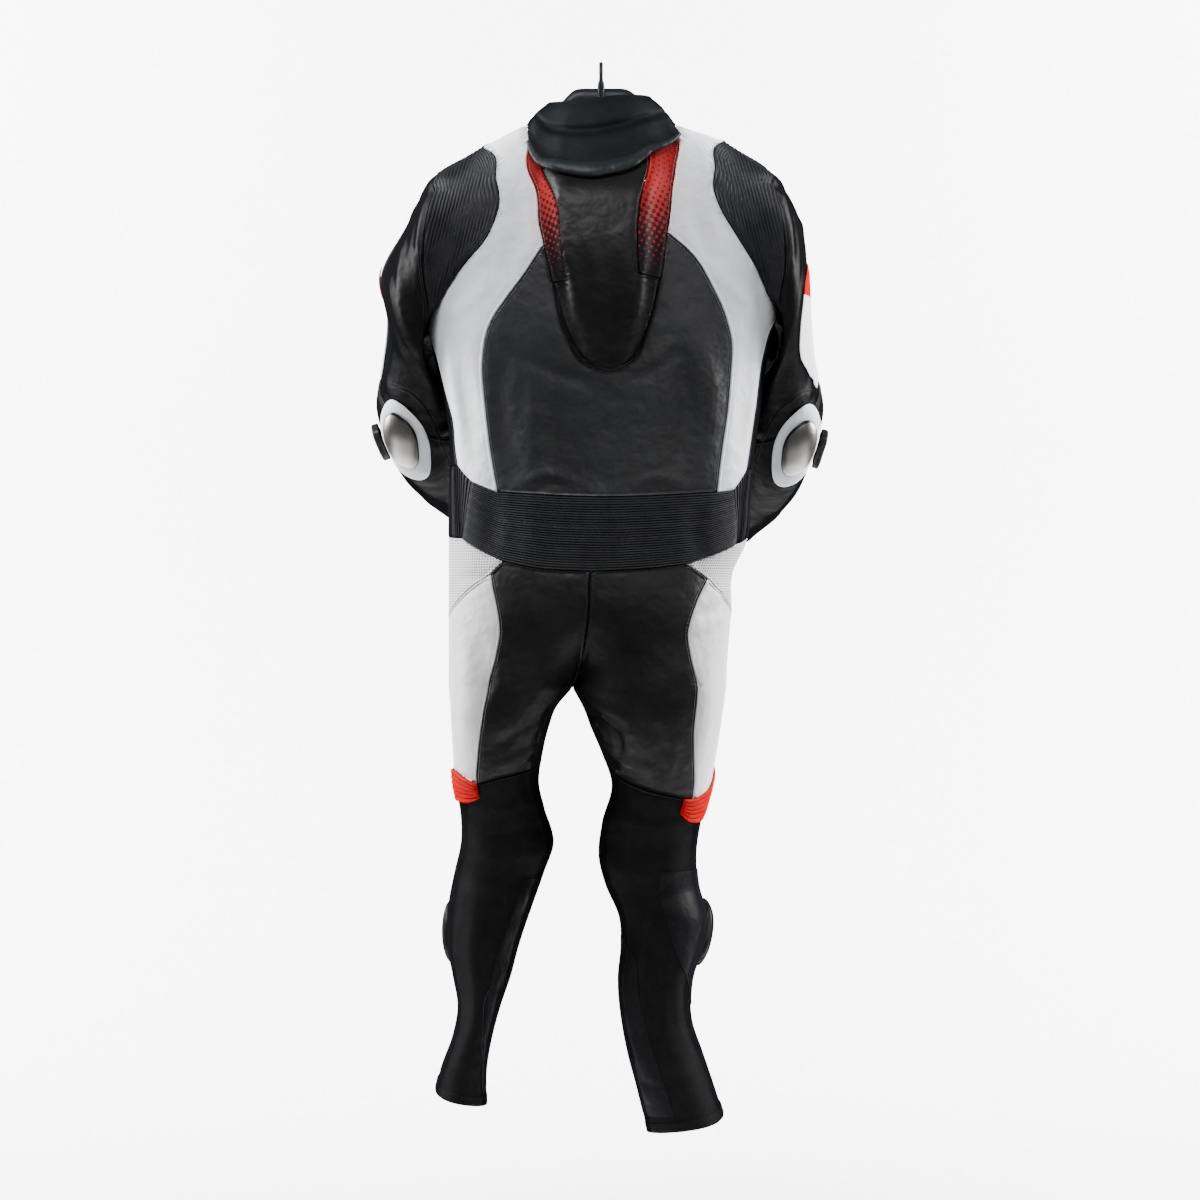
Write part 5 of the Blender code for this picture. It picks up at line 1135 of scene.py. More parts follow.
def grid_shell(name, points, normals, lift, thickness, finish, cad=True):
    """Shell over a grid of points, (rows, columns, 3), turned to face outward."""
    rows, columns = points.shape[:2]
    number = np.arange(rows * columns).reshape(rows, columns)
    middle = rows // 2, columns // 2
    cross = np.cross(points[middle[0] + 1, middle[1]] - points[middle],
                     points[middle[0], middle[1] + 1] - points[middle])
    if np.dot(cross, normals[middle]) < 0:
        number = number[::-1]
    faces = []
    for low, high in zip(number[:-1], number[1:]):
        for k in range(columns - 1):
            faces.append((low[k], high[k], high[k + 1], low[k + 1]))
    rim = np.concatenate((number[:-1, 0], number[-1, :-1], number[:0:-1, -1], number[0, :0:-1]))
    lengths = np.linalg.norm(np.diff(points[middle[0]], axis=0), axis=1)
    heights = np.linalg.norm(np.diff(points[:, middle[1]], axis=0), axis=1)
    cloth = np.stack(np.meshgrid(np.concatenate(((0,), np.cumsum(lengths))),
                                 np.concatenate(((0,), np.cumsum(heights)))), axis=2).reshape(-1, 2)
    made, outer = shell(name, points.reshape(-1, 3), normals.reshape(-1, 3), lift.reshape(-1), faces, rim,
                        thickness, finish, cloth)
    finish_piece(made, name, cad)
    declare_sheet(outer, faces, cloth)


def rib_profile(count, steps):
    """Height share of rounded ribs, each this many steps wide."""
    part = (np.arange(count) % steps) / steps
    return 1 - np.abs(2 * part - 1) ** RIB_POWER


def doubled(chain):
    """Chain of spots, points and normals with one more row between every two."""
    found = []
    for rows in chain:
        keys = np.arange(len(rows))
        places = np.linspace(0, len(rows) - 1, 2 * len(rows) - 1)
        found.append(np.stack([np.interp(places, keys, rows[:, k]) for k in range(rows.shape[1])], axis=1))
    return found


def shoulder_ribs(side):
    """Rib height by place: straight parallel ribs that lean outward as they run down."""
    def height(points):
        across = SIDES[side] * points[..., 0] - SHOULDER_RIB_LEAN * points[..., 2]
        return 1 - np.abs(2 * (across / SHOULDER_RIB_PITCH % 1.0) - 1) ** SHOULDER_RIB_POWER
    return height


def ribbed_panel(name, form, first, last, start, end, finish, steps, height=RIB_HEIGHT, own_ribs=None):
    """Panel whose ribs run from the start chain to the end chain, side by side from first to last."""
    low, high = seam_points(form, first), seam_points(form, last)
    left, right = seam_points(form, start), seam_points(form, end)
    if own_ribs:
        left, right = doubled(left), doubled(right)
    rows, columns = len(left[0]), len(low[0])
    down = np.linspace(0, 1, rows)[:, None, None]
    across = np.linspace(0, 1, columns)[None, :, None]
    spots = (low[0][None] * (1 - down) + high[0][None] * down
             + left[0][:, None] * (1 - across) + right[0][:, None] * across
             - low[0][0] * (1 - down) * (1 - across) - low[0][-1] * (1 - down) * across
             - high[0][0] * down * (1 - across) - high[0][-1] * down * across)
    flat = spots.reshape(-1, 2)
    points = FORMS[form](flat).reshape(rows, columns, 3)
    normals = outward(form, flat).reshape(rows, columns, 3)
    for kind, grid in ((1, points), (2, normals)):
        grid[0], grid[-1], grid[:, 0], grid[:, -1] = low[kind], high[kind], left[kind], right[kind]
    ends = np.ones(columns)
    ends[[0, -1]], ends[[1, -2]] = RIB_END, RIB_NEAR_END
    ribs = own_ribs(points) if own_ribs else rib_profile(rows, steps)[:, None]
    lift = height * ribs * ends[None]
    lift[[0, -1]] -= RIB_SINK[0]
    lift[:, [0, -1]] -= RIB_SINK[1]
    grid_shell(name, points, normals, lift, STRETCH, finish)


def patch(name, form, spots, stand, thickness, lift, finish, cad=True):
    """Piece that lies on a panel: the panel's own points over a grid of spots, moved out."""
    rows, columns = spots.shape[:2]
    flat = spots.reshape(-1, 2)
    normals = outward(form, flat)
    points = FORMS[form](flat) + normals * (stand + thickness)
    edge = np.zeros((rows, columns))
    edge[[0, -1]] = edge[:, [0, -1]] = -PATCH_ROLL
    grid_shell(name, points.reshape(rows, columns, 3), normals.reshape(rows, columns, 3), edge + lift,
               thickness, finish, cad)


def pad(name, form, centre, half, stand, edge, crown, square, power, finish):
    """Rounded pad on a panel: the panel's own points inside an oval, moved out and crowned."""
    centre = np.array(centre, float)
    around, rings = PAD_POINTS
    turns = np.linspace(0, 2 * math.pi, around, endpoint=False) * OUTWARD[form]
    oval = np.stack((np.sign(np.cos(turns)) * np.abs(np.cos(turns)) ** (2 / square) * half[0],
                     np.sign(np.sin(turns)) * np.abs(np.sin(turns)) ** (2 / square) * half[1]), axis=1)
    steps = np.sin(np.linspace(0, 1, rings + 1)[1:] * math.pi / 2)
    shares = np.concatenate(((0.0,), np.repeat(steps, around)))
    places = np.concatenate((np.zeros((1, 2)), np.tile(oval, (rings, 1)))) * shares[:, None]
    spots = centre + places / measure(form, centre[None])
    normals = outward(form, spots)
    points = FORMS[form](spots) + normals * (stand + edge)
    rounded = PAD_ROLL * smooth_step((shares - PAD_ROLL_START) / (1 - PAD_ROLL_START))
    lift = (crown - edge) * (1 - shares ** power) - rounded
    ring = np.arange(around)
    ahead = (ring + 1) % around
    faces = [(0, 1 + a, 1 + b) for a, b in zip(ring, ahead)]
    for k in range(rings - 1):
        low, high = 1 + k * around, 1 + (k + 1) * around
        for a, b in zip(ring, ahead):
            faces.append((low + a, high + a, high + b, low + b))
    rim = 1 + (rings - 1) * around + ring
    made, _ = shell(name, points, normals, lift, faces, rim, edge, finish, places)
    finish_piece(made, name)


def tube(name, path, radii, finish, around=16, side=(0, 0, 1), cad=True, tall=1.0):
    """Tube along a path, closed at both ends, with one radius for each path point. tall stretches it
    square to its side direction."""
    path = np.asarray(path, float)
    along = unit(np.gradient(path, axis=0))
    first = unit(np.cross(along, np.asarray(side, float)))
    second = np.cross(along, first)
    turns = np.linspace(0, 2 * math.pi, around, endpoint=False)[None, :, None]
    stretch = (np.ones(len(path)) * tall)[:, None, None]
    rings = path[:, None] + (first[:, None] * np.cos(turns) * stretch + second[:, None] * np.sin(turns)) \
        * np.asarray(radii, float)[:, None, None]
    made = closed_loft(name, rings, finish)
    finish_piece(made, name, cad)
    return made


def band(low, high):
    """Faces between two closed rows of point numbers."""
    corners = np.stack((low, np.roll(low, -1), np.roll(high, -1), high), axis=1)
    return [tuple(face) for face in corners.tolist()]


def closed_loft(name, rings, finish):
    """Solid through rings of points that run anticlockwise seen from the far end."""
    count, around = rings.shape[:2]
    number = np.arange(count * around).reshape(count, around)
    faces = [face for low, high in zip(number[:-1], number[1:]) for face in band(low, high)]
    faces += [tuple(number[0, ::-1].tolist()), tuple(number[-1].tolist())]
    return add_object(name, rings.reshape(-1, 3), faces, finish)


# ---------------------------------------------------------------- the panels

def seams_of(text, side):
    """Seam names with their side added. A name without a final underscore is shared by both sides."""
    return [name + side if name.endswith("_") else name for name in text.split()]


TORSO_LOOPS = {
    "hump_side_": ("neck_insert_ insert_inner_ insert_foot_ -insert_outer_ -white_top_", "red_insert",
                   "stretch_red"),
    "shoulder_panel_": ("ridge_ armhole_top_ armhole_low_ white_outer_ white_foot_ lumbar_corner_ "
                        "-white_low_ -white_top_ -neck_side_", "leather_white", "leather_white"),
    "front_panel_": ("-ridge_ neck_front_ front_centre -waist_front_ -stretch_front_ -stretch_top_ "
                     "-white_outer_ armhole_under_ -armhole_front_", "leather_black", "leather_black"),
}


def make_torso_panels(finish):
    panel("hump", "torso", ["nape", "insert_inner_R", "insert_foot_R", "-hump_point", "-insert_foot_L",
                            "-insert_inner_L"], LEATHER, finish["seat_leather"])
    # the back panel takes a lighter copy of the black leather, with painted sheen
    panel("back_panel", "torso", ["insert_outer_L", "hump_point", "-insert_outer_R", "white_low_R",
                                  "-waist", "-white_low_L"], LEATHER, finish["back_leather"])
    top = ["lumbar_corner_L", "waist", "-lumbar_corner_R"]
    foot = ["lumbar_end_L", "lumbar_foot_L", "-lumbar_foot_R", "-lumbar_end_R"]
    ribbed_panel("lumbar_stretch", "torso", top, foot, ["lumbar_side_L"], ["lumbar_side_R"],
                 finish["stretch_black"], 2 * FINE * LUMBAR_RIBS / WAIST_RIBS)
    for side in SIDES:
        for name, (loop, look, slot) in TORSO_LOOPS.items():
            again = "torso+" if (side, name) == ("L", "front_panel_") else "torso"
            panel(name + side, again, seams_of(loop, side), LEATHER, finish[look])
        inner_edge = "lumbar_side_%s/%d" % (side, 2 * LUMBAR_RIBS // SIDE_STEPS)
        ribbed_panel("side_stretch_" + side, "torso", [inner_edge], ["stretch_front_" + side],
                     ["-white_foot_" + side, "stretch_top_" + side], ["-stretch_foot_" + side],
                     finish["side_stretch"], FINE, SIDE_RIB_HEIGHT)


LEG_LOOPS = {
    "hip_mesh_": ("", "mesh_tip_ mesh_low_ -mesh_front_ stretch_foot_ lumbar_end_", "hip_mesh",
                  "leather_white"),
    "thigh_side_": ("", "mesh_low_ thigh_front_ -thigh_foot_front_ -thigh_foot_ -thigh_seam_",
                    "thigh_white", "leather_white"),
    "seat_": ("", "lumbar_foot_ -seat_centre -inner_top_ -seat_foot_ -thigh_seam_ -mesh_tip_",
              "seat_leather", "leather_black"),
    "front_thigh_": ("", "waist_front_ fly -gusset_ -knee_front_ -thigh_front_ -mesh_front_",
                     "leather_black", "leather_black"),
    "inner_leg_": ("+", "gusset_centre -inner_top_ -knee_inner_ gusset_", "fabric_black", "fabric_black"),
    "calf_": ("", "seat_foot_ inner_low_ hem_back_ -shin_edge_ -thigh_foot_", "fabric_black",
              "fabric_black"),
    "shin_": ("+", "thigh_foot_front_ knee_front_ knee_inner_ inner_low_ -hem_front_ -shin_edge_",
              "leather_black", "leather_black"),
}
SLEEVE_LOOPS = {
    "sleeve_back_": ("", "arm_ridge_ elbow_back_ -underarm_ -armhole_under_ -armhole_low_ cap_foot_ "
                         "-cap_edge_"),
    "sleeve_front_": ("+", "armhole_front_ underarm_ -elbow_front_ -arm_ridge_ -cap_ridge_"),
    "forearm_back_": ("", "forearm_ridge_ cuff_back_ -forearm_under_ -elbow_back_"),
    "forearm_front_": ("+", "elbow_front_ forearm_under_ -cuff_front_ -forearm_ridge_"),
}


def make_limb_panels(finish):
    for side in SIDES:
        for name, (again, loop, look, slot) in LEG_LOOPS.items():
            thickness = FABRIC if slot == "fabric_black" else LEATHER
            panel(name + side, "leg_" + side + again, seams_of(loop, side), thickness, finish[look])
        for name, (again, loop) in SLEEVE_LOOPS.items():
            panel(name + side, "sleeve_" + side + again, seams_of(loop, side), LEATHER,
                  finish["leather_black"])
        ribbed_panel("shoulder_stretch_" + side, "sleeve_" + side, ["armhole_top_" + side],
                     ["cap_edge_" + side], ["cap_ridge_" + side], ["cap_foot_" + side],
                     finish["stretch_black"], FINE, SHOULDER_RIB_HEIGHT, shoulder_ribs(side))


# ---------------------------------------------------------------- overlays, collar, hanger, zip

PAD_POINTS = (72, 14)           # points round a pad, and rings of them
PAD_ROLL = 0.8                  # how far its edge rounds over
PAD_ROLL_START = 0.94           # share of its reach at which that starts
ELBOW_PLATE_HALF = (26.0, 39.0)
# Pads on sleeves and knees: half sizes round and along, distance from the panel, height of the edge and of
# the crown, squareness of the outline, flatness of the dome, look, slot
PADS = {
    "elbow_panel_": ((40.0, 58.0), 1.4, 1.6, 2.2, 2.6, 8.0, "leather_white", "leather_white"),
    "elbow_plate_": (ELBOW_PLATE_HALF, 4.6, 2.0, 8.0, 2.6, 3.0, "elbow_plate", "metal_silver"),
    "elbow_slider_": ((13.0, 27.0), 4.8, 8.0, 10.0, 4.0, 5.0, "plastic_black", "plastic_black"),
    "knee_slider_": ((38.0, 46.0), 1.6, 5.0, 10.5, 2.6, 3.0, "plastic_black", "plastic_black"),
}
PAD_CENTRES = {                 # sleeve angle and ring step; for the knee, leg angle and down
    "L": {"elbow_panel_": (24.0, 7.25), "elbow_plate_": (25.0, 7.12), "elbow_slider_": (82.0, 8.0),
          "knee_slider_": (134.0, 1196.0)},
    "R": {"elbow_panel_": (24.0, 7.25), "elbow_plate_": (23.0, 7.20), "elbow_slider_": (82.0, 8.0),
          "knee_slider_": (112.0, 1196.0)},
}
STRIPE = {                      # ring step, inner and outer sleeve angle
    "L": np.array(((3.9, 95, 108), (4.5, 94, 108), (5.1, 92, 108), (5.7, 88, 108), (6.3, 84, 108)), float),
    "R": np.array(((3.7, 56, 84), (4.2, 40, 104), (5.1, 40, 108), (5.7, 56, 108), (6.3, 72, 108)), float),
}
STRIPE_POINTS = (61, 16)        # rows and columns of its points
FLASH_TURNS = {"L": (22.0, 128.0), "R": (26.0, 118.0)}
FLASH_HEIGHT = 44.0
FLASH_TAPER = 0.55              # share of its height that it loses at both ends
FLASH_RIBS = 6
FLASH_RIB_STEPS = 10            # rows of points on each of its ribs


def make_overlays(finish):
    for side in SIDES:
        arm = "sleeve_" + side
        for name, (half, stand, edge, crown, square, power, look, slot) in PADS.items():
            centre = PAD_CENTRES[side][name]
            form, centre = ("leg_" + side, leg_at(*centre)) if name == "knee_slider_" else (arm, centre)
            pad(name + side, form, centre, half, stand, edge, crown, square, power, finish[look])
        rows, columns = STRIPE_POINTS
        steps = np.linspace(STRIPE[side][0, 0], STRIPE[side][-1, 0], rows)
        edges = through(STRIPE[side][:, 0], STRIPE[side][:, 1:], steps)
        spots = turned_grid(edges[:, 0:1], edges[:, 1:2], steps, columns)
        patch("sleeve_stripe_" + side, arm, spots, 1.2, 1.6, 0.0, finish["sleeve_stripe"])
        make_flash(side, finish["stretch_red"])


def turned_grid(start, end, places, columns):
    """Grid of spots from one angle to another, with a row for each place."""
    share = np.linspace(0, 1, columns)[None]
    turns = start * (1 - share) + end * share
    return np.stack(np.broadcast_arrays(turns, places[:, None]), axis=2)


def make_flash(side, finish):
    """Ribbed insert that laps over the foot of the white thigh panel."""
    inner, outer = FLASH_TURNS[side]
    foot = [leg_behind(side, *THIGH_SEAM[side][-1]), leg_behind(side, *THIGH_FOOT[side]),
            leg_at(SHIN_EDGE, SEAT_FOOT_INNER[side] + 10)]
    foot = np.array(foot)
    turns = np.linspace(inner, outer, 49)
    rows = FLASH_RIBS * FLASH_RIB_STEPS + 1
    top = np.interp(turns, foot[:, 0], foot[:, 1])
    taper = 1 - FLASH_TAPER * ((turns - turns.mean()) / (outer - inner) * 2) ** 2
    runs = top[None] - 2 + np.linspace(0, 1, rows)[:, None] * FLASH_HEIGHT * taper[None]
    spots = np.stack((np.broadcast_to(turns, runs.shape), runs), axis=2)
    lift = RIB_HEIGHT * rib_profile(rows, FLASH_RIB_STEPS)[:, None] * np.ones(len(turns))
    lift[:, [0, -1]] *= RIB_END
    patch("thigh_flash_" + side, "leg_" + side, spots, 1.2, 1.6, lift, finish)


# Collar: height share, bulge outward behind the neck, and at its sides
COLLAR_ROWS = np.array(((0.0, 0.0, 0.0), (0.14, -0.6, 1.0), (0.34, 2.6, 3.4), (0.47, 2.4, 4.2),
                        (0.545, -2.2, 3.9), (0.575, -2.4, 3.9), (0.64, 1.8, 4.6), (0.78, 3.8, 3.8),
                        (0.92, 2.6, 1.6), (1.0, 0.0, 0.0)))
COLLAR_TOP = {"middle": 2.0, "half": 84.0, "behind": 58.0, "before": 60.0}
COLLAR_TOP_DOWN = {"behind": 50.0, "side": 68.0, "before": 92.0}
COLLAR_LEAN = 9.0               # how much higher its top is on the right
COLLAR_TUCK = 9.0               # how far its right side leans in
COLLAR_ROW_COUNT = 60
COLLAR_SLANT = 0.05             # how far its fold line slants: lower on the left, higher on the right
COLLAR_WAVE = 0.9               # height of its soft waves behind the neck
COLLAR_FOOT = (1.2, 0.6)        # how far inside the neck seam its foot lies, and how far above
COLLAR_BACK = (1.9, 1.3)        # how wide its top, and its bulge, are like those of the middle behind
NECK_LOOP = ("neck_side_L", "neck_insert_L", "nape", "-neck_insert_R", "-neck_side_R", "neck_front_R",
             "-neck_front_L")


def make_collar(finish):
    """Soft stand collar: a tube from just inside the neck seam up to its rolled top."""
    _, base, _ = seam_points("torso", NECK_LOOP)
    base = base[:-1]
    turn = np.arctan2(base[:, 0] - COLLAR_TOP["middle"], -base[:, 1])
    cosine, sine = np.cos(turn), np.sin(turn)
    deep = np.where(cosine > 0, COLLAR_TOP["behind"], COLLAR_TOP["before"])
    end = np.where(cosine > 0, COLLAR_TOP_DOWN["behind"], COLLAR_TOP_DOWN["before"])
    beside = COLLAR_TOP_DOWN["side"]
    down = beside + (end - beside) * smooth_step(np.abs(cosine) * COLLAR_BACK[0])
    down = down - COLLAR_LEAN * sine * np.abs(cosine)
    half = COLLAR_TOP["half"] - COLLAR_TUCK * smooth_step(sine)
    top = np.stack((COLLAR_TOP["middle"] + half * sine, -deep * cosine, -down), axis=1)
    radial = np.stack((sine, -cosine, np.zeros_like(sine)), axis=1)
    base = base - radial * COLLAR_FOOT[0] + (0, 0, COLLAR_FOOT[1])
    shares = np.linspace(0, 1, COLLAR_ROW_COUNT)
    slant = COLLAR_SLANT * sine * np.maximum(cosine, 0)
    middle = smooth_step(cosine ** 2 * COLLAR_BACK[1])
    soft = COLLAR_WAVE * np.sin(3 * turn + 1.0) * middle
    rings = []
    for share in shares:
        free = math.sin(math.pi * share)        # none at the seam and at the top
        behind_it, beside_it = through(COLLAR_ROWS[:, 0], COLLAR_ROWS[:, 1:], share - slant * free).T
        bulge = beside_it + (behind_it - beside_it) * middle + soft * free
        rings.append(base + (top - base) * share + radial * bulge[:, None])
    rings = np.array(rings)
    half = np.linspace(0, math.pi, 7)[1:-1]
    lip = [rings[-1] - radial * NEOPRENE / 2 * (1 - math.cos(a)) + (0, 0, NEOPRENE / 2 * math.sin(a))
           for a in half]
    inner = rings - radial * NEOPRENE
    loop = np.concatenate((rings, np.array(lip), inner[::-1]))
    count, around = len(loop), len(base)
    number = np.arange(count * around).reshape(count, around)
    faces = [face for low, high in zip(number, np.roll(number, -1, axis=0)) for face in band(low, high)]
    round_it = np.concatenate(((0,), np.cumsum(np.linalg.norm(np.diff(base, axis=0), axis=1))))
    cloth = np.stack(np.meshgrid(round_it, np.arange(count) * 2.0), axis=2).reshape(-1, 2)
    made = add_object("collar", loop.reshape(-1, 3), faces, finish, cloth)
    finish_piece(made, "collar")
    outer = rings.reshape(-1, 3)
    declare_sheet(outer, faces[:around * (COLLAR_ROW_COUNT - 1)], cloth[:len(outer)])


NAPE_ROLL_RADIUS = 6.0
NAPE_ROLL_DROP = 4.0            # how far below the hump's seam its middle lies
NAPE_ROLL_TALL = 1.1            # how much taller than thick its middle is
NAPE_ROLL_SIDE = (0, -0.82, 0.57)       # across its thin direction
NAPE_ROLL_STAND = 0.6           # clear height over the panels
NAPE_ROLL_WAVES = ((0.03, 31, 0), (0.02, 53, 1))    # uneven thickness: share, waves, start


def make_nape_roll(finish):
    """Padded lip that lies on the top edge of the hump."""
    spots, _, _ = seam_points("torso", ["neck_insert_L", "nape", "-neck_insert_R"])
    shares = np.linspace(0, 1, 60)
    middle = np.sin(math.pi * shares ** 0.85)
    spots = through(np.linspace(0, 1, len(spots)), spots, shares)
    spots[:, 1] += NAPE_ROLL_DROP * middle
    tall = 1.0 + NAPE_ROLL_TALL * middle ** 1.2
    radii = NAPE_ROLL_RADIUS * np.sin(math.pi * (0.12 + 0.76 * shares)) ** 0.5
    radii *= 1 + sum(share * np.sin(shares * waves + start) for share, waves, start in NAPE_ROLL_WAVES)
    path = torso(spots) + outward("torso", spots) * (NAPE_ROLL_RADIUS + NAPE_ROLL_STAND)
    made = tube("nape_roll", path, radii, finish, around=24, side=NAPE_ROLL_SIDE,
                tall=tall)


# Hanger sections: across, top down, height, half depth
HANGER = np.array((
    (-222, 172, 16, 15),
    (-197, 146, 22, 24),
    (-150, 116, 26, 27),
    (-108, 97, 26, 26),
    (-84, 80, 28, 22),
    (-50, 46, 32, 18),
    (-38, 31, 40, 16),
    (38, 31, 40, 16),
    (52, 44, 34, 18),
    (84, 78, 28, 22),
    (108, 95, 26, 26),
    (150, 110, 26, 27),
    (197, 140, 22, 24),
    (222, 164, 16, 15),
), float)
HANGER_STATIONS = 120           # sections worked out from these, smoothed this many times:
HANGER_PASSES = 6
HANGER_SQUARE = 0.75            # how square a section is: 1 is an ellipse
HOOK_RADIUS = 2.8
HOOK_TIP = (0.55, 0.8, 0.92, 0.98)      # shares of its radius at its first points
HOOK_FOOT = 2.2                 # how much thicker the shank's foot is
HOOK_POINTS = (50, 12)          # along the bend, and along the shank
HOOK_BEND = 16.0                # inner radius of the hook's bend


def make_hanger(finish):
    """Broad shoulder hanger, lofted through rounded sections, with its hook set across it."""
    turns = np.linspace(0, 2 * math.pi, 40, endpoint=False)
    cosine, sine = np.cos(turns), np.sin(turns)
    round_y = np.sign(cosine) * np.abs(cosine) ** HANGER_SQUARE
    round_z = np.sign(sine) * np.abs(sine) ** HANGER_SQUARE
    across = np.linspace(HANGER[0, 0], HANGER[-1, 0], HANGER_STATIONS)
    straight = np.stack([np.interp(across, HANGER[:, 0], HANGER[:, k]) for k in range(1, 4)], axis=1)
    stations = np.concatenate((across[:, None], straight), axis=1)
    for _ in range(HANGER_PASSES):
        stations[1:-1, 1:] = (stations[:-2, 1:] + 2 * stations[1:-1, 1:] + stations[2:, 1:]) / 4
    rings = np.array([np.stack((np.full_like(turns, across), half * round_y,
                                -top - height / 2 + height / 2 * round_z), axis=1)
                      for across, top, height, half in stations])
    body = closed_loft("hanger_body", rings, finish)
    finish_piece(body, "hanger_body")
    radius = HOOK_BEND + HOOK_RADIUS
    bend = np.radians(np.linspace(-35, 180, HOOK_POINTS[0]))
    arc = np.stack((np.zeros_like(bend), radius * np.cos(bend), radius * np.sin(bend) - HOOK_BEND), axis=1)
    shank_foot = -HANGER[7][1] + 0.4
    shank = np.array(((0, -radius, -HOOK_BEND - 5), (0, -radius + 2, shank_foot + 3),
                      (0, -HANGER[7][3] + 0.5, shank_foot - 16)))
    shank = through(np.array((0.0, 1.0, 2.0)), shank, np.linspace(0, 2, HOOK_POINTS[1]))
    path = np.concatenate((arc, shank))
    radii = np.full(len(path), HOOK_RADIUS)
    radii[:len(HOOK_TIP)] *= HOOK_TIP
    radii[HOOK_POINTS[0]:] += HOOK_FOOT * smooth_step(np.linspace(0, 1.6, HOOK_POINTS[1]))
    tube("hanger_hook", path, radii, finish, around=20, side=(1, 0, 0))


ZIP_TOP, ZIP_END = 170.0, 640.0
ZIP_HALF_TURN = 4.5
TOOTH_PITCH = 2.6
TOOTH_HALF = (1.7, 0.6, 0.75)
TOOTH_SHIFT = 0.9               # how far every other tooth lies to each side
TOOTH_STAND = 3.0


def make_zip_tape(finish):
    """Zip tape over the front centre seam, with its teeth."""
    downs = np.linspace(ZIP_TOP, ZIP_END, 150)
    spots = turned_grid(180.0 - ZIP_HALF_TURN, 180.0 + ZIP_HALF_TURN, downs, 13)
    patch("zip_tape", "torso", spots, 1.0, 1.6, 0.0, finish["fabric_black"])
    at = torso(column(180.0, np.arange(ZIP_TOP + 14, ZIP_END - 4, TOOTH_PITCH)))
    shift = np.where(np.arange(len(at)) % 2, TOOTH_SHIFT, -TOOTH_SHIFT)
    at += np.stack((shift, relief(at) + TOOTH_STAND, np.zeros(len(at))), axis=1)
    corners = np.array([(x, y, z) for x in (-1, 1) for y in (-1, 1) for z in (-1, 1)]) * TOOTH_HALF
    faces = [(0, 1, 3, 2), (4, 6, 7, 5), (0, 4, 5, 1), (2, 3, 7, 6), (0, 2, 6, 4), (1, 5, 7, 3)]
    many_blocks("zip_teeth", at[:, None] + corners, faces, finish["metal_silver"])


def many_blocks(name, blocks, faces, finish):
    """One mesh of many small blocks of points, each with the same faces."""
    size = blocks.shape[1]
    every = [tuple(v + size * k for v in face) for k in range(len(blocks)) for face in faces]
    finish_piece(add_object(name, blocks.reshape(-1, 3), every, finish), "", cad=False)


# ---------------------------------------------------------------- sewing

STITCH = 2.5                    # length of one visible stitch
STITCH_PITCH = 3.5
THREAD = 0.36                   # half thickness of the thread
THREAD_STAND = 0.216            # how far a thread's middle lies above its panel
ROW_SINK = 0.3                  # how far a row beside a seam sinks, where the panel rolls down
STITCH_SHAPE = ((-1.0, 0.35), (-0.8, 0.9), (0.8, 0.9), (1.0, 0.35))     # share of its half length, width

# Rows of stitches: seam, form that carries them, distance from the seam (minus: on its right side)
WHITE_ROWS = (("white_top_", "torso", 3.4), ("white_low_", "torso", 3.4), ("white_outer_", "torso", -3.4),
              ("armhole_top_", "torso", -3.4), ("ridge_", "torso", -3.4),
              ("thigh_seam_", "leg_", 3.4), ("mesh_low_", "leg_", 3.4), ("thigh_front_", "leg_", -3.4))
BLACK_ROWS = (("armhole_front_", "sleeve_", 3.4), ("arm_ridge_", "sleeve_", 3.4),
              ("arm_ridge_", "sleeve_", -3.4), ("elbow_back_", "sleeve_", 3.4),
              ("elbow_back_", "sleeve_", -3.4), ("forearm_ridge_", "sleeve_", 3.4),
              ("cuff_back_", "sleeve_", 6.0), ("cuff_front_", "sleeve_", -6.0),
              ("cap_edge_", "sleeve_", -3.0), ("cap_edge_", "sleeve_", -6.0),
              ("thigh_seam_", "leg_", -3.4), ("mesh_tip_", "leg_", -3.4), ("lumbar_foot_", "leg_", 3.4),
              ("seat_foot_", "leg_", -3.4), ("shin_edge_", "leg_", 3.4), ("shin_edge_", "leg_", -3.4),
              ("knee_front_", "leg_", 3.4), ("knee_front_", "leg_", -3.4),
              ("waist_front_", "leg_", 3.4), ("hem_back_", "leg_", -4.0), ("hem_back_", "leg_", -13.0),
              ("hem_front_", "leg_", 4.0), ("hem_front_", "leg_", 13.0),
              ("seat_centre", "leg_", 3.6), ("fly", "leg_", 3.6))


def on_panel(form, spots, height):
    """Points this high over a form and its creases, and the form's normals there."""
    at, out = FORMS[form](spots), outward(form, spots)
    return at + out * (relief(at) + height)[:, None], out


def beside(seam_name, form, distance):
    """Points and normals of a row that runs beside a seam, on the surface of its creased panel."""
    line = SEAMS[seam_name]
    into = inward(line["at"], line["out"], closed=False)
    return on_panel(form, slide(form, line[form], into * distance), THREAD_STAND - ROW_SINK)


def threads(path, normals):
    """Centres, directions and normals of the stitches along a path."""
    steps = np.linalg.norm(np.diff(path, axis=0), axis=1)
    keys = np.concatenate(((0.0,), np.cumsum(steps)))
    middles = np.arange(STITCH_PITCH, keys[-1] - STITCH_PITCH, STITCH_PITCH)

    def at(place, rows):
        return np.stack([np.interp(place, keys, rows[:, k]) for k in range(3)], axis=1)

    first, last = at(middles - STITCH / 2, path), at(middles + STITCH / 2, path)
    return (first + last) / 2, unit(last - first), unit(at(middles, normals))


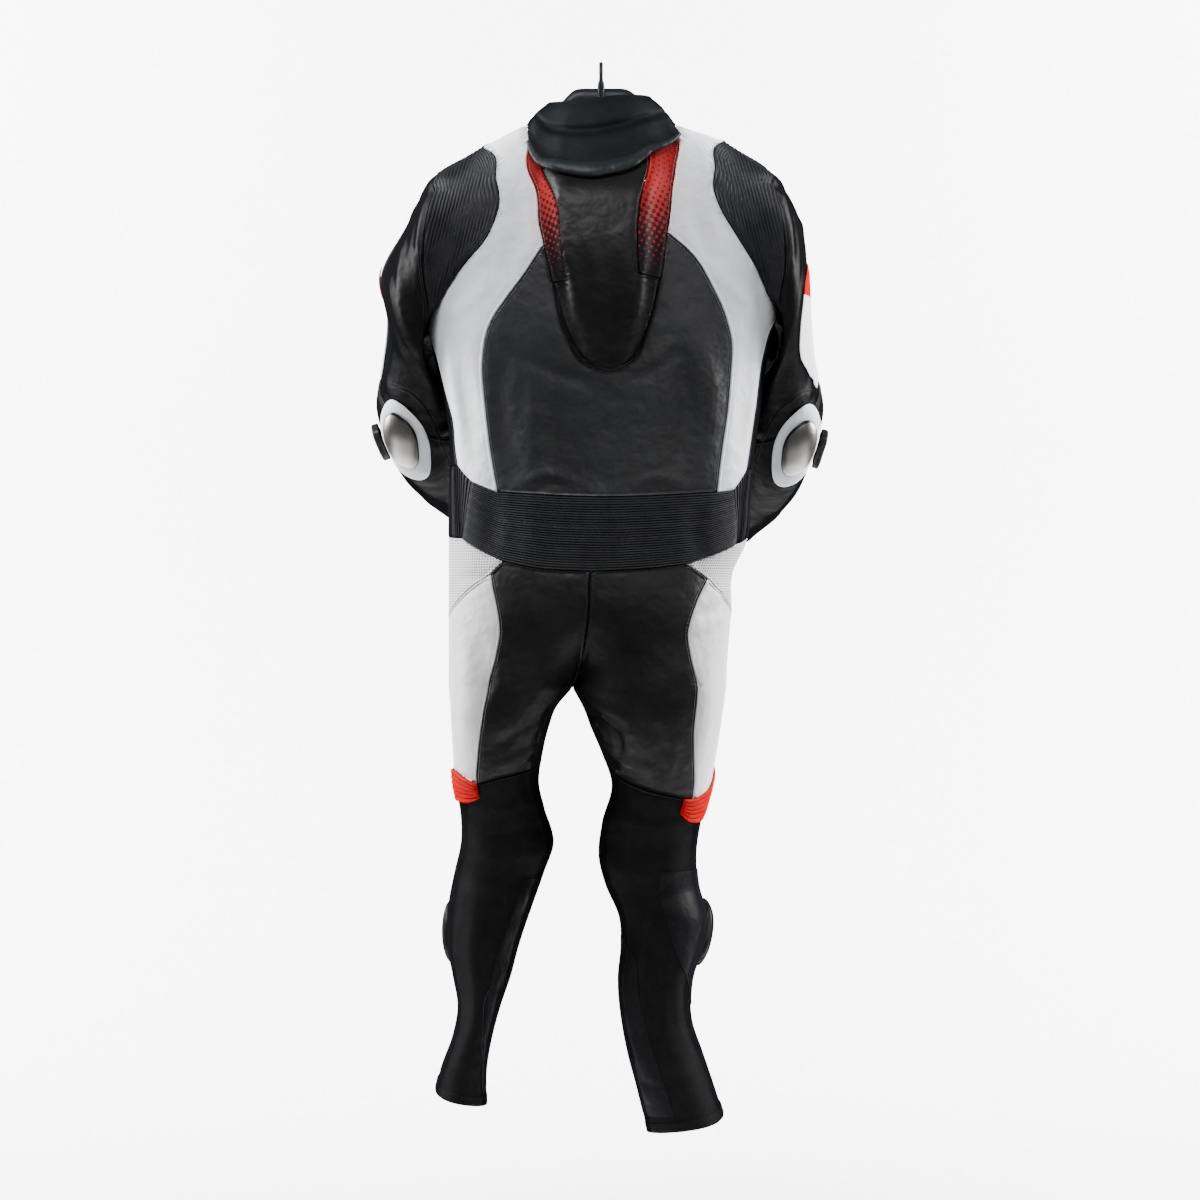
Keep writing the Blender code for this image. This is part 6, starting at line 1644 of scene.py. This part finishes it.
def stitches(name, rows, finish):
    """Rows of stitches as small rounded bars in one mesh."""
    corners = np.array([(share * STITCH / 2, a * width * THREAD, b * width * THREAD)
                        for share, width in STITCH_SHAPE for a, b in ((1, 0), (0, 1), (-1, 0), (0, -1))])
    number = np.arange(len(corners)).reshape(len(STITCH_SHAPE), 4)
    faces = [face for low, high in zip(number[:-1], number[1:]) for face in band(low, high)]
    faces += [tuple(number[0, ::-1].tolist()), tuple(number[-1].tolist())]
    blocks = []
    for path, normals in rows:
        middle, ahead, out = threads(path, normals)
        axes = np.stack((ahead, np.cross(out, ahead), out), axis=1)
        blocks.append(middle[:, None] + corners @ axes)
    many_blocks(name, np.concatenate(blocks), faces, finish)


def row_list(rows, side):
    found = []
    for name, form, distance in rows:
        seam_name = name + side if name.endswith("_") else name
        whole = form + side if form.endswith("_") else form
        # The two sides mirror each other, so left and right of a seam change places
        found.append(beside(seam_name, whole, -distance * SIDES[side]))
    return found


def make_sewing(finish):
    for side in SIDES:
        stitches("thread_white_" + side, row_list(WHITE_ROWS, side), finish["thread_grey"])
        stitches("thread_black_" + side, row_list(BLACK_ROWS, side), finish["thread_black"])


# Raised seams on a panel: radius, spots (angle and ring step, or angle and down)
RAISED_SEAMS = {
    "sleeve_L": ((1.0, ((56, 6.05), (31, 5.8), (11, 5.65), (-7, 5.8), (-17, 6.15), (-26, 6.65), (-34, 7.2),
                        (-47, 7.95))),),
    "sleeve_R": ((1.0, ((61, 6.15), (24, 5.85), (-1, 5.85), (-24, 6.3), (-38, 7.05), (-56, 8.0))),),
    "leg_L": ((0.7, ((-30, 1250), (-18, 1286), (-34, 1330), (-56, 1376), (-64, 1412))),),
    "leg_R": (),
}


def make_raised_seams(finish, thread):
    """Narrow ridges where a panel is made of parts, with a row of stitches on each side."""
    for form, lines in RAISED_SEAMS.items():
        rows = []
        for number, (radius, spots) in enumerate(lines):
            if form.startswith("leg"):
                spots = [leg_at(*spot) for spot in spots]
            line = spot_line(spots, np.linspace(0, 1, 90), SCALES[form])
            path, out = on_panel(form, line, 0.1)
            radii = radius * np.minimum(1, 12 * np.sin(math.pi * np.linspace(0.01, 0.99, 90)))
            tube("raised_seam_%s_%d" % (form, number), path, radii, finish, around=8,
                 side=tuple(out[45]), cad=False)
            aside = inward(FORMS[form](line), out, closed=False) * 3.0
            rows += [on_panel(form, slide(form, line, aside * sign), THREAD_STAND) for sign in (-1, 1)]
        if rows:
            stitches("thread_raised_" + form, rows, thread)


HEM_BAND = 14.0                 # width of the binding
CALF_LEATHER = {                # name: side, far edge's angle, seam as (angle, down) spots
    "calf_leather_inner_L": ("L", -86, ((-34, 1118), (-30, 1180), (-20, 1240), (-18, 1286), (-34, 1330),
                                        (-56, 1376), (-64, 1406))),
    "calf_leather_inner_R": ("R", -86, ((-80, 1196), (-51, 1214), (-23, 1282), (-16, 1362), (-12, 1440))),
    "calf_leather_outer_R": ("R", 102, ((10, 1106), (4, 1180), (28, 1234), (62, 1266), (88, 1294))),
}


def make_hem_bands(finish):
    """Binding round each trouser hem, outside the calf and shin panels."""
    for side in SIDES:
        for part, look in (("back", "fabric_black"), ("front", "leather_black")):
            line = SEAMS["hem_%s_%s" % (part, side)]["leg_" + side]
            up = np.linspace(HEM_BAND, 0.8, 9)[:, None]
            turns = np.broadcast_to(line[None, :, 0], (9, len(line)))
            spots = np.stack((turns, line[None, :, 1] - up), axis=2)
            patch("hem_band_%s_%s" % (part, side), "leg_" + side, spots, 0.5, 1.1, 0.0, finish[look],
                  cad=False)


def make_calf_leather(finish):
    """Leather parts of the calves, each between a slanting seam and an edge of the calf."""
    for name, (side, edge, line) in CALF_LEATHER.items():
        line = np.array([leg_at(*spot) for spot in line])
        runs = np.linspace(line[0, 1], line[-1, 1], 60)
        spots = turned_grid(through(line[:, 1], line[:, 0:1], runs), edge, runs, 22)
        patch(name, "leg_" + side, spots, 0.3, 1.0, 0.0, finish, cad=False)


def make_piping(finish):
    """Round piping along the foot of the hump."""
    line = SEAMS["hump_point"]
    path = line["at"] + line["out"] * 0.9
    radii = np.full(len(path), 1.7)
    radii[[0, -1]] = 1.0
    tube("hump_piping", path, radii, finish, around=14, side=(0.3, -1, 0.2), cad=False)


UNDERARM_PAD = (236.0, 22.0, -380.0)    # its middle
UNDERARM_PAD_SIZE = (8.0, 24.0)         # its radius, and half its length


def make_fillers(finish):
    """Bound seam at the crotch, and the padded gusset under the right arm."""
    seat, gusset = SEAMS["seat_centre"], SEAMS["gusset_centre"]
    count = len(seat["at"]) // 2
    path = np.concatenate((gusset["at"][-20:-1], seat["at"][:count]))
    out = np.concatenate((gusset["out"][-20:-1], seat["out"][:count]))
    shares = np.linspace(0.04, 0.96, len(path))
    tube("crotch_seam", path - out * 2.0, 2.6 * np.sin(math.pi * shares) ** 0.4, finish,
         around=12, side=(1, 0, 0), cad=False)
    down = np.linspace(-1, 1, 13)
    radius, half = UNDERARM_PAD_SIZE
    path = np.array(UNDERARM_PAD) + down[:, None] * (-2, 0, -half)
    tube("underarm_pad_R", path, radius * np.sqrt(1.05 - down ** 2), finish,
         side=(0, 1, 0), cad=False)


# ---------------------------------------------------------------- materials

STRIPE_WHITE = (0.60, 0.61, 0.64)
STRIPE_TIP_RED = (0.32, 0.002, 0.002)
STRIPE_TIP = (-0.3175, -0.3165)         # height over which the stripe's red tip ends, in metres
INSERT_RED = (0.18, 0.0028, 0.0032)
INSERT_DARK = (0.006, 0.005, 0.006)
LOZENGE_PITCH = 0.0098
LOZENGE_GROWTH = (-0.300, -0.170)       # height over which the lozenges shrink from whole to small
MESH_WHITE, MESH_HOLE = (0.50, 0.505, 0.50), (0.07, 0.07, 0.07)
MESH_BLEND = (0.46, 0.465, 0.46)        # the two from afar
MESH_PITCH = 0.0036
# the plate's metal, and the painted shade round the plate's edge where it stands over the surround
PLATE_METAL, PLATE_EDGE_PAINTED_SHADE = (0.24, 0.23, 0.22), (0.02, 0.02, 0.02)
# near-black colour of the painted shade in the grooves of a ribbed knit
GROOVE_PAINTED_SHADE = (0.0015, 0.0015, 0.0018)
UPRIGHT_GRAIN = (1, 1, 14)              # scale of a noise that is drawn out into brushed lines

# Leathers: darker colour, lighter colour, least and greatest roughness, bump, gloss
LEATHERS = {
    "leather_black": ((0.0028, 0.0029, 0.0033), (0.0052, 0.0053, 0.0060), (0.46, 0.60), 0.25, 0.08),
    # the back panel's black leather, lighter than the other black leathers: painted sheen
    "back_leather": ((0.0115, 0.0118, 0.0128), (0.0185, 0.0190, 0.0206), (0.40, 0.52), 0.30, 0.22),
    "seat_leather": ((0.0034, 0.0034, 0.0034), (0.0072, 0.0072, 0.0072), (0.42, 0.54), 0.28, 0.14),
    "calf_leather": ((0.0032, 0.0032, 0.0038), (0.0056, 0.0056, 0.0066), (0.46, 0.58), 0.28, 0.06),
    "lip_leather": ((0.0060, 0.0078, 0.0086), (0.0095, 0.0120, 0.0130), (0.40, 0.48), 0.15, 0.14),
    "leather_white": ((0.56, 0.575, 0.605), (0.635, 0.645, 0.665), (0.42, 0.54), 0.18, 0.35),
    "thigh_white": ((0.46, 0.465, 0.455), (0.54, 0.545, 0.535), (0.42, 0.54), 0.18, 0.30),
}
# Stretch fabrics: darker colour, lighter colour, roughness, gloss, pitch of the ribs in their bump.
# A ribbed one has its darker colour on the ribs and painted shade, near black, in the grooves between them
KNITS = {
    "stretch_black": ((0.0110, 0.0113, 0.0128), (0.0155, 0.0160, 0.0180), 0.55, 0.12, None),
    "side_stretch": ((0.0075, 0.0078, 0.0090), (0.0105, 0.0108, 0.0125), 0.6, 0.06, SIDE_RIB_PITCH),
    "stretch_red": ((0.27, 0.0012, 0.0014), (0.36, 0.002, 0.0022), 0.6, 0.06, None),
    "fabric_black": ((0.0026, 0.0026, 0.0030), (0.0040, 0.0040, 0.0046), 0.75, 0.05, None),
    "neoprene": ((0.0032, 0.0040, 0.0046), (0.0050, 0.0060, 0.0067), 0.6, 0.06, None),
}
# Plastics and threads: colour, roughness, gloss
PLASTICS = {
    "plastic_black": ((0.0045, 0.0045, 0.005), 0.36, 0.25),
    "hanger_black": ((0.008, 0.0095, 0.012), 0.38, 0.12),
    "thread_grey": ((0.20, 0.21, 0.23), 0.7, 0.25),
    "thread_black": ((0.028, 0.028, 0.032), 0.6, 0.25),
}


def new_material(name, colour, roughness, metallic=0.0):
    made = bpy.data.materials.new(name)
    made.use_nodes = True
    shader = made.node_tree.nodes["Principled BSDF"]
    shader.inputs["Base Color"].default_value = (*colour, 1.0)
    shader.inputs["Roughness"].default_value = roughness
    shader.inputs["Metallic"].default_value = metallic
    return made, made.node_tree, shader


def add_node(tree, kind, **values):
    """New node with constants on its sockets. A name with a capital first letter is a socket."""
    made = tree.nodes.new(kind)
    for key, value in values.items():
        if key[0].isupper():
            made.inputs[key.replace("_", " ")].default_value = value
        else:
            setattr(made, key, value)
    return made


def place_of(tree, scale=(1, 1, 1)):
    """Place on the suit in metres, scaled."""
    where = add_node(tree, "ShaderNodeTexCoord")
    scaled = add_node(tree, "ShaderNodeMapping", Scale=scale)
    tree.links.new(where.outputs["Object"], scaled.inputs["Vector"])
    return scaled.outputs["Vector"]


def noise(tree, scale, detail=3.0, rough=0.55, stretch=(1, 1, 1)):
    made = add_node(tree, "ShaderNodeTexNoise", Scale=scale, Detail=detail, Roughness=rough)
    tree.links.new(place_of(tree, stretch), made.inputs["Vector"])
    return made.outputs["Fac"]


def ranged(tree, value, low, high, start=0.3, end=0.7):
    made = add_node(tree, "ShaderNodeMapRange", From_Min=start, From_Max=end, To_Min=low, To_Max=high)
    tree.links.new(value, made.inputs["Value"])
    return made.outputs["Result"]


def math_node(tree, operation, first, second=None):
    made = add_node(tree, "ShaderNodeMath", operation=operation)
    for socket, value in zip(made.inputs, (first, second)):
        if isinstance(value, (int, float)):
            socket.default_value = value
        elif value is not None:
            tree.links.new(value, socket)
    return made.outputs["Value"]


def mixed(tree, share, first, second):
    """Colour between two colours, each a triple."""
    made = add_node(tree, "ShaderNodeMix", data_type="RGBA")
    tree.links.new(share, made.inputs[0])
    made.inputs[6].default_value = (*first, 1.0)
    made.inputs[7].default_value = (*second, 1.0)
    return made.outputs[2]


def painted(tree, shader, share, first, second):
    """Give a shader the colour between two colours."""
    tree.links.new(mixed(tree, share, first, second), shader.inputs["Base Color"])


def bumped(tree, over, height, strength, distance):
    """Bump over a shader, or under another bump."""
    made = add_node(tree, "ShaderNodeBump", Strength=strength, Distance=distance)
    tree.links.new(height, made.inputs["Height"])
    tree.links.new(made.outputs["Normal"], over.inputs["Normal"])
    return made


def grain(tree):
    """Fine leather grain: small cells over a softer unevenness."""
    cells = add_node(tree, "ShaderNodeTexVoronoi", Scale=760.0, feature="SMOOTH_F1")
    tree.links.new(place_of(tree), cells.inputs["Vector"])
    soft = noise(tree, 170.0, 3.0)
    return math_node(tree, "ADD", math_node(tree, "MULTIPLY", cells.outputs["Distance"], 0.55), soft)


def edge_gloss(tree, shader, gloss):
    """Gloss that fades where a surface turns away, as on soft grained cloth."""
    facing = add_node(tree, "ShaderNodeLayerWeight", Blend=0.5)
    tree.links.new(ranged(tree, facing.outputs["Facing"], gloss, 0.0, 0.12, 0.62),
                   shader.inputs["Specular IOR Level"])


def leather(name, colour, lighter, roughness, bump, gloss):
    """Grained leather over a soft rumple."""
    made, tree, shader = new_material(name, colour, roughness[0])
    painted(tree, shader, ranged(tree, noise(tree, 9.0, 4.0), 0.0, 1.0), colour, lighter)
    tree.links.new(ranged(tree, noise(tree, 26.0, 4.0), *roughness), shader.inputs["Roughness"])
    edge_gloss(tree, shader, gloss)
    fine = bumped(tree, shader, grain(tree), bump, 0.0006)
    bumped(tree, fine, noise(tree, 19.0, 3.0, 0.55), 0.5, 0.011)
    return made


def cloth_place(tree):
    """Place on the flat cloth, in metres along each direction."""
    where = add_node(tree, "ShaderNodeUVMap", uv_map="cloth")
    split = add_node(tree, "ShaderNodeSeparateXYZ")
    tree.links.new(where.outputs["UV"], split.inputs["Vector"])
    return split.outputs["X"], split.outputs["Y"]


def height_of(tree):
    """Height on the suit in metres."""
    where = add_node(tree, "ShaderNodeTexCoord")
    split = add_node(tree, "ShaderNodeSeparateXYZ")
    tree.links.new(where.outputs["Object"], split.inputs["Vector"])
    return split.outputs["Z"]


def cell_distance(tree, first, second, pitch):
    """Distance from the middle of a square cell, in cells, along each direction."""
    parts = []
    for value in (first, second):
        scaled = math_node(tree, "DIVIDE", value, pitch)
        parts.append(math_node(tree, "SUBTRACT", math_node(tree, "FRACT", scaled), 0.5))
    return parts


def hip_mesh_material():
    """White leather with rows of small round perforations."""
    made, tree, shader = new_material("hip_mesh", MESH_BLEND, 0.5)
    first, second = cell_distance(tree, *cloth_place(tree), MESH_PITCH)
    square = math_node(tree, "ADD", math_node(tree, "MULTIPLY", first, first),
                       math_node(tree, "MULTIPLY", second, second))
    hole = ranged(tree, math_node(tree, "SQRT", square), 1.0, 0.0, 0.25, 0.32)
    painted(tree, shader, hole, MESH_WHITE, MESH_HOLE)
    edge_gloss(tree, shader, 0.3)
    bumped(tree, shader, math_node(tree, "MULTIPLY", hole, -1.0), 0.6, 0.0008)
    return made


def red_insert_material():
    """Red fabric with small dark lozenges on the slant that grow toward the bottom."""
    made, tree, shader = new_material("red_insert", INSERT_RED, 0.62)
    across, down = cloth_place(tree)
    slant = math_node(tree, "ADD", across, math_node(tree, "MULTIPLY", down, 0.5))
    other = math_node(tree, "SUBTRACT", math_node(tree, "MULTIPLY", across, 0.5), down)
    first, second = cell_distance(tree, slant, other, LOZENGE_PITCH)
    reach = math_node(tree, "ADD", math_node(tree, "ABSOLUTE", first), math_node(tree, "ABSOLUTE", second))
    grown = ranged(tree, height_of(tree), 1.02, 0.24, *LOZENGE_GROWTH)
    inside = ranged(tree, math_node(tree, "SUBTRACT", grown, reach), 0.0, 1.0, -0.03, 0.03)
    painted(tree, shader, inside, INSERT_RED, INSERT_DARK)
    edge_gloss(tree, shader, 0.08)
    bumped(tree, shader, noise(tree, 900.0, 2.0), 0.25, 0.0005)
    return made


def stripe_material():
    """White leather sleeve stripe with a red tip."""
    made, tree, shader = new_material("sleeve_stripe", STRIPE_WHITE, 0.45)
    painted(tree, shader, ranged(tree, height_of(tree), 0.0, 1.0, *STRIPE_TIP), STRIPE_WHITE, STRIPE_TIP_RED)
    edge_gloss(tree, shader, 0.3)
    bumped(tree, shader, grain(tree), 0.25, 0.0006)
    return made


def knit(name, colour, lighter, roughness, gloss, rib_pitch):
    """Stretch fabric: fine knit lines, and where it has a rib pitch, fine ribs with painted shade in their
    grooves.
    """
    made, tree, shader = new_material(name, colour, roughness)
    across, down = cloth_place(tree)
    wales = math_node(tree, "SINE", math_node(tree, "MULTIPLY", across, 5200.0))
    rows = math_node(tree, "SINE", math_node(tree, "MULTIPLY", down, 4100.0))
    weave = math_node(tree, "MULTIPLY", wales, rows)
    if not rib_pitch:
        painted(tree, shader, ranged(tree, noise(tree, 60.0), 0, 1), colour, lighter)
    edge_gloss(tree, shader, gloss)
    height = math_node(tree, "ADD", math_node(tree, "MULTIPLY", weave, 0.3), noise(tree, 500.0, 2.0))
    fine = bumped(tree, shader, height, 0.3, 0.0005)
    if rib_pitch:
        wave = math_node(tree, "SINE", math_node(tree, "MULTIPLY", down, 2 * math.pi / (rib_pitch * MM)))
        bumped(tree, fine, wave, 1.0, 0.0012)
        # painted shade: the low part of each rib wave, the groove, is darkened toward near black
        painted(tree, shader, ranged(tree, wave, 0.25, 1.0, -1.0, 0.2), GROOVE_PAINTED_SHADE, colour)
    return made


def plain(name, colour, roughness, gloss):
    """Plastic or thread: one colour with slightly uneven gloss."""
    made, tree, shader = new_material(name, colour, roughness)
    uneven = ranged(tree, noise(tree, 40.0, 4.0), roughness - 0.05, roughness + 0.05)
    tree.links.new(uneven, shader.inputs["Roughness"])
    edge_gloss(tree, shader, gloss)
    bumped(tree, shader, noise(tree, 240.0, 2.0), 0.06, 0.0004)
    return made


def zip_metal():
    """Brushed metal of the zip."""
    made, tree, shader = new_material("metal_silver", (0.30, 0.29, 0.28), 0.34, 1.0)
    brushed = noise(tree, 60.0, 4.0, stretch=UPRIGHT_GRAIN)
    tree.links.new(ranged(tree, brushed, 0.26, 0.42), shader.inputs["Roughness"])
    bumped(tree, shader, noise(tree, 360.0, 2.0, stretch=UPRIGHT_GRAIN), 0.06, 0.0004)
    return made


def elbow_plate_material():
    """Brushed metal dome with a narrow band of painted shade round its edge."""
    made, tree, shader = new_material("elbow_plate", PLATE_METAL, 0.34, 1.0)
    reach = []
    for value, half in zip(cloth_place(tree), ELBOW_PLATE_HALF):
        share = math_node(tree, "ABSOLUTE", math_node(tree, "DIVIDE", value, half * MM))
        reach.append(math_node(tree, "POWER", share, 2.6))
    # painted shade: a dark band round the plate's edge, standing in for the shadow of its side wall
    rim = ranged(tree, math_node(tree, "ADD", *reach), 0.0, 1.0, 0.80, 0.86)
    painted(tree, shader, rim, PLATE_METAL, PLATE_EDGE_PAINTED_SHADE)
    brushed = noise(tree, 60.0, 4.0, stretch=UPRIGHT_GRAIN)
    tree.links.new(ranged(tree, brushed, 0.28, 0.42), shader.inputs["Roughness"])
    bumped(tree, shader, brushed, 0.08, 0.0004)
    return made


def make_materials():
    made = {"hip_mesh": hip_mesh_material(), "red_insert": red_insert_material(),
            "sleeve_stripe": stripe_material(), "metal_silver": zip_metal(),
            "elbow_plate": elbow_plate_material()}
    for recipe, table in ((leather, LEATHERS), (knit, KNITS), (plain, PLASTICS)):
        made.update({name: recipe(name, *row) for name, row in table.items()})
    return made


# ---------------------------------------------------------------- studio

PIXEL = 1.372 * MM              # size of the picture's pixel at the suit
PICTURE = 1200                  # its width and height in pixels
HOOK_PIXEL = (601, 66)          # where it shows the hook's bearing point
CAMERA_DISTANCE = 6.0
LENS_SENSOR = 36.0
FLOOR = -1.62                   # height of the floor
STAGE_HALF = 1.3                # half the width of floor and backdrop
STAGE_FRONT, STAGE_BEND = -0.35, 1.4    # where the floor starts, and where it bends up
STAGE_RADIUS = 1.2
STAGE_TOP = 2.4                 # height of the backdrop over the floor
# Lamps: place, target, width and height, power
LAMPS = {
    "top_key": ((-0.9, -2.6, 2.9), (0, 0, -0.7), (2.2, 1.6), 270),
    "fill": ((1.6, -4.5, 0.4), (0, 0, -0.75), (2.6, 2.4), 75),
    "left_side": ((-3.6, -2.6, 0.4), (0, 0, -0.75), (1.4, 3.0), 18),
    "backdrop_left": ((-2.6, 0.9, 0.6), (0, 2.6, -0.7), (2.0, 2.6), 680),
    "backdrop_right": ((2.6, 0.9, 0.6), (0, 2.6, -0.7), (2.0, 2.6), 680),
}


def make_stage():
    """Pale floor that rises into a backdrop far behind the suit."""
    profile = [(STAGE_FRONT, 0.0), (STAGE_BEND, 0.0)]
    profile += [(STAGE_BEND + STAGE_RADIUS * math.sin(a), STAGE_RADIUS * (1 - math.cos(a)))
                for a in np.radians(np.arange(9, 91, 9))]
    profile += [(STAGE_BEND + STAGE_RADIUS, STAGE_TOP)]
    points = [(x, y, z + FLOOR) for y, z in profile for x in (-STAGE_HALF, STAGE_HALF)]
    faces = [(2 * k, 2 * k + 1, 2 * k + 3, 2 * k + 2) for k in range(len(profile) - 1)]
    finish, tree, shader = new_material("studio_white", (0.93, 0.93, 0.94), 0.9)
    tree.links.new(ranged(tree, noise(tree, 1.5), 0.88, 0.92), shader.inputs["Roughness"])
    mesh = bpy.data.meshes.new("studio")
    mesh.from_pydata(points, [], faces)
    mesh.materials.append(finish)
    mesh.shade_smooth()
    linked("studio", mesh)


def look_at(made, place, target):
    made.location = place
    direction = Vector(target) - Vector(place)
    made.rotation_euler = direction.to_track_quat("-Z", "Y").to_euler()


def make_lamps():
    for name, (place, target, size, power) in LAMPS.items():
        lamp = bpy.data.lights.new(name, "AREA")
        lamp.shape = "RECTANGLE"
        lamp.size, lamp.size_y = size
        lamp.energy = power
        look_at(linked(name, lamp), place, target)


def make_studio():
    make_stage()
    make_lamps()
    world = bpy.data.worlds.new("studio_air")
    world.use_nodes = True
    world.node_tree.nodes["Background"].inputs["Color"].default_value = (1, 1, 1, 1)
    world.node_tree.nodes["Background"].inputs["Strength"].default_value = 0.10
    bpy.context.scene.world = world
    lens = bpy.data.cameras.new("camera")
    lens.sensor_width = LENS_SENSOR
    lens.lens = LENS_SENSOR * CAMERA_DISTANCE / (PICTURE * PIXEL)
    camera = linked("camera", lens)
    x, z = (PICTURE / 2 - HOOK_PIXEL[0]) * PIXEL, (HOOK_PIXEL[1] - PICTURE / 2) * PIXEL
    look_at(camera, (x, -CAMERA_DISTANCE, z), (x, 0, z))
    bpy.context.scene.camera = camera


def main():
    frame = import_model()
    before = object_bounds()
    before = [tuple(float(v) for v in corner) for corner in before]
    finish = make_materials()
    make_torso_seams()
    for side in SIDES:
        make_leg_seams(side)
        make_sleeve_seams(side)
    make_middle_seams()
    join_seam_ends()
    make_creases()
    make_torso_panels(finish)
    make_limb_panels(finish)
    make_overlays(finish)
    make_collar(finish["neoprene"])
    make_nape_roll(finish["lip_leather"])
    make_hanger(finish["hanger_black"])
    make_zip_tape(finish)
    make_sewing(finish)
    make_raised_seams(finish["leather_black"], finish["thread_black"])
    make_hem_bands(finish)
    make_calf_leather(finish["calf_leather"])
    make_piping(finish["leather_black"])
    make_fillers(finish["leather_black"])
    for name in ("zip_slider", "zip_pull"):
        node = frame["nodes"][name]
        node.data.materials.clear()
        node.data.materials.append(finish["metal_silver"])
    make_studio()


main()
